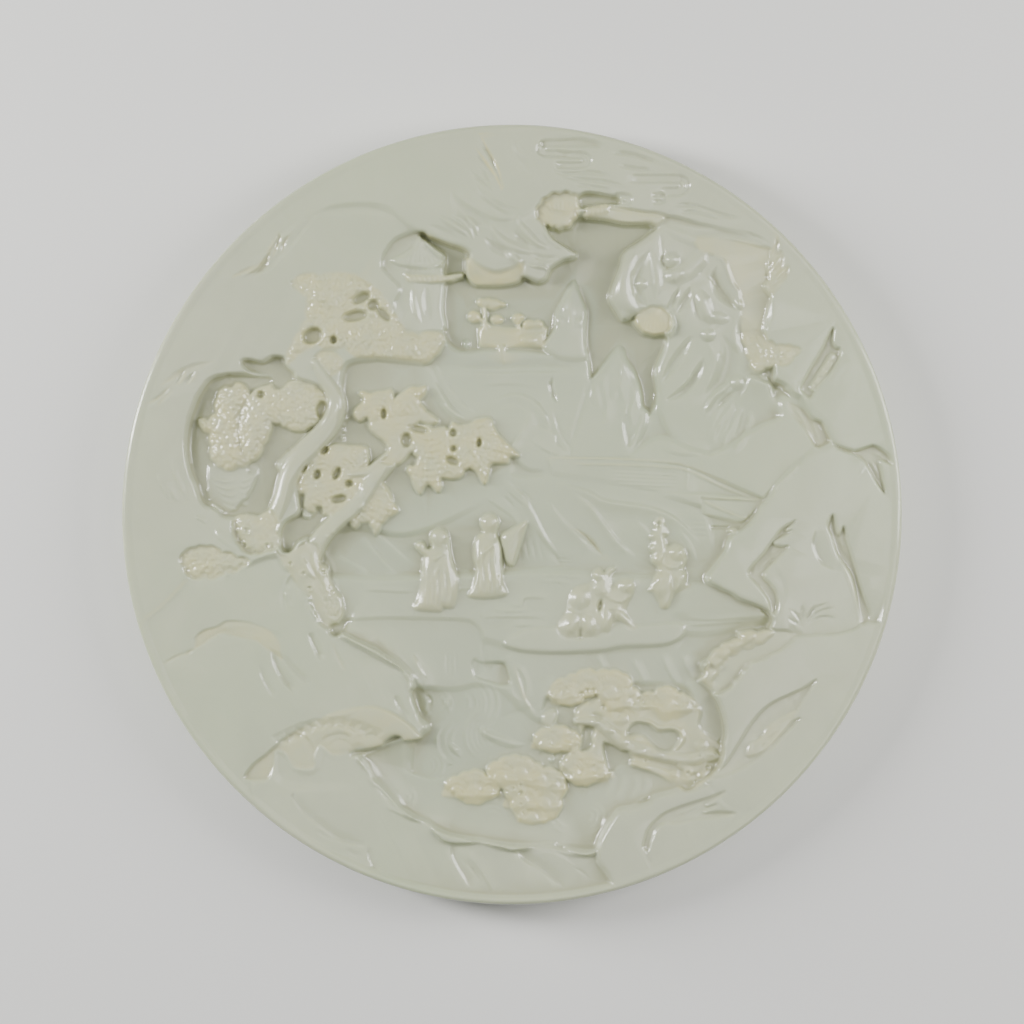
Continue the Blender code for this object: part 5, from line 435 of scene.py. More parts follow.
def carve_pagoda(c):
    """A round tower with a pointed roof and a balcony, in front of an arched hollow."""
    c.lay([(-95, 283), (-108, 280), (-119, 274), (-128, 261), (-130, 248), (-121, 237), (-112, 226),
           (-118, 210), (-116, 190), (-95, 180), (-72, 180), (-70, 200), (-72, 232), (-80, 262),
           (-88, 276)], 0.58, wall=5)
    c.lay([(-96, 284), (-83, 282), (-70, 275), (-56, 268), (-43, 262), (-44, 250), (-42, 240), (-58, 232),
           (-68, 222), (-70, 196), (-66, 178), (-56, 178), (-50, 210), (-66, 236), (-64, 256), (-80, 270)],
          0.14, wall=5)
    wall = [(-106, 238), (-102, 222), (-103, 208), (-112, 192), (-94, 184), (-68, 186), (-70, 208),
            (-71, 238)]
    c.lay(wall, ramp((-104, 210), (-70, 210), 0.62, 0.46), wall=3.5, crown=0.05, reach=8)
    c.stroke([(-100, 229), (-99, 214), (-95, 200), (-91, 190)], 7, 0.07)
    c.stroke([(-86, 230), (-86, 212), (-82, 194)], 9, -0.05)
    c.ledge([(-119, 212), (-116, 200), (-111, 190)], 0.06, 10, wall=2)
    balcony = [(-108, 242), (-90, 240.5), (-70, 240.5), (-49, 243), (-49, 238), (-60, 234), (-80, 232.5),
               (-106, 234)]
    c.lay(balcony, ramp((-100, 238), (-52, 238), 0.66, 0.52), wall=2.4, straight=True, cream=0.5)
    c.lay([(-106, 249), (-70, 249), (-72, 241), (-104, 241)], 0.54, wall=2.4, straight=True)
    roof = [(-93, 281.5), (-96, 274), (-101, 267), (-110, 260.5), (-122, 255), (-114, 250), (-98, 247.5),
            (-82, 247.5), (-68, 254), (-74, 260), (-84, 268), (-89, 275)]
    c.lay(roof, ramp((-110, 258), (-74, 258), 0.70, 0.56), wall=2.4, crown=0.05, reach=6, straight=True)
    if c.fine:
        for i in range(12):
            u = -106 + i * 5.0
            c.stroke([(u, 241), (u, 234.5)], 2.0, -0.05, taper=0.1)
        for i in range(9):
            u = -116 + i * 5.6
            c.stroke([(-93 + (u + 93) * 0.25, 273), (-93 + (u + 93) * 0.6, 262), (u, 251.5)], 1.8, -0.035,
                     taper=0.1)
        for i in range(7):
            u = -102 + i * 5
            c.stroke([(u, 247), (u, 243)], 1.8, -0.04, taper=0.1)
    c.stroke([(-121, 254.5), (-108, 250), (-94, 248), (-80, 248.5), (-69, 254)], 2.6, 0.03, taper=0.1)


def carve_top_rock(c):
    """The mass of rock that hangs over the sky."""
    left_end = ramp((-150, 320), (-102, 290), 0.0, 1.0)
    top_end = ramp((24, 340), (20, 302), 0.0, 1.0)

    def overhang(u, v):
        """Where the rock is cut at all: it fades out to its left and its top."""
        return left_end(u, v) * top_end(u, v)

    edge = [(-200, 340), (-150, 314), (-120, 300), (-104, 288), (-96, 283), (-88, 282), (-83, 278),
            (-72, 274), (-61, 270), (-51, 267), (-43, 262), (-44, 254), (-46, 246), (-44, 238), (-37, 231),
            (-27, 230), (-11, 230), (5, 233), (10, 238), (16, 237), (27, 233), (35, 237), (39, 246),
            (51, 254), (61, 257), (64, 262), (51, 270), (40, 278), (35, 288), (28, 300), (34, 322),
            (50, 350), (110, 420), (-60, 430), (-150, 400)]
    c.lay(edge, ramp((0, 340), (0, 240), 1.0, 0.80), wall=3.5, crown=0.06, reach=6, fade=overhang)
    c.lay([(-45, 258), (-46, 247), (-44, 238), (-37, 231), (-27, 230), (-11, 230), (5, 233), (10, 238),
           (11, 252), (0, 247), (-16, 243), (-32, 249)], ramp((0, 258), (0, 230), 0.80, 0.60), wall=6,
          crown=0.06, reach=6, cream=0.9)
    c.ledge([(-43, 262), (-51, 267), (-61, 270), (-72, 274), (-83, 279), (-92, 283)], -0.06, 7, wall=2,
            cream=0.8, taper=0.1)


def carve_tip_folds(c):
    """Long folds that sweep down to the overhang's tip."""
    c.stroke([(-54, 341), (-50, 328), (-42, 316), (-27, 307), (-10, 298), (6, 298)], 17, 0.09)
    c.stroke([(-62, 326), (-54, 310), (-38, 298), (-20, 288)], 16, -0.07)
    c.stroke([(-74, 299), (-62, 292), (-50, 284), (-42, 277)], 8, 0.10)
    c.stroke([(-62, 300), (-50, 294), (-42, 284), (-38, 274)], 6, 0.08)
    c.stroke([(-46, 300), (-38, 290), (-34, 278)], 6, 0.06)
    c.stroke([(-84, 290), (-66, 282), (-52, 274)], 8, -0.05)
    c.stroke([(-22, 290), (-16, 280), (-8, 272), (6, 266), (22, 262)], 13, 0.11)
    c.stroke([(-28, 278), (-18, 268), (-8, 262), (4, 258)], 10, -0.08)
    c.stroke([(-10, 264), (0, 259), (7, 252), (11, 242)], 9, 0.11)
    c.stroke([(6, 300), (8, 290), (16, 280), (24, 272), (38, 266)], 11, 0.10)
    c.stroke([(0, 284), (12, 274), (26, 268)], 7, -0.07)
    c.stroke([(18, 262), (32, 256), (48, 258)], 8, -0.07)
    c.stroke([(28, 288), (36, 279), (44, 272), (60, 263)], 8, 0.07)
    for i in range(3):
        c.stroke([(14 + i * 5, 251 - i * 2), (22 + i * 5, 249 - i), (36 + i, 250 - i * 4)], 4, 0.07)
    c.stroke([(-40, 340), (-30, 322), (-12, 308), (10, 304)], 10, -0.05)


def carve_grass_blades(c):
    """Blades of grass on the overhang."""
    for line in ([(-36, 384), (-28, 368), (-19, 354), (-12, 336), (-7, 318)],
                 [(-41, 370), (-31, 356), (-22, 344), (-12, 326)],
                 [(-45, 347), (-36, 338), (-28, 332), (-15, 320)], [(-30, 372), (-22, 360), (-16, 344)],
                 [(-34, 348), (-26, 338), (-18, 328)]):
        c.stroke(line, 5, -0.08)
    for line in ([(-32, 380), (-24, 364), (-15, 348), (-9, 328)], [(-36, 366), (-26, 352), (-16, 336)],
                 [(-24, 352), (-16, 338), (-9, 322)]):
        c.stroke(line, 3.4, 0.07, cream=1.0)
    c.stroke([(-5, 379), (-2, 366), (4, 354), (13, 343), (24, 337), (30, 322)], 9, 0.06)
    c.stroke([(2, 378), (6, 364), (14, 354), (28, 344)], 11, -0.05)
    c.stroke([(18, 344), (24, 332), (29, 320)], 5, 0.06)


def carve_tip_bush(c):
    """A low bush where the rock meets the clouds."""
    bush = lobed([(25, 300), (29, 311), (36, 318), (48, 321), (60, 321), (67, 317), (66, 304), (62, 294),
                  (52, 287), (43, 288), (36, 290), (28, 294)], 0.22)
    c.lay(bush, 0.80, wall=3, crown=0.10, reach=8, straight=True, cream=0.8)
    fan(c, 50, 284, 32, 50, 140, 9, -0.035, 2.6)
    c.stroke([(28, 312), (40, 304), (54, 302), (64, 306)], 5, -0.05)


def carve_clouds(c):
    """Flat scrolls of cloud in the upper right."""
    c.lay([(67, 318), (76, 322), (92, 320), (107, 316), (106, 311), (90, 311), (78, 308), (69, 307)], 0.46,
          wall=4)
    c.lay([(71, 301), (76, 297), (94, 295), (113, 291), (137, 291), (147, 288), (160, 294), (150, 301),
           (127, 304), (100, 309), (78, 308)], 0.86, wall=3, crown=0.10, reach=5, cream=0.5)
    for i in range(5):
        c.knob(76 + i * 4.6, 303 + i * 0.6, 3.4, 6.0, 0.82, 0.12, cream=0.8)
    c.stroke([(100, 306), (122, 303), (150, 299)], 4, -0.05)
    c.stroke([(78, 297), (110, 294), (140, 292)], 3.6, 0.04, cream=0.6)

    def scroll(u, v, radii, side, top, low):
        """Nested lines that turn back round (u, v), with the upper and the lower run going on to an end."""
        for r in radii:
            bend = [(u + side * r * math.cos(a),
                     v + 0.72 * r * math.sin(a)) for a in np.radians(np.arange(90, -91, -22.5))]
            c.stroke([(top, v + 0.72 * r)] + bend + [(low, v - 0.72 * r)], 4.0, -0.11, taper=0.12)

    scroll(36, 366, (3.5, 7, 10.5), -1, 96, 60)
    scroll(68, 354, (3.5, 7, 10.5), 1, 44, 40)
    scroll(164, 329, (5, 9, 13), 1, 112, 142)
    scroll(112, 315, (2.5, 5, 7.5), 1, 100, 104)
    scroll(148, 316, (3, 6), 1, 138, 140)
    for u, v, ru in ((138, 319, 2.4), (142, 318, 2.4), (146, 317, 2.4), (28, 368, 2.2), (24, 368, 2.2)):
        c.boss(u, v, ru, 5, 0.05)
    for line in ([(36, 346), (52, 341), (80, 342), (104, 337)],
                 [(46, 339), (70, 335), (96, 332), (118, 326)], [(60, 331), (84, 327), (104, 324)],
                 [(153, 309), (180, 309), (209, 300), (234, 294)], [(164, 302), (188, 302), (212, 294)],
                 [(96, 362), (120, 360), (150, 350)], [(104, 350), (124, 346), (144, 344)],
                 [(50, 374), (80, 377), (104, 372), (128, 366)]):
        c.stroke(line, 5, -0.10, taper=0.25)
    for line in ([(150, 300), (172, 293), (198, 287), (222, 283), (248, 276), (262, 268)],
                 [(168, 285), (190, 281), (214, 281), (240, 274), (256, 268)]):
        c.stroke(line, 7, -0.11, taper=0.2)
    c.stroke([(160, 290), (185, 286), (214, 285), (244, 277)], 6, 0.05, taper=0.2)


def carve_sky_pine(c):
    """A small pine behind a low wall, deep under the overhang."""
    c.lay([(-34, 188), (-24, 191), (-10, 189), (2, 188), (12, 189), (31, 191), (36, 188), (34, 168),
           (-33, 168)], 0.24, wall=3, straight=True, cream=0.7)
    c.lay([(-32.5, 187.5), (8, 185), (7, 180), (31, 184), (33, 168), (9, 170), (-5, 166.5), (-32.5, 170)],
          0.29, wall=3, straight=True, crown=0.03, reach=4, cream=0.85)
    for v in (183.5, 179.5, 175.5, 171.5):
        c.stroke([(-31, v), (-12, v - 0.6), (6, v - 1)], 1.8, -0.018, taper=0.1)
    c.boss(17, 175.5, 9, 6.5, 0.08)
    c.limb([(-28, 187, 2.2), (-27.5, 198, 2.0), (-28, 208, 2.2)], 0.27, 0.05, cream=0.9)
    c.limb([(-38, 198, 2), (-30, 195, 2), (-24, 190, 2.4)], 0.25, 0.05, cream=0.9)
    c.limb([(6, 194, 1.6), (7, 188, 1.8)], 0.25, 0.05, cream=0.9)
    c.limb([(-10, 167, 4.5), (-10, 160, 4.5), (-8, 153, 3.5)], 0.30, 0.08, cream=0.5)
    pads = ([(-35.5, 213), (-34, 217), (-28, 217.5), (-20, 217), (-12, 215), (-6, 211), (-12, 208.5),
             (-20, 205.5), (-25, 208), (-31, 209)],
            [(-44.5, 200), (-42, 204.5), (-36, 204.5), (-32, 201), (-32.5, 196), (-38, 193), (-43, 195)],
            [(-22, 198), (-17, 201), (-11, 200), (-8, 196), (-12, 192), (-19, 192)],
            [(0, 198), (3, 202), (9, 202), (12.5, 199), (10, 195), (7, 191.5), (2, 193)],
            [(11, 193), (16, 196), (22, 195), (28, 196), (31, 194), (31, 189), (22, 188), (12, 188)])
    for pad in pads:
        c.lay(lobed(pad, 0.12), 0.33, wall=2.4, crown=0.06, reach=5, straight=True, cream=1.0)
    if c.fine:
        for u, v in ((-20, 205), (-38, 194), (-15, 192), (6, 191), (21, 187)):
            fan(c, u, v, 9, 30, 150, 24, -0.02, 1.5, 0.2)
    c.knob(-46, 171.5, 4, 5, 0.16, 0.08)


def carve_peaks(c):
    """Two pointed rocks in the sky recess."""
    c.lay([(62, 234), (56, 227), (51, 217), (46, 208), (43, 198), (42, 186), (36, 176), (32, 166),
           (50, 156), (75, 156), (74, 170), (74, 188), (75, 204), (70, 218), (66, 228)],
          ramp((60, 236), (60, 160), 0.34, 0.45), wall=4, crown=0.06, reach=8)
    c.ledge([(65, 228), (72, 214), (74, 200), (72, 184), (73, 162)], -0.05, 10, wall=3)
    c.ledge([(60, 230), (56, 214), (58, 198), (54, 176)], 0.05, 14, wall=4)
    c.boss(47.5, 195, 4.5, 5, 0.05)
    c.boss(67.5, 193, 5, 6, 0.05)
    c.boss(58, 206, 7, 16, 0.04, turn=10)
    c.lay([(106.6, 166), (99, 155.6), (90.7, 145.4), (80.6, 137), (76, 122), (68, 100), (58, 60), (80, 54),
           (118, 60), (134, 84), (138, 102), (132, 109), (130, 121), (124, 135), (118, 147), (114, 156)],
          ramp((105, 165), (90, 60), 0.38, 0.46), wall=4, crown=0.06, reach=8)
    c.ledge([(106, 164), (110, 146), (108, 128), (112, 110)], 0.06, 16, wall=4)
    c.ledge([(92, 146), (90, 128), (94, 108), (90, 86)], 0.05, 16, wall=4)
    c.ledge([(120, 134), (122, 118), (118, 104), (120, 88)], 0.06, 12, wall=3)
    c.ledge([(111, 100), (112, 84), (117, 67)], -0.07, 14, wall=2)
    c.ledge([(117, 67), (124, 84), (130, 101)], -0.05, 12, wall=2)
    c.stroke([(41.5, 139), (39.5, 128), (45, 112)], 6, -0.09, taper=0.3)
    c.boss(104, 128, 6, 14, 0.04, turn=-8)
    c.boss(84, 120, 6, 16, 0.03, turn=14)


def carve_plateau(c):
    """The ledge under the sky and the valley that runs down from it on the left."""
    c.lay([(-118, 152), (-60, 156), (0, 152), (50, 156), (74, 150), (72, 120), (62, 80), (56, 52), (20, 44),
           (0, 60), (-20, 84), (-50, 96), (-70, 108), (-88, 130), (-120, 130)],
          ramp((0, 150), (0, 60), 0.36, 0.44), wall=6)
    c.ledge([(-70, 150), (-20, 148), (30, 150), (75, 146)], -0.08, 12, wall=3)
    c.ledge([(75, 142), (28, 143), (-20, 142), (-66, 144)], 0.05, 14, wall=3)
    c.ledge([(-44, 94), (-62, 110), (-76, 132), (-88, 152)], 0.10, 16, wall=3)
    c.ledge([(-34, 100), (-52, 114), (-66, 134), (-78, 152)], 0.06, 10, wall=3)
    c.ledge([(40, 82), (34, 100), (20, 116), (0, 121), (-22, 112)], 0.07, 14, wall=3)
    c.ledge([(26, 92), (16, 104), (0, 110), (-18, 104)], 0.04, 10, wall=3)
    c.ledge([(20, 104), (10, 85), (2, 74), (-8, 62)], 0.05, 14, wall=3)
    c.ledge([(41, 105), (47, 84), (58, 66), (63, 64)], -0.06, 12, wall=2)
    c.ledge([(70, 105), (66, 84), (60, 66)], 0.06, 14, wall=2.4)
    c.ledge([(20, 92), (36, 86), (44, 80), (45, 72), (56, 62)], -0.06, 12, wall=2.4)
    c.ledge([(20, 74), (34, 64), (50, 58), (60, 56)], 0.05, 12, wall=2.4)
    c.ledge([(-30, 130), (0, 131), (28, 128)], 0.04, 10, wall=3)


def carve_cave_rock(c):
    """The rounded, water-worn rock on the upper right, with its hollows."""
    c.lay([(150, 292), (160, 298), (190, 290), (232, 280), (262, 268), (266, 250), (262, 222), (260, 200),
           (254, 182), (262, 150), (262, 128), (268, 110), (262, 90), (232, 62), (190, 60), (160, 76),
           (148, 98), (146, 122), (144, 142), (148, 156), (156, 174), (163, 190), (154, 204), (124, 200),
           (112, 195), (105, 204), (99, 215), (100, 226), (108, 247), (113, 263), (131, 276)],
          ramp((190, 250), (215, 70), 0.80, 0.46), wall=5, crown=0.10, reach=8,
          fade=ramp((232, 292), (178, 262), 0.0, 1.0))


def carve_curl(c):
    """The cave rock's rounded left end, with its curl and two knobs at the head of a fold."""
    c.stroke([(124, 262), (115, 248), (111, 230), (115, 213), (127, 202)], 22, 0.13, taper=0.25)
    c.stroke([(138, 266), (130, 250), (124, 236), (127, 220), (136, 208)], 12, -0.10, taper=0.25)
    c.boss(129, 231, 7, 6, 0.10)
    c.stroke([(140, 268), (143, 252), (146, 234), (144, 214)], 12, 0.07)
    c.stroke([(148, 284), (151, 268), (152, 250)], 8, -0.05)
    c.stroke([(150, 290), (164, 282), (180, 275), (196, 268)], 14, 0.06)
    # two knobs at the head of a fold
    c.boss(160, 255, 8.5, 8, 0.16)
    c.stroke([(152, 262), (151, 253), (157, 246), (166, 249)], 5, -0.10, taper=0.2)
    c.stroke([(196, 262), (186, 254), (176, 244), (164, 238), (156, 234)], 22, 0.10, taper=0.15)
    c.boss(162, 240, 11, 8, 0.12, turn=25)
    # leaf-shaped cuts under them
    for line, width in (([(180, 230), (174, 216), (164, 200)], 10),
                        ([(168, 228), (162, 214), (155, 204)], 7)):
        c.stroke(line, width, -0.10)


def carve_leaf_dome(c):
    """A dome of leaves at the cave rock's lower edge."""
    c.lay(lobed([(123, 193), (128, 186), (137, 181), (148, 180), (157, 184), (160, 193), (156, 203),
                 (146, 208), (134, 206), (126, 201)], 0.12), 0.70, wall=3, crown=0.06, reach=8,
          straight=True, cream=0.9)
    fan(c, 142, 210, 28, 215, 325, 10, -0.03, 3)
    c.stroke([(124, 194), (134, 184), (150, 183), (158, 192)], 3, 0.05, cream=1.0)


def carve_rimmed_hollow(c):
    """A smooth hollow behind a rim."""
    c.lay([(186, 266), (186, 277), (209, 276), (231, 273), (247, 269), (260, 266), (258, 258), (255, 250),
           (257, 234), (252, 228), (259, 219), (256, 207), (252, 191), (247, 180), (231, 183), (229, 207),
           (228, 222), (220, 233), (215, 247), (212, 256), (200, 260)],
          ramp((225, 274), (238, 205), 0.90, 0.72), wall=4, cream=0.5)
    c.stroke([(200, 258), (212, 254), (216, 244), (222, 230), (231, 220)], 5, 0.07)
    c.stroke([(205, 250), (203, 238), (207, 225), (217, 213), (229, 204)], 13, -0.12)
    c.ledge([(184, 243), (198, 236), (207, 226), (216, 214), (228, 203)], -0.06, 18, wall=3)
    c.boss(227, 210, 5.5, 6, 0.09)
    c.stroke([(230, 200), (229, 184), (234, 166), (242, 146)], 7, -0.09)
    c.stroke([(224, 196), (223, 178), (228, 160)], 8, 0.05)


def carve_cave_slope(c):
    """A drip with a ball at its end, and what is cut in the slope beside it."""
    c.stroke([(188, 226), (191, 214), (195, 202), (201, 190)], 17, 0.14, taper=0.3)
    c.boss(208, 197, 11, 6, 0.08, turn=-10)
    c.boss(196.5, 180, 7, 7, 0.13)
    c.stroke([(181, 224), (184, 206), (190, 192)], 7, -0.06)
    # long leaf-shaped hollows on the slope
    c.stroke([(181, 180), (171, 164), (160, 147), (149, 130)], 12, -0.12)
    c.stroke([(176, 168), (166, 154), (156, 138)], 4, 0.06)
    c.stroke([(193, 158), (185, 140), (172, 124), (154, 114)], 12, -0.12)
    c.stroke([(184, 148), (175, 134), (164, 124)], 4, 0.06)
    c.stroke([(210, 180), (218, 162), (215, 142), (205, 124), (193, 108)], 26, -0.08)
    c.stroke([(196, 172), (204, 156), (200, 138), (190, 120)], 14, 0.05)
    # the lower tuft and its knob
    c.boss(226.5, 132.5, 8, 8, 0.12)
    c.stroke([(218, 140), (216, 130), (206, 122), (198, 112), (194, 102)], 10, 0.09)
    c.stroke([(226, 124), (216, 118), (206, 106)], 6, -0.07)
    c.stroke([(231, 138), (240, 143), (252, 139), (264, 128)], 6, 0.05)
    for line in ([(200, 76), (204, 92), (212, 108)], [(210, 72), (217, 90), (224, 108)],
                 [(222, 74), (229, 92), (232, 108)]):
        c.ledge(line, 0.05, 8, wall=3)


def carve_right_bush_top(c):
    """A flowering bush at the edge of the cave rock, and the spiky tuft above it."""
    bush = lobed([(230, 182), (240, 184), (250, 183), (256, 174), (264, 169), (273, 169), (282, 168),
                  (289, 165), (282, 158), (276, 150), (264, 150), (254, 146), (244, 142), (238, 154),
                  (234, 168)], 0.14)
    c.lay(bush, ramp((238, 164), (266, 156), 0.70, 0.93), wall=4, crown=0.03, reach=7, straight=True,
          cream=0.7)
    texture(c, bush, 0.04, 4.2, seed=8)
    for i in range(5):
        c.stroke([(244 + i * 8, 176 - i * 3), (250 + i * 6, 164 - i * 2), (252 + i * 4, 152)], 3, 0.05,
                 cream=0.8)
    tuft = [(266, 284), (262, 272), (259, 262), (256, 250), (257, 238), (253, 228), (259, 219), (266, 226),
            (271, 233), (276, 240), (276, 249), (271, 246), (272, 256), (269, 264), (266, 262), (267, 272)]
    c.lay(tuft, 0.90, wall=4, cream=0.5)
    for line in ([(265, 282), (262, 270), (258, 258)], [(270, 262), (264, 250), (258, 240)],
                 [(276, 248), (268, 240), (260, 230)], [(272, 236), (266, 230), (259, 222)]):
        c.stroke(line, 5, 0.07)
    c.stroke([(256, 262), (258, 250), (256, 238), (258, 226)], 6, -0.08, cream=0.6)
    c.stroke([(259, 218), (262, 204), (258, 190), (252, 180)], 10, 0.05)


def carve_right_slope(c):
    """The slope in front of the right plateau."""
    c.lay([(56, 56), (110, 58), (150, 78), (200, 62), (250, 90), (290, 100), (300, 66), (282, 46),
           (262, 26), (240, 4), (200, 6), (150, 14), (100, 20), (60, 30), (30, 44)],
          ramp((60, 50), (290, 90), 0.42, 0.66), wall=8)


def carve_bridge(c):
    """The bridge with its rails and planks."""
    bridge = [(34, 58), (90, 57.5), (140, 55), (175, 50), (212, 34), (250, 17), (254, 13), (204, 20),
              (161, 23), (110, 26), (60, 30), (40, 40)]
    c.lay(bridge, 0.48, wall=3, crown=0.03, reach=5, straight=True)
    c.stroke([(34, 57), (90, 56.5), (140, 54), (175, 49), (212, 33), (250, 16)], 2.6, 0.06, taper=0.06,
             cream=0.4)
    c.stroke([(60, 51), (110, 50), (150, 48), (178, 44), (214, 27), (246, 15)], 2.6, 0.04, taper=0.06,
             cream=0.3)
    c.stroke([(176, 50), (176, 36), (175, 24)], 2.6, 0.04, taper=0.06)
    if c.fine:
        for i in range(5):
            c.stroke([(96 + i * 2, 45 - i * 4), (132 + i, 43.5 - i * 4), (170, 41 - i * 3.6)], 2.0, -0.03,
                     taper=0.1)
            c.stroke([(181, 38 - i * 3), (204, 29 - i * 2.2), (232 - i * 3, 17.5 - i * 0.8)], 2.0, -0.03,
                     taper=0.1)
    c.ledge([(161, 22), (110, 27), (60, 33)], -0.08, 12, wall=3)


def carve_steps(c):
    """The steps at the bridge's foot and the cuts round them."""
    steps = [(190, 17), (218, 15.5), (252, 14.5), (246, 6), (240, -1), (230, -8), (212, -4), (190, 1)]
    c.lay(steps, 0.50, wall=2.6, crown=0.03, reach=5, straight=True)
    c.stroke([(190, 16.5), (218, 15.5), (250, 15)], 2.8, 0.05, taper=0.06, cream=0.4)
    c.stroke([(192, 14), (216, 3), (241, -6.5)], 2.8, 0.05, taper=0.06, cream=0.3)
    c.stroke([(190, 2), (206, -3), (228, -9)], 2.8, 0.05, taper=0.06, cream=0.3)
    if c.fine:
        for i in range(3):
            c.stroke([(195, 8 - i * 3), (208, 3 - i * 3), (224, -3 - i * 2)], 2.0, -0.03, taper=0.1)
    c.stroke([(198, -13), (210, -13), (222, -13.5)], 4, -0.07, taper=0.2)
    c.knob(222, -16, 5.5, 3, 0.46, 0.07, cream=0.3)
    for line in ([(214, 127), (202, 120), (196, 110), (192, 98)],
                 [(222, 112), (210, 98), (203, 84), (200, 72)],
                 [(226, 106), (220, 90), (214, 78), (212, 64)],
                 [(238, 104), (236, 88), (228, 74), (219, 60)]):
        c.ledge(line, 0.07, 9, wall=2.4)
    c.ledge([(150, 66), (172, 60), (200, 62)], 0.05, 16, wall=5)
    c.ledge([(117, 70), (113, 88), (117, 114)], 0.06, 8)


def carve_hills(c):
    """Rolling ground between the bridge and the figures, with rows of short cuts."""
    c.lay([(-60, -2), (-30, 24), (-12, 44), (10, 38), (40, 40), (90, 34), (150, 20), (190, 4), (200, -20),
           (196, -44), (150, -58), (50, -62), (-60, -60), (-190, -58), (-195, -20), (-150, -14),
           (-110, -20)], ramp((60, 36), (40, -60), 0.44, 0.30), wall=8)
    # one fold of ground over another
    folds = [([(46, -39), (34, -22), (22, 1), (10, 20), (-8, 36)], 0.09, 16),
             ([(-30, 20), (-14, 8), (2, -4), (10, -18)], 0.05, 12),
             ([(190, -30), (176, -14), (160, -1), (136, 8), (95, 14), (78, 23), (42, 34)], 0.10, 18),
             ([(124, -42), (108, -28), (95, -11), (80, 8), (62, 22)], 0.09, 18),
             ([(84, -40), (68, -22), (52, -6), (36, 14)], 0.06, 14),
             ([(150, -40), (142, -22), (126, -6)], 0.05, 12),
             ([(186, -46), (180, -30), (168, -14)], 0.05, 10),
             ([(-116, -60), (-132, -42), (-150, -22)], 0.08, 12),
             ([(-138, -64), (-156, -50), (-176, -40)], 0.06, 10),
             ([(-100, -50), (-116, -36), (-132, -22), (-150, -12)], 0.05, 12)]
    for line, rise, reach in folds:
        c.ledge(line, rise, reach, wall=3)
    for i in range(4):
        c.stroke([(60 + i * 6, -12 - i * 3), (74 + i * 4, -22 - i * 4), (86 + i * 2, -34 - i * 3)], 3,
                 -0.05, cream=0.6)
    for i in range(5):
        c.stroke([(24 + i * 4, -14 - i * 5), (30 + i * 4, -28 - i * 4), (36 + i * 4, -44 - i * 3)], 2.6,
                 -0.035)
    for i in range(4):
        c.stroke([(4 + i * 7, -18), (8 + i * 7, -34), (12 + i * 7, -50)], 2.4, -0.03)
    for i in range(4):
        c.stroke([(-12 + i * 5, 22 + i * 3), (-2 + i * 5, 12 + i * 3), (8 + i * 5, 4 + i * 3)], 2.6, -0.035)
    for i in range(5):
        c.stroke([(38 - i * 2, -46 - i * 3.4), (54, -45 - i * 3.4), (66 + i * 2, -47 - i * 3)], 2.4, -0.035)
    for i in range(4):
        c.stroke([(176 + i, -6 - i * 5), (186 + i, -6 - i * 5), (198 + i, -7 - i * 5)], 2.4, -0.03)


def carve_right_plateau(c):
    """The high flat rock on the right with its cut tufts and hollows."""
    outline = [(330, 76), (318, 72), (306, 66), (296, 62), (291, 58), (286, 48), (281, 40), (267, 28),
               (255, 15), (248, 6), (240, -7), (226, -17), (218, -23), (213, -37), (205, -52), (199, -67),
               (207, -73), (219, -79), (228, -85), (246, -91), (256, -96), (261, -105), (259, -115),
               (285, -121), (275, -131), (259, -140), (238, -147), (228, -160), (214, -180), (208, -196),
               (214, -214), (212, -230), (206, -246), (190, -262), (240, -300), (330, -250), (460, -60),
               (460, 120), (400, 100)]
    edge = [(262, -106), (246, -92), (228, -85), (212, -76), (199, -67), (205, -52), (213, -37), (226, -17),
            (240, -7), (255, 15), (267, 28), (281, 40), (291, 58), (306, 66)]
    c.ledge(edge, 0.18, 56, wall=4, taper=0.04)
    c.lay(outline, 1.0, wall=5, crown=0.04, reach=8)
    c.ledge([(278, -124), (301, -121), (324, -120), (343, -115), (354, -109), (388, -110)], -0.16, 60,
            wall=2, taper=0.05)
    c.ledge([(352, -108), (347, -80), (341, -61), (333, -45), (336, -24), (326, 0)], -0.06, 34, wall=3,
            taper=0.2)


def carve_tall_tuft(c):
    """A tall tuft cut into the flat."""
    c.lay([(321, 0), (316, -12), (320, -22), (324, -36), (331, -48), (339, -60), (344, -78), (350, -108),
           (354, -108), (358, -100), (352, -82), (347, -66), (341, -44), (336, -28), (332, -12),
           (326, -20)], 0.79, wall=3, cream=0.1)
    for line in ([(346, -94), (341, -72), (334, -54), (328, -42)], [(326, -10), (328, -26), (335, -42)],
                 [(332, -16), (333, -30), (339, -48)]):
        c.ledge(line, 0.05, 6, wall=1.8, cream=0.3)
    c.ledge([(306, -12), (301, -26), (303, -38), (310, -49), (327, -57)], -0.12, 26, wall=3, taper=0.3)


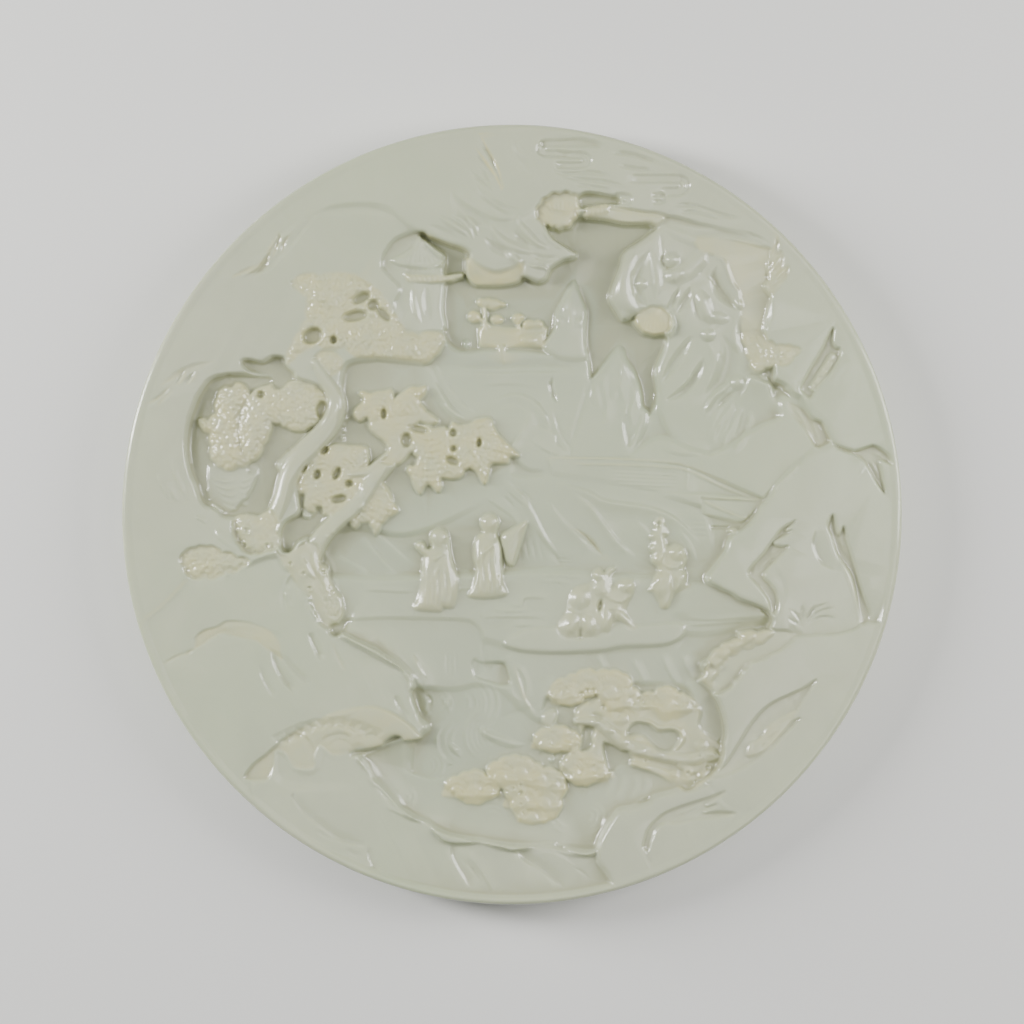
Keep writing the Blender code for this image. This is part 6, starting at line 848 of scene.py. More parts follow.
def carve_edge_stem(c):
    """A leafy stem at the flat's edge, and the fine grass beside it."""
    c.lay([(284, -6), (270, -14), (262, -24), (252, -38), (243, -48), (236, -57), (239, -64), (248, -74),
           (256, -86), (258, -96), (263, -100), (266, -92), (265, -80), (259, -70), (252, -62), (256, -54),
           (266, -44), (276, -32), (268, -32), (262, -28), (272, -22), (280, -16), (274, -16)], 0.80,
          wall=3, cream=0.15)
    c.ledge([(260, -96), (254, -84), (246, -74), (238, -62)], 0.08, 8, wall=2)
    c.ledge([(248, -56), (256, -48), (264, -40)], 0.05, 7, wall=1.8)
    for line in ([(256, -42), (262, -34), (270, -26)], [(260, -46), (268, -38), (274, -32)]):
        c.stroke(line, 2.6, 0.04)
    c.ledge([(264, -98), (273, -84), (272, -66), (262, -50), (258, -30)], -0.05, 26, wall=5, taper=0.3)
    c.boss(274, -101, 12, 14, 0.05, turn=35)
    # fine grass on the flat's lower edge
    for line in ([(292, -112), (284, -100), (276, -91)], [(292, -110), (291, -98), (289, -87)],
                 [(293, -110), (299, -98), (303, -88)], [(294, -109), (302, -95), (319, -87)],
                 [(295, -111), (306, -98), (326, -92)], [(295, -112), (308, -103), (326, -104)],
                 [(292, -112), (280, -106), (272, -100)]):
        c.stroke(line, 3, -0.06)


def carve_rim_fingers(c):
    """Two fingers cut in the rim."""
    c.lay([(321, 71), (341, 64), (356, 68), (363, 69), (374, 62), (386, 48), (376, 51), (368, 54),
           (370, 40), (373, 21), (363, 34), (353, 52), (342, 60), (330, 64)], 0.80, wall=2.6, cream=0.1)
    c.ledge([(322, 73), (340, 66), (354, 69), (364, 70), (376, 62), (388, 46)], 0.05, 14, wall=2, taper=0.12)
    for line in ([(352, 60), (362, 48), (370, 30)], [(358, 64), (370, 58), (380, 50)]):
        c.stroke(line, 2.6, 0.04)


def carve_right_rim(c):
    """Long leaves cut into the rim above the right plateau."""
    c.ledge([(320, 70), (316, 80), (312, 92), (300, 102), (294, 112), (291, 119), (278, 126), (264, 127),
             (259, 131), (236, 140)], 0.20, 52, wall=3, taper=0.04)
    c.lay([(285, 121), (291, 119), (294, 112), (300, 102), (312, 92), (316, 80), (320, 71), (306, 66),
           (292, 60), (280, 70), (270, 90), (266, 110), (272, 120)], ramp((268, 90), (312, 84), 0.74, 0.88),
          wall=14)
    c.lay([(276, 111), (283, 111), (293, 105), (301, 96), (310, 92), (314, 84), (318, 73), (305.5, 67),
           (299, 75), (293, 86), (284, 96)], 0.72, wall=3, cream=0.3)
    for line in ([(278, 110), (290, 96), (302, 70)], [(284, 110), (296, 98), (308, 74)],
                 [(292, 104), (304, 90), (314, 76)]):
        c.ledge(line, 0.04, 6, wall=1.8)
    c.ledge([(320, 71), (316, 80), (312, 92), (300, 102), (294, 112), (291, 119)], -0.05, 10, wall=2)
    c.lay([(321, 187), (310, 166), (299, 147), (289, 128), (291, 122), (298, 116.5), (302, 120),
           (305.5, 128), (318, 141), (327, 155.5), (328, 166), (324, 167), (321, 173)], 0.79, wall=3,
          cream=0.1)
    c.lay([(303, 124), (316, 142), (324, 158), (318, 160), (308, 144), (298, 128)], 0.87, wall=2.4,
          cream=0.3)
    for u, v in ((301, 130), (306, 138), (311, 146), (316, 153)):
        c.stroke([(u, v), (u + 5, v - 1)], 2.4, -0.04, taper=0.1)
    for line in ([(320, 184), (312, 168), (302, 148), (296, 132)],
                 [(323, 166), (316, 154), (306, 142), (301, 130)], [(326, 160), (318, 148), (308, 136)]):
        c.ledge(line, 0.035, 6, wall=1.8, cream=0.2)
    c.ledge([(331, 114), (341, 122), (347, 136), (346, 150)], 0.09, 26, wall=4)
    c.ledge([(240, 139), (259, 131), (264, 127), (278, 126), (290, 121)], 0.06, 12, wall=2.4, taper=0.1)


def carve_niche(c):
    """The oval hollow on the left, with fins on its floor."""
    c.lay([(-300, 136), (-312, 122), (-320, 104), (-325, 84), (-326, 64), (-323, 46), (-317, 30),
           (-310, 12), (-296, 4), (-286, -2), (-262, -2), (-246, 2), (-236, 20), (-232, 40), (-234, 52),
           (-215, 70), (-200, 80), (-186, 92), (-181, 108), (-190, 126), (-210, 134), (-228, 140),
           (-250, 140), (-280, 140)], ramp((-320, 60), (-220, 60), 0.46, 0.34), wall=6)
    c.ledge([(-306, 128), (-316, 110), (-323, 88), (-325, 64), (-322, 46), (-316, 32)], -0.10, 26, wall=4)
    for line in ([(-341, 56), (-338, 40), (-332, 26), (-325, 14)], [(-355, 40), (-351, 28), (-343, 15)],
                 [(-307, 26), (-304, 18), (-302, 10)], [(-346, 30), (-340, 20), (-336, 12)]):
        c.ledge(line, 0.07, 8)
    floor = [(-305, 44), (-300, 50), (-266, 50), (-256, 44), (-262, 24), (-274, 10), (-288, 0), (-303, 14)]
    c.lay(floor, 0.50, wall=4)
    for i in range(5):
        c.stroke([(-305 + i * 3, 40 - i * 7), (-290 + i * 3, 33 - i * 7), (-276 + i, 35 - i * 6)], 3, 0.05)
        c.stroke([(-276 + i, 36 - i * 6), (-268, 34 - i * 6), (-258 - i * 2, 42 - i * 7)], 3, 0.05)
    for line in ([(-312, 16), (-298, 8), (-287, 0)], [(-302, 12), (-294, 6), (-286, 0)],
                 [(-310, 11), (-298, 4), (-287, -2)]):
        c.stroke(line, 4, 0.12)


def carve_leaf_balls(c):
    """The knobby ball of leaves, the fine domed one and the holes round them."""
    knobby = lobed([(-290, 128), (-296, 118), (-297, 102), (-305, 95), (-315, 96), (-313, 88), (-303, 81),
                    (-302, 68), (-303, 60), (-298, 52), (-291, 47), (-283, 44), (-275, 48), (-266, 50),
                    (-262, 54), (-268, 70), (-272, 84), (-270, 100), (-264, 116), (-268, 130), (-280, 133)],
                   0.16)
    c.lay(knobby, 0.70, wall=3, crown=0.12, reach=14, straight=True, cream=0.75)
    texture(c, knobby, 0.07, 5.5, seed=1)
    domed = lobed([(-274, 96), (-270, 110), (-262, 122), (-246, 130), (-226, 134), (-206, 132), (-190, 124),
                   (-184, 112), (-192, 96), (-203, 87), (-214, 83), (-226, 87), (-233, 91), (-241, 92),
                   (-244, 80), (-250, 69), (-256, 56), (-264, 53), (-271, 62), (-275, 78)], 0.10)
    c.lay(domed, 0.70, wall=3, crown=0.12, reach=16, straight=True, cream=0.7)
    texture(c, domed, 0.065, 4.6, seed=2)
    c.ledge([(-264, 54), (-271, 68), (-274, 84), (-272, 100), (-266, 114)], -0.05, 12)
    for u, v, ru, rv in ((-252, 120.5, 4, 3.4), (-305.5, 107, 5.5, 8.5), (-190.5, 105, 6, 8.5),
                         (-261, 46, 5, 6), (-284, 134, 6.5, 6)):
        c.hole(u, v, ru, rv, 0.42)
    c.lay([(-270, 152.5), (-264, 155), (-251, 152.5), (-245, 155), (-239, 158), (-229, 157), (-227, 150),
           (-218, 140), (-224.5, 133), (-232, 126), (-239, 128), (-244, 138), (-254, 140), (-264, 144)],
          0.42, wall=5)


def carve_upper_foliage(c):
    """The pecked cluster of leaves above the tree."""
    main = lobed([(-221, 232), (-208, 241), (-192, 239), (-178, 242), (-163, 241), (-150, 236), (-138, 228),
                  (-128, 218), (-122, 206), (-114, 194), (-106, 184), (-94, 180), (-82, 184), (-68, 180),
                  (-70, 168), (-78, 158), (-90, 150), (-104, 150), (-118, 152), (-136, 156), (-148, 156),
                  (-160, 160), (-168, 168), (-182, 166), (-196, 170), (-206, 166), (-214, 160), (-226, 150),
                  (-220, 172), (-212, 184), (-206, 196), (-206, 208), (-204, 218), (-214, 224)], 0.12)
    c.lay(main, ramp((-230, 230), (-80, 160), 0.86, 0.66), wall=3.5, crown=0.05, reach=8, straight=True,
          cream=0.75)
    parts = [((-192, 220), 22, 14), ((-158, 226), 20, 10), ((-146, 176), 20, 10), ((-104, 168), 20, 12),
             ((-180, 180), 14, 9), ((-140, 206), 12, 8)]
    for (u, v), ru, rv in parts:
        c.boss(u, v, ru, rv, 0.05)
    texture(c, main, 0.06, 4.4, seed=3)
    clump = [(-200, 152), (-193, 163), (-180, 164), (-170, 156), (-172, 144), (-184, 138), (-197, 142)]
    c.lay(clump, 0.74, wall=3.5, crown=0.08, reach=10, cream=0.7)
    texture(c, clump, 0.06, 4.4, seed=4)
    for u, v, ru, rv, turn in ((-200, 179, 10, 7.5, 25), (-179, 175, 3.4, 3.4, 0), (-151, 217, 9, 4.5, 25),
                               (-157, 199, 12, 5, 10), (-139, 210, 6, 5, 0), (-129, 201, 9, 4, -45)):
        c.hole(u, v, ru, rv, 0.50, turn)
    c.ledge([(-200, 226), (-190, 214), (-176, 208), (-164, 212)], 0.04, 10)
    c.ledge([(-134, 186), (-120, 178), (-102, 176), (-88, 180)], 0.04, 10)


def carve_left_tree(c):
    """The ground behind the old tree."""
    c.lay([(-166, 150), (-140, 156), (-110, 154), (-88, 150), (-76, 132), (-90, 110), (-100, 70), (-96, 58),
           (-40, 40), (0, 48), (-20, 20), (-60, -4), (-108, -20), (-150, -14), (-190, -14), (-215, 18),
           (-200, 76), (-176, 96), (-172, 124)], 0.41, wall=8)


def carve_tree_leaves(c):
    """The veined leaves between the tree's limbs."""
    leaves = lobed([(-218, 56), (-206, 64), (-196, 68), (-185, 69), (-166, 70), (-146, 68), (-144.5, 62),
                    (-144, 48), (-148, 44), (-140, 40), (-136, 34), (-129, 32), (-119, 12), (-114, 3),
                    (-124, -3), (-131, -10), (-137, -21), (-140, -14), (-144, -8), (-152, -9), (-158, -15),
                    (-164, -7), (-172, -2), (-186, 0), (-198, 2), (-206, 4), (-212, 18), (-216, 36)], 0.08)
    c.lay(leaves, 0.62, wall=3, crown=0.06, reach=8, straight=True, cream=0.75)
    for (u, v), ru, rv in (((-190, 56), 20, 12), ((-160, 58), 16, 12), ((-195, 24), 16, 16),
                           ((-160, 18), 18, 14), ((-130, 6), 12, 16)):
        c.boss(u, v, ru, rv, 0.04)
    comb(c, leaves, -186, 28, 56, 0.014, 5)
    comb(c, leaves, -130, 40, 64, 0.012)
    texture(c, leaves, 0.035, 4.2, seed=14)
    c.stroke([(-145, 66), (-144, 58), (-144, 48)], 3, 0.05, cream=0.9)
    c.stroke([(-132, 34), (-124, 18), (-115, 4)], 3, 0.06, cream=0.8)
    for u, v, ru, rv, turn in ((-189, 65, 4.2, 3.8, 0), (-210, 47, 2.8, 6.2, -35),
                               (-195.5, 40, 3.4, 4.2, -20), (-176, 41, 3.4, 6, -30),
                               (-163.5, 31, 3.8, 2.8, 0), (-173.5, 15.5, 7.5, 3.6, 12)):
        c.hole(u, v, ru, rv, 0.34, turn)
    c.lay([(-233, -27), (-232, -16), (-227, -7), (-214, 2), (-213, 18), (-208, 19), (-210, 7), (-209, -2),
           (-203, -3), (-197, 0), (-197, 7), (-191, 7), (-190, 0), (-192, -11), (-201, -20), (-214, -27),
           (-221, -37), (-230, -37)], 0.36, wall=4.5)


def carve_tree_limbs(c):
    """The tree's two limbs and the smooth gap beside the upper one."""
    c.lay([(-168, 90), (-160, 98), (-150, 94), (-143, 86), (-136, 79), (-129, 74), (-125, 66), (-126, 58),
           (-131, 52), (-138, 47), (-143, 46), (-144, 66), (-150, 70), (-166, 71), (-170, 80)], 0.34,
          wall=4)
    c.limb([(-198, 152, 4.5), (-188, 136, 6.5), (-178, 120, 8), (-177, 104, 9), (-186, 86, 10),
            (-203, 68, 11), (-217, 52, 10), (-226, 33, 9), (-230, 18, 8.5), (-237, 0, 8.5), (-242, -16, 8),
            (-243, -28, 6)], 0.66, 0.16, cream=0.2)
    c.limb([(-200, -52, 6), (-200, -40, 9), (-192, -24, 9), (-177, -8, 8), (-160, 6, 7.5), (-149, 18, 7.5),
            (-141, 32, 8), (-130, 46, 8), (-120, 58, 7.5), (-115, 72, 6), (-113, 84, 4)], 0.62, 0.14,
           cream=0.2)
    c.limb([(-162, 40, 2.2), (-152, 41, 3.2), (-144, 43, 4.5), (-134, 49, 6), (-122, 58, 6)], 0.60, 0.12,
           cream=0.3)
    for line, rise in (([(-248, -20), (-243, 0), (-236, 24), (-228, 46), (-212, 64)], -0.05),
                       ([(-236, -14), (-228, 10), (-222, 32), (-210, 50), (-194, 66)], 0.05),
                       ([(-188, 90), (-182, 104), (-183, 116)], 0.06),
                       ([(-134, 30), (-126, 46), (-118, 58)], 0.05),
                       ([(-186, -24), (-170, -10), (-152, 4)], 0.05)):
        c.ledge(line, rise, 8)
    for u, v in ((-226, 62), (-220, 66), (-169, 90), (-169, 84), (-170, 77), (-184, -22), (-178, -18),
                 (-150, 30), (-168, 96), (-238, -10)):
        c.boss(u, v, 2.6, 2.6, 0.06)
    c.boss(-150, 6.7, 5, 5, 0.08)
    c.boss(-183, -1, 4, 4, 0.07)
    c.stroke([(-175, 126), (-173, 110), (-178, 93)], 4.5, 0.05)


def carve_root(c):
    """The knotted foot of the tree and the root to its left."""
    root = lobed([(-277, -2), (-269, 0), (-262, 0), (-254, -3), (-243, 4), (-236, -2), (-236, -16),
                  (-234, -31), (-246, -36), (-257, -39), (-263, -39), (-272, -31), (-276, -24),
                  (-279, -13)], 0.14)
    c.lay(root, 0.74, wall=3.5, crown=0.08, reach=10, straight=True, cream=0.6)
    texture(c, root, 0.045, 4.6, seed=41)
    for u, v, r in ((-266, -15.6, 4.4), (-268, -30.7, 3.5), (-245.6, -30.7, 4), (-258, -37, 2.6)):
        button(c, u, v, r)
    c.ledge([(-277, -2), (-281, -13), (-277, -25), (-270, -35), (-260, -41)], -0.05, 10, wall=2.4)
    c.ledge([(-317, -3), (-311, -6), (-307, -9)], 0.07, 8)
    c.ledge([(-297, -14), (-294, -22), (-288, -28), (-276, -36)], 0.10, 10)
    c.lay([(-236, -36), (-230, -40), (-222, -38), (-214, -31), (-205, -27), (-196, -30), (-192, -38),
           (-192, -49), (-186, -53), (-183, -64), (-177, -76), (-171, -84), (-169, -98), (-173, -108),
           (-180, -114), (-190, -111), (-198, -95), (-201, -84), (-206, -79), (-215, -71), (-222, -60),
           (-230, -47)], ramp((-228, -60), (-172, -60), 0.84, 0.60), wall=4, crown=0.05, reach=9,
          cream=0.45)
    c.ledge([(-190, -34), (-188, -44), (-190, -50), (-197, -46)], 0.06, 7, wall=2)
    for line, width in (([(-234, -37), (-230, -49), (-222, -59)], 7),
                        ([(-221, -63), (-225, -78), (-222, -91)], 7),
                        ([(-202, -84), (-199, -97), (-190, -109)], 7),
                        ([(-212, -40), (-204, -56), (-196, -66)], 8),
                        ([(-200, -36), (-197, -52), (-190, -68)], 6)):
        c.stroke(line, width, 0.07)
    c.ledge([(-222, -60), (-230, -47), (-234, -36)], -0.07, 12, wall=2, taper=0.15)
    c.ledge([(-206, -79), (-215, -71), (-222, -60)], -0.06, 10, wall=2, taper=0.15)
    c.ledge([(-190, -111), (-198, -95), (-201, -84)], -0.07, 12, wall=2, taper=0.15)
    texture(c,
            [(-194, -71), (-184, -66), (-175, -78), (-170, -90), (-172, -106), (-184, -108), (-192, -92)],
            0.055, 4.4, seed=17)
    for u, v in ((-221.8, -49.3), (-208.9, -59.3), (-202.9, -73.8), (-189, -58)):
        button(c, u, v, 3.4)
    for line in ([(-196, -44), (-190, -66), (-184, -90)], [(-186, -40), (-180, -62), (-176, -86)]):
        c.ledge(line, 0.05, 8)
    c.ledge([(-226, -98), (-227, -80), (-222, -66)], -0.06, 10)
    c.hole(-176.7, -115.6, 6.5, 6, 0.38, wall=4)


def carve_leaf_groups(c):
    """Two groups of broad, pointed leaves that stand in front of the middle distance."""
    stem = [(-142, 96), (-143, 86), (-136, 79), (-129, 74), (-124.5, 67), (-126, 59), (-131, 52),
            (-114, 50), (-104, 60), (-97, 66), (-98, 80), (-94, 92), (-82, 90), (-74, 94), (-86, 104),
            (-104, 104), (-130, 100)]
    c.lay(stem, 0.62, wall=3, crown=0.03, reach=8, cream=0.75)
    texture(c, smooth_line(stem, True), 0.03, 4.0, seed=28)
    one = [(-159, 99), (-158, 106), (-151, 113), (-149.5, 117), (-153.5, 121), (-151, 124.5), (-142, 122),
           (-135.5, 124), (-129, 124.5), (-120.5, 126), (-118, 116), (-114, 106), (-118, 97), (-130, 94),
           (-141, 92), (-146, 97), (-153, 93)]
    two = [(-122, 106), (-118, 116), (-113, 121), (-102, 128), (-94, 128), (-86.5, 129), (-87, 121),
           (-92, 114), (-86.5, 105), (-90, 99), (-104, 98), (-116, 98)]
    three = [(-104, 82), (-98, 90), (-84, 89), (-78, 87), (-66, 88), (-60, 78), (-60, 64), (-58, 52),
             (-48, 45), (-52, 37), (-60, 35), (-71, 36), (-71, 27), (-74.5, 22), (-82, 29), (-87, 28),
             (-92, 20), (-98, 27), (-102, 38), (-105.5, 44), (-103, 49), (-98, 50), (-95, 57), (-99.5, 61),
             (-98, 70)]
    four = [(-64, 82), (-62, 90), (-59, 93), (-52, 90.5), (-42, 92), (-35.5, 95.5), (-22, 97), (-18, 88.5),
            (-13, 80), (-4.5, 71.5), (8, 59), (-2, 57), (-4, 51), (-20, 50.5), (-23, 42), (-25.5, 31.5),
            (-29.5, 31.5), (-35.5, 42), (-42.5, 46), (-47, 44.5), (-54, 48), (-60, 58), (-64, 70)]
    bases = ((-136, 94), (-116, 98), (-84, 88), (-66, 76))
    for number, (line, (u, v)) in enumerate(zip((one, two, three, four), bases)):
        c.lay(line, 0.64, wall=2.8, crown=0.05, reach=7, cream=0.85)
        comb(c, smooth_line(line, True), u, v, 58, 0.016, 6)
        texture(c, smooth_line(line, True), 0.035, 4.2, seed=20 + number)
    for line in ([(-136, 94), (-140, 106), (-152, 122)], [(-134, 96), (-132, 110), (-128, 122)],
                 [(-116, 98), (-104, 112), (-90, 126)], [(-84, 90), (-84, 66), (-90, 26)],
                 [(-84, 70), (-96, 48)], [(-82, 62), (-70, 48), (-54, 40)], [(-82, 52), (-76, 30)],
                 [(-66, 78), (-40, 74), (4, 60)], [(-56, 76), (-38, 86), (-24, 94)],
                 [(-46, 72), (-34, 54), (-27, 36)], [(-50, 78), (-56, 90)]):
        c.stroke(line, 3, 0.035, taper=0.2)
    for u, v, ru, rv, turn in ((-129, 101, 3, 4.8, 0), (-93, 85.5, 9, 3.4, -12), (-106, 74.5, 5.4, 7, 0),
                               (-58.5, 66, 3.2, 2.4, 0), (-60, 54, 6.5, 3.4, -20), (-33, 72, 2.6, 4, -10),
                               (-59, 82, 3.6, 3.4, 0), (-100, 54, 4, 5, 0)):
        c.hole(u, v, ru, rv, 0.38, turn)
    c.ledge([(-52, 97), (-60, 104), (-66, 113)], 0.07, 10)


def carve_terraces(c):
    """The flat ground of the figures."""
    c.lay([(-196, -62), (-140, -66), (-60, -60), (44, -56), (110, -62), (170, -66), (200, -70), (222, -82),
           (254, -98), (250, -108), (200, -120), (172, -120), (150, -130), (60, -136), (-8, -130),
           (-40, -124), (-120, -120), (-190, -110), (-176, -90)], 0.42, wall=9)
    c.ledge([(44, -57), (-40, -62), (-120, -65), (-194, -62)], 0.04, 14, wall=4)
    for line in ([(-60, -76), (-30, -74), (-6, -78)], [(-150, -76), (-110, -78), (-98, -77)],
                 [(-32, -104), (0, -103), (38, -104)], [(-3, -91), (10, -92), (14, -84), (37, -85)],
                 [(1, -112), (20, -112), (37, -111)], [(-20, -97), (0, -98), (18, -97)]):
        c.ledge(line, 0.05, 9, wall=2)
    for line in ([(23, -57), (40, -55.5), (59, -54)], [(30, -62), (50, -62), (70, -64)],
                 [(26, -68), (44, -68), (60, -70)]):
        c.ledge(line, 0.04, 6, wall=1.8)
    c.lay([(-8, -131), (-3, -124), (8, -118), (19, -114), (46, -112), (80, -110), (127, -111), (165, -109),
           (174, -113), (172, -122), (153, -131), (111, -133), (90, -137), (50, -139), (23, -138.5),
           (4, -136)], 0.50, wall=4, crown=0.02, reach=6)


def carve_rock_faces(c):
    """The hollow under the ledge and the stepped rock faces below it."""
    c.lay([(-194, -108), (-150, -105), (-120, -104), (-53, -105.6), (-38, -110), (-31, -118), (-29, -127),
           (-18, -132), (-8, -134), (20, -142), (60, -142), (108, -139), (160, -136), (176, -126),
           (200, -140), (190, -150), (192, -164), (150, -176), (100, -160), (40, -170), (27, -202),
           (-4, -186), (-40, -178), (-92, -196), (-104, -160), (-150, -128)], 0.35, wall=5)
    c.ledge([(-172, -120), (-134, -141), (-106, -159), (-101, -177), (-97, -197), (-86, -212)], 0.22, 54,
            wall=4, taper=0.04)
    c.lay([(-39, -146), (-30, -149), (-10, -149), (-4, -156), (-2, -170), (-12, -172), (-26, -168),
           (-38, -162)], ramp((-36, -150), (-4, -164), 0.29, 0.18), wall=3)
    c.lay([(-4, -142), (-1, -160), (2, -178), (14, -188), (23, -201), (27, -202), (34, -189), (38, -175),
           (46, -168), (58, -160), (72, -148), (66, -142), (30, -142)],
          ramp((20, -140), (20, -200), 0.36, 0.34), wall=4)
    c.ledge([(24, -201), (14, -186), (8, -168), (2, -150)], 0.07, 7, wall=1.8, cream=0.5)
    c.ledge([(2, -150), (10, -160), (14, -170), (14, -186)], 0.06, 8, wall=1.8)
    c.ledge([(28, -199), (34, -188), (38, -176), (44, -164)], 0.07, 14, wall=2.4)
    c.ledge([(12, -188), (3, -182), (-2, -170)], 0.04, 8, wall=2)
    c.ledge([(-86, -164), (-93, -152), (-99, -140)], 0.07, 9, wall=1.8, cream=0.4)
    c.ledge([(-92, -170), (-104, -154), (-118, -142), (-140, -130)], 0.08, 14, wall=2.4)
    c.ledge([(-98, -176), (-112, -160), (-130, -148)], 0.05, 10, wall=2.4)
    for u in (-66, -62, -57):
        c.stroke([(u, -135), (u + 1, -150), (u, -165)], 2.6, -0.025)
    c.ledge([(-30, -128), (-30, -140), (-26, -158)], -0.05, 10, wall=2.4)
    c.lay([(172, -72), (196, -70), (216, -79), (250, -94), (258, -101), (256, -106), (210, -104),
           (164, -102), (166, -86)], 0.48, wall=7, crown=0.04, reach=12)
    for line in ([(165, -105), (205, -106), (256, -102)], [(170, -113), (205, -110), (240, -107)]):
        c.ledge(line, 0.05, 10, wall=2)
    for line in ([(120, -146), (128, -160), (134, -174)], [(150, -140), (156, -156), (166, -172)],
                 [(170, -140), (174, -152), (182, -166)], [(84, -142), (90, -152), (92, -158)]):
        c.ledge(line, 0.05, 10, wall=3)


def carve_water(c):
    """Water at the foot of the rocks, with nested ripples."""
    c.lay([(-100, -176), (-60, -176), (-20, -172), (10, -196), (30, -206), (40, -180), (120, -170),
           (180, -176), (206, -200), (212, -228), (200, -256), (140, -284), (100, -300), (86, -332),
           (40, -332), (-20, -328), (-70, -318), (-100, -300), (-128, -276), (-150, -246), (-128, -232),
           (-92, -222), (-96, -200)], 0.28, wall=8)

    def ripples(u, v, radii, first, last, rise, squash=0.8):
        """Nested arcs round a point, each a thin lip that falls away outwards."""
        for r in radii:
            arc = [(u + r * math.cos(a),
                    v + squash * r * math.sin(a)) for a in np.radians(np.linspace(last, first, 7))]
            c.ledge(arc, rise, 5, wall=2, taper=0.3)

    shore = [(-98, -226), (-118, -226), (-140, -237), (-156, -243), (-144, -258), (-127, -280),
             (-104, -302), (-84, -311), (-68, -326), (-45, -329), (-15, -332), (3, -336), (40, -331),
             (66, -340), (84, -338), (98, -309), (120, -293), (146, -281), (187, -272), (202, -262)]
    c.ledge(shore, 0.26, 70, wall=2, taper=0.02)
    ripples(-58, -190, (14, 22, 26, 30, 36, 43), -48, 48, 0.05)
    ripples(-78, -190, (10, 15), -60, 60, 0.05)
    ripples(-100, -190, (14, 20), -60, 50, 0.05)
    ripples(-8, -222, (18, 23, 28, 33, 38), 118, 236, 0.05)
    ripples(-20, -228, (40, 47, 55), 140, 225, 0.05, 0.6)
    c.stroke([(-36, -212), (-18, -224), (2, -231), (14, -231)], 12, 0.07)
    ripples(-92, -253, (4, 8, 12, 17, 22), -70, 70, 0.04)
    ripples(-110, -284, (6, 11), -60, 60, 0.04)
    ripples(74, -304, (6, 12, 18), -80, 70, 0.05)
    ripples(66, -296, (24, 30), 150, 250, 0.04)
    ripples(-20, -306, (8, 14, 20), 20, 150, 0.03)
    ripples(40, -322, (8, 14), 20, 150, 0.03)
    for i in range(5):
        c.stroke([(-14 + i * 6, -206 + i * 0.5), (-4 + i * 6, -201 + i * 1.5), (4 + i * 6, -194 + i)], 2.2,
                 -0.03)
    c.boss(-65, -190, 2.4, 6, 0.06)
    c.boss(-24, -222, 10, 4, 0.05, turn=-25)
    c.boss(-58, -236, 10, 4, 0.05, turn=-35)


def carve_right_lower_bush(c):
    """Small scalloped leaves that hang from the plateau, and the edge of the hollow under them."""
    bush = lobed([(285, -120), (264, -116), (247, -117), (232, -116.5), (226, -118), (228, -124),
                  (226, -128), (218, -127), (208, -133), (200, -140), (196, -147), (198, -152), (194, -160),
                  (189, -168), (190, -176), (200, -180), (214, -176), (224, -166), (232, -156), (240, -148),
                  (260, -140), (275, -131)], 0.10)
    c.lay(bush, ramp((200, -160), (280, -122), 0.66, 0.86), wall=3, crown=0.03, reach=8, straight=True,
          cream=0.15)
    texture(c, lobed([(226, -118), (240, -122), (236, -132), (224, -140), (214, -152), (204, -168),
                      (194, -174), (190, -168), (196, -150), (204, -136), (218, -128)], 0.1), 0.05, 5.5,
            seed=33)
    leaves = lobed([(262, -117), (246, -119), (232, -118), (228, -124), (218, -128), (208, -134),
                    (200, -141), (197, -150), (193, -160), (190, -168), (198, -176), (202, -164),
                    (208, -152), (218, -142), (230, -134), (244, -130), (256, -124)], 0.18)
    c.lay(leaves, ramp((200, -160), (260, -118), 0.70, 0.92), wall=2.6, crown=0.04, reach=6, straight=True,
          cream=0.6)
    for u, v in ((206, -150), (212, -140), (224, -132), (238, -124), (199, -162)):
        c.boss(u, v, 7, 6, 0.05)
    for line in ([(246, -118), (240, -126), (230, -132), (222, -134)],
                 [(228, -134), (216, -142), (206, -152), (198, -156)],
                 [(216, -150), (208, -160), (200, -168)]):
        c.ledge(line, -0.05, 8, wall=1.8)
    c.ledge([(285, -121), (275, -131), (259, -140), (238, -147), (230, -158), (218, -176)], 0.06, 14,
            wall=2.4, taper=0.1)
    c.lay([(176, -170), (190, -168), (203, -182), (210, -198), (213, -212), (212, -224), (205, -229),
           (189, -224), (180, -220), (184, -206), (184, -190)], 0.42, wall=6)
    c.ledge([(173, -220), (189, -222), (204, -229)], -0.06, 9, wall=2)
    c.ledge([(204, -229), (190, -223), (180, -221)], -0.04, 10, wall=2)


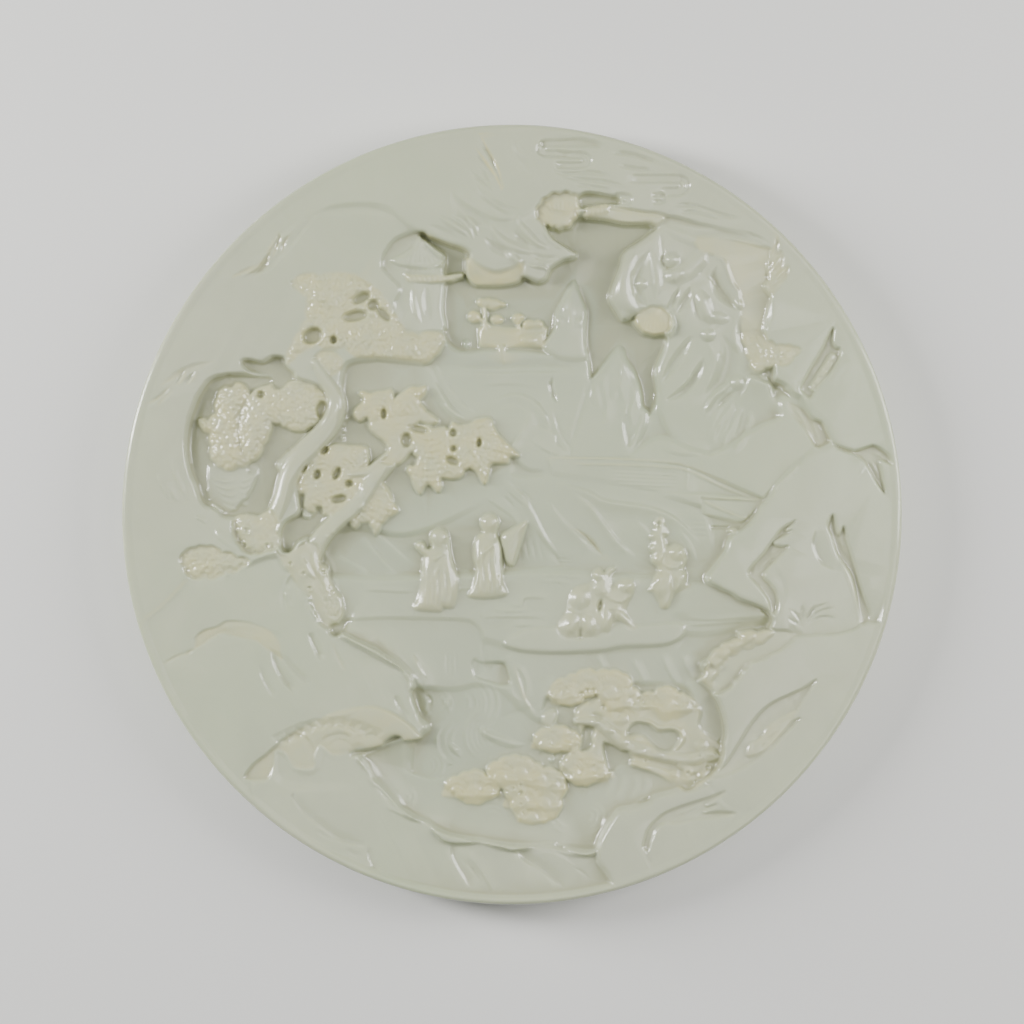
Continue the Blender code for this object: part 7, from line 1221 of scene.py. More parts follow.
def carve_lower_pines(c):
    """Old pines that lean over the water, their flat pads of needles grown into one another."""
    mass = [(64, -200), (74, -190), (90, -184), (104, -176), (126, -180), (150, -180), (180, -184),
            (190, -196), (188, -212), (200, -224), (211, -232), (209, -248), (203, -258), (190, -268),
            (176, -276), (162, -269), (144, -258), (126, -252), (118, -240), (108, -252), (96, -263),
            (80, -268), (60, -262), (52, -250), (60, -236), (70, -222)]
    c.lay(mass, 0.47, wall=5, cream=0.6)
    pads = [[(38, -177), (42, -169), (53, -164.5), (64, -160), (73, -155.5), (84, -157), (80, -170),
             (84.5, -180), (73, -184.5), (64, -191), (53, -192), (44.5, -188), (38, -183)],
            [(84, -158), (98, -156.5), (111, -159), (119, -164.5), (121, -173), (129, -180), (131, -185.5),
             (120, -193), (109, -199), (100, -198), (93, -191), (87, -182), (78, -173), (73, -164.5)],
            [(95.6, -199), (109, -198), (122, -195.5), (134.5, -198), (129, -204.5), (118, -208),
             (107, -213), (102, -207)],
            [(131, -181), (140, -178), (147, -184.5), (144.5, -193), (134, -196), (126, -190)],
            [(144, -177), (151, -173), (162, -174), (168, -179), (175.5, -181), (183, -188), (182, -194.5),
             (173, -202), (162, -204.5), (151, -206.5), (144.5, -200)],
            [(22, -225.5), (25.5, -219), (35.5, -214.5), (47, -212), (59, -216.5), (68, -222), (69, -229),
             (62, -234.5), (49, -238), (35.5, -238), (25.5, -232)],
            [(53, -246.5), (60, -241), (73, -240), (86.5, -242), (93, -249), (96.5, -262), (86.5, -264.5),
             (80, -271), (71, -273), (60, -269), (53, -260), (49, -251)],
            [(-68, -273), (-64.5, -266.5), (-54.5, -263), (-43, -258), (-32, -257), (-25.5, -263),
             (-12, -270), (-14.5, -281), (-25.5, -288), (-41, -291), (-50, -288), (-56.5, -280)],
            [(-25.5, -257.5), (-23, -252), (-14.5, -248), (-3.5, -243), (10, -243), (23, -249),
             (32, -254.5), (46, -258), (54.5, -270), (50, -285.5), (48, -299), (36.5, -308), (28, -310),
             (10, -308), (3, -301), (-1, -288), (-8, -276.5)]]
    levels = (0.48, 0.52, 0.50, 0.48, 0.52, 0.49, 0.50, 0.44, 0.48)
    for pad, level in zip(pads, levels):
        line = lobed(pad, 0.16)
        c.lay(line, level, wall=2.4, crown=0.04, reach=7, straight=True, cream=0.85)


def carve_needle_tufts(c):
    """Raised tufts on the pads, each a small fan of needles."""
    tufts = ((58, -186, 20), (46, -182, 13), (74, -178, 20), (98, -180, 20), (114, -192, 20),
             (128, -192, 13), (112, -206, 13), (138, -192, 12), (158, -194, 20), (174, -194, 14),
             (34, -232, 16), (52, -234, 20), (64, -230, 12), (62, -262, 18), (78, -264, 20), (90, -262, 14),
             (-56, -280, 16), (-38, -280, 20), (-24, -280, 15), (-12, -266, 18), (8, -262, 20),
             (28, -268, 18), (42, -274, 16), (10, -290, 20), (32, -292, 18), (20, -306, 16))
    for u, v, reach in tufts:
        c.swell([(u + reach * 0.95 * math.cos(a), v + reach * 0.9 * math.sin(a)) for a in np.radians((-20,
                                                                                                      10,
                                                                                                      35,
                                                                                                      60,
                                                                                                      85,
                                                                                                      110,
                                                                                                      135,
                                                                                                      160,
                                                                                                      200))],
                0.03, reach=3, cream=0.85)
        if c.fine:
            fan(c, u, v, reach, 8, 172, 11, -0.055, 2.6, 0.3)
    c.lay([(33, -199), (43, -197), (45, -206), (38, -214), (30, -208)], 0.46, wall=3, crown=0.04, reach=5,
          cream=0.3)


def carve_pine_trunks(c):
    """The leaning trunks, the knotted foot they grow from and the rock under it."""
    c.limb([(66, -208, 3), (78, -208, 4.5), (90, -212, 5.5), (103, -222, 6), (118, -233, 6.5),
            (136, -238, 6.5), (156, -243, 6), (176, -246, 6), (196, -243, 6), (207, -243, 4)], 0.50, 0.12,
           cream=0.35)
    c.limb([(112, -222, 3), (118, -214, 3.2), (126, -208, 3), (138, -209, 2.6), (148, -214, 2.4),
            (160, -214, 2.4), (169, -218, 2.6), (171, -226, 3), (164, -234, 3.4)], 0.49, 0.06, cream=0.6)
    c.limb([(122, -250, 3), (144, -256, 4), (162, -264, 5), (174, -270, 6), (186, -266, 6), (196, -256, 6)],
           0.47, 0.08, cream=0.6)
    c.limb([(170, -252, 4), (182, -256, 5), (192, -250, 5)], 0.50, 0.06, cream=0.5)
    for u, v, r, rise in ((84, -208, 5, 0.08), (98, -216, 6, 0.07), (112, -228, 6, 0.06),
                          (128, -238, 7, 0.06), (146, -240, 7, 0.06), (190, -232, 8, 0.08),
                          (200, -238, 7, 0.08), (184, -246, 8, 0.07), (176, -262, 8, 0.08),
                          (192, -262, 7, 0.08), (164, -260, 6, 0.06), (134, -254, 6, 0.06)):
        c.boss(u, v, r, r * 0.8, rise)
    for line, rise in (([(100, -216), (120, -228), (150, -236), (186, -240)], 0.05),
                       ([(186, -246), (150, -243), (122, -236), (98, -222)], 0.04),
                       ([(173, -276), (162, -269), (144, -258), (120, -251)], 0.06),
                       ([(206, -250), (196, -262), (184, -271), (173, -276)], -0.04)):
        c.ledge(line, rise, 7, wall=1.8)
    for u, v, r in ((177, -259, 3.6), (196, -254, 3.4), (189, -241, 3), (204, -241, 2.6), (184, -268, 2.6),
                    (166, -250, 2.4), (134, -248, 2.4), (152, -232, 2.2)):
        button(c, u, v, r)
    for line in ([(100, -262), (98, -272), (92, -284)], [(112, -262), (110, -274), (104, -286)],
                 [(122, -262), (124, -274), (118, -286)], [(132, -264), (134, -272), (130, -282)]):
        c.ledge(line, 0.045, 10, wall=4)
    c.ledge([(162, -282), (140, -281), (118, -288)], 0.04, 12, wall=3)


def carve_pine_holes(c):
    """The pierced places between the pines and the small knots on the pads."""
    for line in ([(72, -214), (82, -214), (83, -218), (81, -224), (81, -231), (76, -237), (68, -237),
                  (70, -229)],
                 [(92, -230), (102, -232), (111, -237), (118, -239), (119, -249), (109, -252), (103, -258),
                  (97, -257), (94, -247), (92, -238)]):
        c.lay(line, 0.28, wall=3)
    c.lay([(116, -216), (124, -209), (138, -211), (147, -218), (162, -217), (169, -222), (167, -229),
           (158, -238), (147, -236), (140, -230), (131, -222), (118, -222)], 0.36, wall=4)
    for u, v, ru, rv, turn in ((80, -187, 4.4, 4.2, 0), (92, -193, 2.2, 2.2, 0), (87, -203, 6.4, 3, -20),
                               (51, -258, 9, 2.8, -28), (70, -180, 1.8, 1.8, 0), (76, -177, 1.8, 1.8, 0),
                               (82, -177, 1.8, 1.8, 0)):
        c.hole(u, v, ru, rv, 0.40, turn)
    for u, v, r in ((-5.5, -278, 2.6), (1, -275.5, 2.6), (9, -272, 2.6), (9, -280, 4), (9, -291, 2.4),
                    (11, -300, 2.4), (43, -243, 2.4), (51, -242, 2.4), (58, -236, 2.4)):
        button(c, u, v, r)
    c.boss(40, -247, 4, 3, 0.08)


def carve_left_foreground(c):
    """The high smooth rock of the lower left, with a bush on its upper edge."""
    c.lay([(-420, -130), (-373, -111), (-366, -103), (-354, -94), (-341, -82), (-332, -72), (-323, -64),
           (-308, -63), (-290, -60), (-270, -53), (-255, -46), (-240, -42), (-222, -46), (-204, -60),
           (-192, -84), (-184, -106), (-172, -120), (-160, -128), (-134, -142), (-104, -161), (-101, -177),
           (-97, -197), (-86, -210), (-86, -217), (-99, -226), (-118, -224), (-140, -236), (-160, -240),
           (-144, -258), (-140, -267), (-127, -280), (-113, -296), (-100, -304), (-84, -310), (-75, -319),
           (-68, -326), (-58, -329), (-45, -328.5), (-32, -326.5), (-15, -332), (3, -336), (20, -333),
           (40, -331), (52, -337), (70, -341), (80, -340), (86, -335), (89, -324), (98, -309), (107, -296),
           (120, -293), (136, -288), (146, -281), (170, -275.5), (187, -272), (202, -264), (240, -300),
           (200, -420), (-200, -420)], ramp((-260, -200), (-120, -140), 0.93, 0.74), wall=8, crown=0.03,
          reach=10)
    c.lay([(86, -335), (89, -324), (98, -309), (107, -296), (120, -293), (136, -288), (146, -281),
           (170, -275.5), (187, -272), (202, -264), (240, -240), (420, -180), (360, -420), (160, -440),
           (112, -400), (99, -368), (93, -357), (86, -347)], 1.0, wall=7, crown=0.03, reach=10)
    c.ledge([(-323, -64), (-332, -72), (-341, -82), (-354, -94), (-366, -103), (-373, -111)], 0.05, 14,
            wall=1.8, taper=0.12, cream=0.5)
    c.ledge([(-237, -37), (-257, -43), (-279, -54), (-292, -65)], 0.05, 12, wall=2)
    bush = lobed([(-332, -44), (-328, -38), (-317, -33), (-306, -32), (-294, -34), (-290, -38), (-274, -43),
                  (-262, -46), (-270, -53), (-286, -58), (-292, -61), (-308, -63), (-323, -62),
                  (-328, -52)], 0.16)
    c.lay(bush, 0.89, wall=3, crown=0.06, reach=7, straight=True, cream=0.7)
    texture(c, bush, 0.055, 4.6, seed=31)
    c.ledge([(-276, -50), (-290, -48), (-304, -50), (-320, -56)], 0.06, 8, wall=1.8)


def carve_arched_band(c):
    """The arched band of leaves, and the rounded edges of the rock beside it."""
    band = [(-348, -149), (-334, -141), (-323, -139), (-317, -132), (-316, -123), (-308, -116),
            (-294, -112), (-286, -107), (-270, -107), (-257, -110), (-243, -116), (-234, -126),
            (-232, -137), (-230, -146), (-239, -139), (-246, -134), (-257, -126), (-279, -121),
            (-292, -119), (-306, -128), (-317, -134)]
    c.lay(band, 0.90, wall=2.4, crown=0.04, reach=6, cream=0.55)
    if c.fine:
        for i in range(24):
            u = -312 + i * 3.3
            v = -111 - 0.004 * (u + 272) ** 2
            c.stroke([(u, v), (u + 3, v - 6), (u + 4, v - 12)], 2.2, -0.04)
    arcs = [([(-241, -137), (-237, -152), (-228, -168), (-217, -179)], 0.07, 13),
            ([(-254, -151), (-248, -168), (-239, -183)], 0.04, 10),
            ([(-234, -141), (-221, -154), (-203, -172)], 0.05, 10),
            ([(-204, -119), (-199, -132), (-192, -146)], 0.07, 11),
            ([(-201, -86), (-197, -99), (-191, -108)], 0.06, 10),
            ([(-222, -61), (-226, -74), (-224, -92)], 0.06, 11),
            ([(-202, -81), (-201, -92), (-190, -109)], 0.05, 9),
            ([(-170, -122), (-160, -124), (-148, -128)], 0.04, 10),
            ([(-142, -127), (-135, -132), (-127, -143), (-121, -150), (-112, -158), (-104, -161)], 0.06,
             12),
            ([(-104, -161), (-102, -170), (-100, -182), (-97, -192), (-92, -203), (-85, -212)], 0.07, 11),
            ([(-118, -182), (-115, -191), (-108, -201), (-104, -206)], 0.06, 9),
            ([(-88, -183), (-82, -187), (-82, -194), (-84, -200)], 0.05, 7)]
    for line, rise, reach in arcs:
        c.ledge(line, -1.7 * rise, reach, wall=1.8, taper=0.2)
    c.stroke([(-180, -128), (-174, -144), (-166, -158)], 4, -0.04, cream=0.3)
    for line in ([(-168, -120), (-160, -128), (-158, -134)], [(-101, -158), (-92, -172), (-85, -185)],
                 [(-110, -158), (-101, -172), (-95, -182)]):
        c.ledge(line, 0.04, 6, wall=1.6)


def carve_lower_band(c):
    """The lower band of leaves."""
    leaves = [(-267, -263), (-262, -254), (-254, -246), (-247, -241), (-229, -225.5), (-213, -214.5),
              (-191, -203.5), (-173, -196.5), (-155, -193), (-138, -192), (-120, -198), (-106, -207),
              (-96, -216), (-91, -224.5), (-106.5, -227), (-112, -222.5), (-120, -222), (-127, -227),
              (-131, -232), (-144, -234.5), (-153, -232), (-157, -234), (-160, -237), (-169, -240),
              (-180, -240), (-187, -234.5), (-193, -231), (-198, -243), (-198, -252), (-204.5, -254.5),
              (-218, -252), (-223.5, -243), (-227, -238), (-234.5, -235.5), (-238, -239), (-239, -252),
              (-244, -264), (-256, -266)]
    c.lay([(-238, -239), (-230, -236), (-222, -244), (-216, -254), (-204, -257), (-196, -252), (-190, -236),
           (-176, -242), (-160, -240), (-150, -246), (-146, -262), (-160, -272), (-186, -272), (-214, -272),
           (-236, -262)], 0.82, wall=12)
    c.lay(leaves, ramp((-200, -190), (-205, -240), 0.91, 0.84), wall=2.6, crown=0.03, reach=6, cream=0.5)
    c.ledge([(-160, -238), (-147, -255), (-139, -268), (-128, -279), (-113, -296)], 0.10, 26, wall=2.2,
            taper=0.1)
    if c.fine:
        for i in range(9):
            u = -229 + i * 11
            v = -226 + 22 * math.sin((i + 1) / 11 * math.pi)
            fan(c, u, v - 14, 17, 45, 135, 8, -0.045, 2.2, 0.3)
    c.ledge([(-158, -222), (-170, -219), (-183, -221), (-192, -227)], -0.05, 9, wall=1.8)
    c.ledge([(-160, -222), (-166, -215), (-176, -206)], 0.04, 8, wall=1.8)
    c.ledge([(-197, -240), (-203, -226), (-214, -220), (-226, -224)], -0.05, 9, wall=1.8)
    c.ledge([(-128, -226), (-140, -220), (-157, -222)], -0.04, 8, wall=1.8)
    c.ledge([(-158, -234), (-164, -227), (-176, -225), (-186, -233)], -0.04, 7, wall=1.8)
    c.ledge([(-148, -194), (-160, -200), (-176, -204)], -0.03, 6, wall=1.6)
    c.ledge([(-200, -208), (-206, -216), (-218, -220)], -0.03, 6, wall=1.6)
    texture(c,
            [(-160, -250), (-150, -258), (-138, -270), (-122, -288), (-112, -298), (-128, -294),
             (-146, -280), (-158, -266)], 0.015, 3.0, seed=35)


def carve_rolling_shore(c):
    """The rolling shore under the high rock."""
    for line, rise, reach in (([(-160, -240), (-144, -258), (-140, -267), (-127, -280), (-113, -296)], 0.05,
                               14),
                              ([(-129, -293), (-107, -302), (-87, -309), (-80, -314), (-70, -325),
                                (-60, -329)], 0.05, 12),
                              ([(-222, -281), (-209, -298), (-187, -316), (-167, -328), (-144, -333)],
                               -0.07, 16), ([(-146, -334), (-142, -347), (-137, -357)], -0.06, 12),
                              ([(-196, -316), (-187, -323), (-176, -327)], -0.04, 8),
                              ([(-167, -336), (-158, -341), (-150, -343)], -0.04, 8),
                              ([(-61, -329), (-60, -340), (-55, -352), (-47, -365), (-41, -374)], -0.08,
                               18),
                              ([(-30, -327), (-15, -332), (4, -336), (10, -345), (24, -353)], -0.05, 12),
                              ([(4, -336), (9, -343), (16, -349), (24, -353), (38, -363), (52, -374)],
                               -0.08, 18), ([(-45, -340), (-30, -360), (-18, -380)], 0.04, 14),
                              ([(20, -341), (34, -337), (52, -343), (66, -352)], -0.04, 10)):
        c.ledge(line, rise, reach, wall=2, taper=0.18)
    for line in ([(-50, -344), (-42, -352), (-36, -362)], [(-46, -350), (-38, -358), (-30, -370)],
                 [(60, -352), (70, -358), (80, -366)], [(-258, -262), (-262, -272), (-256, -290)]):
        c.stroke(line, 3, -0.03)


def carve_lower_right_grass(c):
    """Long leaves cut into the flat of the lower right."""
    c.lay([(304, -165), (292, -173), (279, -179), (257, -190), (241, -206), (227, -228), (214, -248),
           (200, -263), (214, -261), (234, -252), (257, -236), (271, -222), (288, -204), (279, -206),
           (288, -192), (298, -176)], 0.86, wall=3, cream=0.1)
    c.lay([(236, -242), (238, -230), (250, -222), (256, -212), (272, -202), (284, -196), (280, -207),
           (268, -222), (254, -236)], 0.93, wall=2.6, cream=0.35)
    for line in ([(240, -240), (243, -228), (254, -216)], [(248, -238), (256, -226), (268, -214)],
                 [(256, -214), (266, -208), (278, -202)]):
        c.stroke(line, 2.6, -0.05)
    c.lay([(214, -277), (196, -283), (177, -289), (160, -295), (150, -300), (142, -307), (136, -314),
           (133, -322), (131, -332), (136, -336), (140, -326), (144, -316), (152, -309), (167, -309),
           (184, -305), (206, -303), (224, -299), (208, -297), (192, -298), (206, -290), (194, -291)], 0.87,
          wall=3, cream=0.1)
    c.stroke([(136, -330), (136, -340), (140, -356)], 5, -0.06)
    for line in ([(158, -301), (176, -296), (196, -286)], [(164, -305), (182, -300), (200, -294)],
                 [(160, -308), (180, -303), (204, -300)]):
        c.stroke(line, 2.4, 0.035)
    c.ledge([(202, -264), (187, -272), (170, -275.5), (146, -281), (136, -288), (120, -293), (107, -296)],
            -0.07, 14, wall=2.4, taper=0.1)


def carve_robed_figure(c, outline, folds, head, ground, rise):
    """A standing figure in a long robe: one outline, the lines of its folds and a rounded head."""
    c.lay(outline, ground + rise, wall=2.6, crown=rise * 0.5, reach=9, cream=0.35)
    for line in folds:
        c.ledge(line, 0.09, 6, wall=1.8)
    hu, hv = head
    c.boss(hu, hv - 13, 9, 6, -0.04)
    c.knob(hu, hv + 1, 8.6, 9, ground + rise * 0.72, 0.11, wall=2.4, cream=0.35)


def carve_face(c, u, v, size):
    """A calm, plain face: sockets, nose and mouth as small soft forms."""
    if not c.fine:
        return
    c.boss(u - size * 0.30, v + size * 0.04, 1.8, 1.1, -0.02)
    c.boss(u + size * 0.30, v + size * 0.04, 1.8, 1.1, -0.02)
    c.boss(u, v - size * 0.06, 1.1, 2.2, 0.03)
    c.boss(u, v - size * 0.42, 1.8, 0.8, -0.015)


def carve_first_figure(c):
    """The first of the two robed figures under the tree."""
    outline = [(-74, -14.4), (-80, -18), (-82, -24), (-80, -30), (-85, -38), (-89, -45), (-91, -60),
               (-92, -73), (-94.5, -84), (-99, -94.5), (-87, -97), (-72, -97.5), (-69, -93.5), (-60, -94),
               (-56.5, -87), (-54.5, -73), (-55.5, -60), (-59, -51), (-62, -38), (-63, -29), (-65, -20),
               (-69, -15.5)]
    folds = [[(-86, -94), (-85, -74), (-84, -56), (-80, -42)], [(-80, -94), (-80, -76), (-79, -58)],
             [(-75, -94), (-75, -76), (-75, -60), (-70, -46)],
             [(-68, -90), (-67, -74), (-68, -58), (-67, -44)],
             [(-61, -91), (-60, -76), (-62, -58), (-65, -42)], [(-78, -48), (-72, -42), (-66, -38)]]
    carve_robed_figure(c, outline, folds, (-73, -24), 0.41, 0.18)
    c.knob(-92, -31.5, 4.4, 4.4, 0.54, 0.05, cream=0.4)
    c.limb([(-92, -33, 3), (-88, -37, 3.6), (-82, -40, 4)], 0.53, 0.05, cream=0.35)
    c.stroke([(-60, -49), (-53, -55.5), (-41, -56.5)], 2.4, 0.05, taper=0.1)
    carve_face(c, -69, -26, 8)


def carve_second_figure(c):
    """The second robed figure, whose wide sleeve is spread."""
    outline = [(-22, 0), (-29, -3), (-31.5, -9), (-29, -17), (-34.5, -22), (-38, -31), (-38, -45),
               (-35.5, -53), (-37, -64), (-40, -73), (-43.5, -82), (-31, -84.5), (-15.5, -83.5), (-5, -80),
               (-8, -71), (-9.5, -60), (-10, -49), (-11, -33), (-14.5, -23), (-15.5, -16), (-13, -9),
               (-15.5, -3)]
    folds = [[(-38, -80), (-34, -66), (-34, -50), (-32, -34)],
             [(-31, -82), (-29, -66), (-30, -48), (-26, -30)],
             [(-23, -82), (-22, -66), (-24, -48), (-20, -32)],
             [(-15, -80), (-15, -64), (-17, -48), (-16, -32)], [(-11, -76), (-12, -60)],
             [(-30, -42), (-24, -36), (-16, -30)]]
    carve_robed_figure(c, outline, folds, (-22.5, -9), 0.41, 0.18)
    sleeve = [(-11, -22), (-2, -14.5), (7, -10), (15, -6.5), (12.5, -18), (8, -33), (3.5, -46.5), (0, -52),
              (-5.5, -47), (-8, -38)]
    c.lay(sleeve, 0.55, wall=2.4, crown=0.05, reach=6, cream=0.35)
    for i in range(5):
        c.ledge([(-5 + i * 3.4, -44 + i * 7), (-3 + i * 3.2, -30 + i * 4.4), (-4 + i * 3.8, -17 + i * 2.4)],
                0.06, 4, wall=1.6)
    carve_face(c, -20, -10, 8)


def carve_group(c):
    """Three figures close together: one bends forward, one wears a pointed hat, one carries a basket."""
    outline = [(71, -70.5), (65, -72.5), (60, -77), (56, -85), (54.5, -94), (50, -103), (45.5, -111),
               (46, -117), (53, -124), (65, -125), (77, -124.5), (85, -124), (90, -120), (98, -119.5),
               (101, -113), (106, -107), (112, -109), (118, -114.5), (126, -114.5), (120, -106), (115, -98),
               (117, -89), (122, -80), (123.5, -72), (121, -66), (114, -63.5), (107, -65.5), (102, -71),
               (99.5, -67), (99, -62.5), (101, -58), (103.5, -53.5), (97, -54), (92.5, -58), (89, -54),
               (84.5, -54.5), (80.5, -59), (81.5, -65), (77, -69)]
    c.lay(outline, 0.53, wall=3, crown=0.10, reach=9, cream=0.3)
    c.boss(68.5, -84, 11, 13, 0.11)
    c.boss(60, -110, 7, 11, 0.10, turn=-20)
    c.boss(77, -110, 7, 11, 0.10, turn=14)
    c.boss(68.5, -119, 3.4, 8, -0.10)
    c.boss(86.5, -60.5, 6.5, 6, 0.10)
    c.boss(90, -74, 9, 9, 0.07)
    c.boss(115.5, -71.5, 8, 8, 0.12)
    c.boss(95, -107, 6, 12, 0.09, turn=6)
    c.boss(110, -102, 5, 12, 0.09, turn=42)
    c.ledge([(57, -93), (62, -98), (69, -100), (76, -98), (81, -92)], 0.05, 6, wall=1.6)
    c.ledge([(52, -104), (56, -99), (60, -98)], -0.04, 6, wall=1.6)
    c.ledge([(66, -124), (68, -116), (72, -113)], 0.05, 6, wall=1.6)
    c.ledge([(81, -71), (86, -67), (93, -66), (98, -70)], 0.05, 6, wall=1.6)
    c.ledge([(83, -60), (88, -63), (95, -59), (102, -55)], 0.04, 4, wall=1.4)
    c.ledge([(90, -100), (95, -96), (103, -95), (112, -94)], 0.05, 7, wall=1.6)
    c.ledge([(101, -110), (104, -100), (108, -96)], -0.04, 6, wall=1.6)
    c.hole(88.5, -91.5, 2.2, 5.5, 0.36, turn=-12)
    beads = [(91.5, -78), (95, -82), (99.5, -85.5), (104.5, -87.5), (109.5, -88), (114.5, -86.2),
             (119, -82.5), (121.5, -77.5)]
    c.ledge(beads, 0.05, 12, wall=2)
    for u, v in beads:
        c.boss(u, v, 1.9, 2.2, 0.035)
    carve_face(c, 86.5, -63, 6)
    carve_face(c, 115, -74, 7)


def carve_bearer(c):
    """The fourth figure, who holds a leafy staff."""
    outline = [(143.5, -7), (147, -2.5), (152, -3), (154, -8), (153.5, -13), (157, -19.5), (153.5, -22),
               (155, -28), (157, -31.5), (164, -29.5), (171, -32.5), (175, -40), (175, -47), (173, -54),
               (176, -60), (175.5, -67), (180, -71.5), (172.5, -76.5), (164.5, -80), (160, -88),
               (156.5, -94), (150, -94.5), (147, -88), (144, -82), (141, -78), (136.5, -76.5),
               (140.5, -70.5), (143, -62), (146.5, -56), (145, -51.5), (140.5, -48), (140, -43),
               (141.5, -39), (138.5, -36), (138.5, -32.5), (141, -29.5), (141.5, -25), (137.5, -24),
               (139.5, -20), (143, -15), (142, -10)]
    c.lay(outline, 0.55, wall=2.8, crown=0.09, reach=7, cream=0.4)
    c.boss(166.5, -38.5, 8.5, 8.5, 0.12)
    c.boss(153, -70, 7.5, 14, 0.09, turn=-8)
    c.boss(171, -64, 5, 8, 0.06, turn=12)
    c.boss(155, -88, 4, 8, 0.04)
    c.boss(146, -45, 4.5, 7, 0.05)
    c.hole(147.5, -10, 1.4, 3, 0.40, wall=1.6)
    c.ledge([(147, -18), (150, -30), (149, -42), (145, -50)], 0.06, 6, wall=1.6)
    c.ledge([(151, -18), (153, -30), (153, -42), (152, -50)], -0.05, 6, wall=1.6)
    beads = [(152, -49), (156, -52.5), (161, -54), (166, -53.5), (170.5, -50.5), (173.5, -46)]
    c.ledge(beads, 0.05, 10, wall=2)
    for u, v in beads:
        c.boss(u, v, 1.9, 2.2, 0.035)
    for line in ([(147, -84), (148, -70), (151, -58)], [(158, -90), (160, -76), (158, -60)],
                 [(166, -77), (168, -68), (166, -58)], [(141, -74), (146, -68), (149, -60)]):
        c.ledge(line, 0.08, 6, wall=1.8)
    carve_face(c, 166, -41, 7)


# what is carved later covers what came before it, so the steps run from the deepest forms to the nearest
STEPS = [carve_base, carve_sky, carve_left_field, carve_pagoda, carve_top_rock, carve_tip_folds,
         carve_grass_blades, carve_tip_bush, carve_clouds, carve_sky_pine, carve_plateau, carve_cave_rock,
         carve_curl, carve_leaf_dome, carve_rimmed_hollow, carve_cave_slope, carve_peaks,
         carve_right_bush_top, carve_right_slope, carve_bridge, carve_steps, carve_hills, carve_terraces,
         carve_rock_faces, carve_water, carve_left_foreground, carve_arched_band, carve_lower_band,
         carve_rolling_shore, carve_right_plateau, carve_tall_tuft, carve_edge_stem, carve_rim_fingers,
         carve_right_rim, carve_niche, carve_leaf_balls, carve_upper_foliage, carve_left_tree,
         carve_tree_leaves, carve_tree_limbs, carve_root, carve_leaf_groups, carve_right_lower_bush,
         carve_lower_pines, carve_needle_tufts, carve_pine_trunks, carve_pine_holes,
         carve_lower_right_grass, carve_first_figure, carve_second_figure, carve_group, carve_bearer]


def soften(c):
    """Takes the sharpness off every edge, as the carver's last polish does."""
    h = c.h
    k = 0.25 / c.pitch ** 2
    h[1:-1] = k * h[:-2] + (1 - 2 * k) * h[1:-1] + k * h[2:]
    h[:, 1:-1] = k * h[:, :-2] + (1 - 2 * k) * h[:, 1:-1] + k * h[:, 2:]


def carve(pitch):
    """All of the carving, from the deepest ground to what stands in front."""
    c = Carving(pitch)
    for step in STEPS:
        step(c)
    soften(c)
    high = np.clip(c.h - KNEE, 0, None)
    c.h = np.where(c.h > KNEE, KNEE + ABOVE_KNEE * (1 - np.exp(-high / ABOVE_KNEE)), c.h)
    radius = np.hypot(c.u, c.v) / UNITS
    rim = eased((radius - RIM_START) / RIM_WIDTH)
    c.h = np.clip(c.h * (1 - rim) + rim, 0.0, 1.0)
    return c


def softened(values, reach):
    """The values averaged over a square of that half width, twice."""
    for _ in range(2):
        for axis in (0, 1):
            pad = [(0, 0), (0, 0)]
            pad[axis] = (reach + 1, reach)
            total = np.cumsum(np.pad(values, pad, mode="edge"), axis)
            high = np.take(total, range(2 * reach + 1, total.shape[axis]), axis)
            low = np.take(total, range(total.shape[axis] - 2 * reach - 1), axis)
            values = (high - low) / (2 * reach + 1)
    return values


def read(field, values, x, y):
    """The values of a grid at places of the face, between its samples."""
    scale = UNITS / (DIAMETER / 2) / field.pitch
    u = x * scale + FIELD_HALF / field.pitch
    v = y * scale + FIELD_HALF / field.pitch
    j = np.clip(np.floor(u).astype(int), 0, len(field.axis) - 2)
    i = np.clip(np.floor(v).astype(int), 0, len(field.axis) - 2)
    fu, fv = u - j, v - i
    low = values[i, j] * (1 - fu) + values[i, j + 1] * fu
    high = values[i + 1, j] * (1 - fu) + values[i + 1, j + 1] * fu
    return low * (1 - fv) + high * fv


def square_to_disc(a, b):
    """Moves the points of a square with sides of 2 on to a disc of radius 1, with even spacing."""
    r = np.where(np.abs(a) > np.abs(b), a, b)
    with np.errstate(divide="ignore", invalid="ignore"):
        turn = np.where(np.abs(a) > np.abs(b), np.pi / 4 * b / a, np.pi / 2 - np.pi / 4 * a / b)
    turn = np.nan_to_num(turn)
    return r * np.cos(turn), r * np.sin(turn)


def full_face(field, radius, steps):
    """The carved face as an even mesh that is not yet thinned out."""
    row = np.linspace(-1, 1, steps + 1)
    a, b = np.meshgrid(row, row)
    x, y = square_to_disc(a, b)
    x, y = x.ravel() * radius, y.ravel() * radius
    z = (read(field, field.h, x, y) - 1) * CARVING_DEPTH
    number = np.arange((steps + 1) ** 2).reshape(steps + 1, steps + 1)
    quads = np.stack([number[:-1, :-1], number[:-1, 1:], number[1:, 1:], number[1:, :-1]], -1).reshape(-1, 4)
    data = bpy.data.meshes.new("face")
    data.vertices.add(len(x))
    data.vertices.foreach_set("co", np.column_stack([x, y, z * FLATTENED]).ravel())
    data.loops.add(quads.size)
    data.loops.foreach_set("vertex_index", quads.ravel())
    data.polygons.add(len(quads))
    data.polygons.foreach_set("loop_start", np.arange(0, quads.size, 4))
    data.update(calc_edges=True)
    face = bpy.data.objects.new("face", data)
    bpy.context.scene.collection.objects.link(face)
    return face


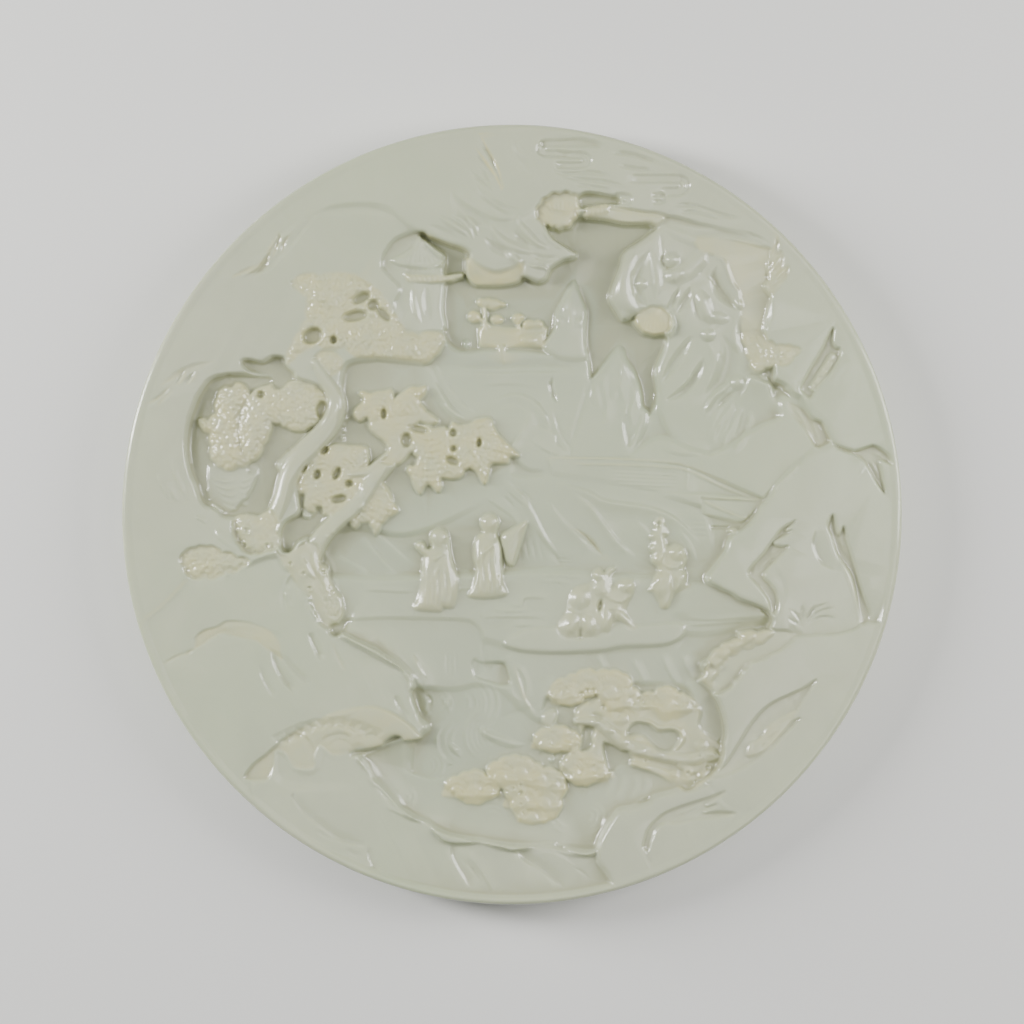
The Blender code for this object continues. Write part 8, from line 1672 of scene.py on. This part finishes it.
def ring_below(mesh, edges, radius, height):
    """Carries a rim of edges on to a ring of another radius and height, and returns the new rim."""
    made = bmesh.ops.extrude_edge_only(mesh, edges=edges)["geom"]
    for vert in (g for g in made if isinstance(g, bmesh.types.BMVert)):
        share = radius / math.hypot(vert.co.x, vert.co.y)
        vert.co = (vert.co.x * share, vert.co.y * share, height)
    return [g for g in made if isinstance(g, bmesh.types.BMEdge)]


def unfold(mesh):
    """Relaxes the corners of any triangle that the thinning has turned over."""
    for _ in range(UNFOLD_TRIES):
        mesh.normal_update()
        turned = [face for face in mesh.faces if face.normal.z < UPRIGHT]
        corners = {vert for face in turned for vert in face.verts if not vert.is_boundary}
        if not corners:
            return
        bmesh.ops.smooth_vert(mesh, verts=list(corners), factor=0.5, use_axis_x=True, use_axis_y=True,
                              use_axis_z=True)


def thinned_face(field, radius):
    """The carved face with few triangles where it is even, its edge on a circle of that radius."""
    steps = GRID_STEPS
    face = full_face(field, radius, steps)
    fewer = face.modifiers.new("thin_out", "DECIMATE")
    fewer.ratio = min(1.0, FACE_TRIANGLES / (2 * steps * steps))
    seen = face.evaluated_get(bpy.context.evaluated_depsgraph_get())
    mesh = bmesh.new()
    mesh.from_mesh(seen.to_mesh())
    bpy.data.objects.remove(face, do_unlink=True)
    bmesh.ops.triangulate(mesh, faces=mesh.faces)
    for vert in mesh.verts:
        vert.co.z = THICKNESS + min(vert.co.z / FLATTENED, 0.0)
    for vert in (v for v in mesh.verts if v.is_boundary):
        share = radius / math.hypot(vert.co.x, vert.co.y)
        vert.co = (vert.co.x * share, vert.co.y * share, THICKNESS)
    unfold(mesh)
    return mesh


def disc_mesh(field):
    """The whole panel: the carved face, the bevels, the edge and the flat back."""
    full = DIAMETER / 2
    mesh = thinned_face(field, full - FRONT_CHAMFER)
    rim = [edge for edge in mesh.edges if edge.is_boundary]
    rim = ring_below(mesh, rim, full - FRONT_CHAMFER * ROUND, THICKNESS - FRONT_CHAMFER * ROUND)
    rim = ring_below(mesh, rim, full, THICKNESS - FRONT_CHAMFER)
    rim = ring_below(mesh, rim, full, BACK_CHAMFER)
    rim = ring_below(mesh, rim, full - BACK_CHAMFER * ROUND, BACK_CHAMFER * ROUND)
    rim = ring_below(mesh, rim, full - BACK_CHAMFER, 0.0)
    bmesh.ops.contextual_create(mesh, geom=rim)
    bmesh.ops.recalc_face_normals(mesh, faces=mesh.faces)
    data = bpy.data.meshes.new("carved_jade_disc_fine")
    mesh.to_mesh(data)
    mesh.free()
    return data


def add_values(data, name, values):
    """Stores one number for each point of the mesh, which the jade's colours read by that name."""
    attribute = data.attributes.new(name, "FLOAT", "POINT")
    attribute.data.foreach_set("value", values.astype(np.float32))


def add_looks(data, field):
    """Stores where the skin is cream, how far a place lies in a hollow and how deep it is cut; the last two
    steer the painted shade in the jade's colour.
    """
    place = np.empty(len(data.vertices) * 3)
    data.vertices.foreach_get("co", place)
    x, y, z = place.reshape(-1, 3).T
    inside = np.hypot(x, y) < DIAMETER / 2 - FRONT_CHAMFER * 1.01
    on_face = inside & (z > THICKNESS - CARVING_DEPTH - FACE_SLACK)
    h = field.h
    near = softened(h, int(NEAR / field.pitch)) - h
    far = softened(h, int(FAR / field.pitch)) - h
    add_values(data, "cream", np.where(on_face, read(field, field.cream, x, y), 0))
    # how far a place lies below its surroundings, which steers the painted olive shade in the hollows
    add_values(data, "hollow", np.where(on_face, np.clip(read(field, near * 2 + far, x, y), -1, 1), 0))
    add_values(data, "depth", np.where(on_face, 1 - read(field, h, x, y), 0))


def place_disc():
    """Makes the carved disc, which takes the place of the plainer solid."""
    field = carve(FINE_PITCH)
    data = disc_mesh(field)
    add_looks(data, field)
    disc = bpy.data.objects.new("carved_jade_disc_fine", data)
    bpy.context.scene.collection.objects.link(disc)
    data.shade_smooth()
    data.set_sharp_from_angle(angle=math.radians(SHARP_ANGLE))
    data.materials.append(jade())
    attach(disc, "root")
    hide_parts("carved_jade_disc")


class Nodes:
    """Short calls for making and joining shader nodes."""

    def __init__(self, name):
        """A new material with its shader."""
        self.material = bpy.data.materials.new(name)
        self.material.use_nodes = True
        self.tree = self.material.node_tree
        self.shader = self.tree.nodes["Principled BSDF"]

    def new(self, kind, **values):
        """A node of a kind, with these of its settings."""
        node = self.tree.nodes.new("ShaderNode" + kind)
        for name, value in values.items():
            setattr(node, name, value)
        return node

    def join(self, out, into):
        """Links an output to an input."""
        self.tree.links.new(out, into)

    def fix(self, node, values):
        """Sets a node's inputs to plain values."""
        for name, value in values.items():
            node.inputs[name].default_value = value

    def place(self):
        """Where a point lies, in metres from the object's origin."""
        return self.new("TexCoord").outputs["Object"]

    def noise(self, place, scale, detail=3.0, rough=0.5, warp=0.0):
        """Cloudy noise from 0 to 1."""
        node = self.new("TexNoise")
        self.fix(node, {"Scale": scale, "Detail": detail, "Roughness": rough, "Distortion": warp})
        self.join(place, node.inputs["Vector"])
        return node.outputs["Fac"]

    def attribute(self, name):
        """The numbers that the mesh holds by that name."""
        return self.new("Attribute", attribute_name=name).outputs["Fac"]

    def range(self, value, low, high, to_low=0.0, to_high=1.0):
        """A value from low to high, carried over smoothly to another range."""
        node = self.new("MapRange", interpolation_type="SMOOTHSTEP")
        self.fix(node, {"From Min": low, "From Max": high, "To Min": to_low, "To Max": to_high})
        self.join(value, node.inputs["Value"])
        return node.outputs["Result"]

    def blend(self, share, first, second):
        """A mix of two colours, each a plain one or a node's output."""
        node = self.new("Mix", data_type="RGBA")
        self.join(share, node.inputs[0])
        for socket, colour in ((node.inputs[6], first), (node.inputs[7], second)):
            if isinstance(colour, tuple):
                socket.default_value = (*colour, 1.0)
            else:
                self.join(colour, socket)
        return node.outputs[2]

    def product(self, first, second):
        """One output times another."""
        node = self.new("Math", operation="MULTIPLY")
        self.join(first, node.inputs[0])
        self.join(second, node.inputs[1])
        return node.outputs[0]


def jade_colour(n, place):
    """Clouded grey-green and cream on the skin, with painted shade: darker where it is cut deep and olive in
    the hollows.
    """
    tint = n.range(n.noise(place, TINT_SCALE, 4.0, 0.55, 0.4), 0.30, 0.70)
    colour = n.blend(tint, JADE_LEFT, JADE_RIGHT)
    cloud = n.range(n.noise(place, CLOUD_SCALE, 5.0, 0.6, 0.6), 0.35, 0.75, 0.0, 0.5)
    colour = n.blend(cloud, colour, JADE_CLOUD)
    # painted shade: the deeper the carving is cut, the darker the colour
    deep = n.range(n.attribute("depth"), 0.35, 1.0, 0.0, 0.7)
    colour = n.blend(deep, colour, JADE_DEEP_SHADE)
    patches = n.range(n.noise(place, CREAM_SCALE), 0.25, 0.7, 0.45, 1.0)
    colour = n.blend(n.product(n.attribute("cream"), patches), colour, JADE_CREAM)
    # painted shade: the further a place lies below its surroundings, the more olive and dark it is
    hollow = n.range(n.attribute("hollow"), 0.02, 0.34, 0.0, 0.75)
    return n.blend(hollow, colour, JADE_HOLLOW_SHADE)


def jade():
    """Pale grey-green jade: clouded, waxy and cream where the carving is open, with painted shade that
    darkens the deep cuts and turns the hollows olive.
    """
    n = Nodes("pale_jade")
    place = n.place()
    n.join(jade_colour(n, place), n.shader.inputs["Base Color"])
    rough = n.range(n.noise(place, POLISH_SCALE, 4.0), 0.3, 0.7, SMOOTHEST, ROUGHEST)
    n.join(rough, n.shader.inputs["Roughness"])
    grain = n.new("Bump")
    n.fix(grain, {"Strength": GRAIN_STRENGTH, "Distance": GRAIN_HEIGHT})
    n.join(n.noise(place, GRAIN_SCALE, 4.0, 0.6), grain.inputs["Height"])
    n.join(grain.outputs["Normal"], n.shader.inputs["Normal"])
    n.fix(n.shader, {"IOR": JADE_IOR, "Coat Weight": COAT, "Coat Roughness": COAT_ROUGHNESS})
    n.fix(n.shader, {"Subsurface Weight": GLOW, "Subsurface Radius": GLOW_COLOURS,
                     "Subsurface Scale": GLOW_REACH})
    return n.material


def floor():
    """A pale, dull floor just under the disc's back."""
    n = Nodes("pale_floor")
    colour = n.blend(n.noise(n.place(), 3.0), FLOOR_DARK, FLOOR_PALE)
    n.join(colour, n.shader.inputs["Base Color"])
    n.fix(n.shader, {"Roughness": FLOOR_ROUGHNESS})
    bpy.ops.mesh.primitive_plane_add(size=FLOOR_SIZE, location=(0, 0, -FLOOR_GAP))
    ground = bpy.context.object
    ground.name = "floor"
    ground.data.materials.append(n.material)


def soft_light(name, size, place, watts, colour, aim=(0, 0, 0)):
    """A large, soft lamp that faces a point."""
    light = bpy.data.lights.new(name, "AREA")
    light.shape = "RECTANGLE"
    light.size, light.size_y = size
    light.energy = watts
    light.color = colour
    lamp = bpy.data.objects.new(name, light)
    bpy.context.scene.collection.objects.link(lamp)
    lamp.location = place
    lamp.rotation_euler = (Vector(aim) - Vector(place)).to_track_quat("-Z", "Y").to_euler()


def light_up():
    """A low light on each side that draws the relief, a soft sheen, a weak overhead light and the room."""
    soft_light("softbox_left", LEFT_SIZE, LEFT_PLACE, LEFT_WATTS, LEFT_COLOUR)
    soft_light("softbox_right", RIGHT_SIZE, RIGHT_PLACE, RIGHT_WATTS, RIGHT_COLOUR)
    soft_light("sheen", SHEEN_SIZE, SHEEN_PLACE, SHEEN_WATTS, SHEEN_COLOUR, SHEEN_AIM)
    soft_light("overhead", TOP_SIZE, TOP_PLACE, TOP_WATTS, TOP_COLOUR)
    world = bpy.data.worlds.new("soft_room")
    bpy.context.scene.world = world
    world.use_nodes = True
    background = world.node_tree.nodes["Background"]
    background.inputs["Color"].default_value = ROOM_COLOUR
    background.inputs["Strength"].default_value = ROOM


def camera():
    """Straight above the disc, with the landscape upright in the picture."""
    data = bpy.data.cameras.new("camera")
    data.lens, data.sensor_width = LENS, SENSOR
    data.clip_start, data.clip_end = 0.01, 20.0
    cam = bpy.data.objects.new("camera", data)
    bpy.context.scene.collection.objects.link(cam)
    pixel = PICTURE_WIDTH / PICTURE_PIXELS
    height = THICKNESS + PICTURE_WIDTH * LENS / SENSOR
    cam.location = (0, CENTRE_BELOW_MIDDLE * pixel, height)
    cam.rotation_euler = (0, 0, 0)
    bpy.context.scene.camera = cam


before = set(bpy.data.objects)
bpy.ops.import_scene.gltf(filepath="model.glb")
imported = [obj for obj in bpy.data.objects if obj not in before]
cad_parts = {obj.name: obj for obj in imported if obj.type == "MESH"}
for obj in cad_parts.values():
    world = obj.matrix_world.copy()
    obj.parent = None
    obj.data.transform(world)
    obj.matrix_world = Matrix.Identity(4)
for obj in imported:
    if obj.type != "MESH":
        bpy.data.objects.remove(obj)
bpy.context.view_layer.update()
camera()
place_disc()
floor()
light_up()
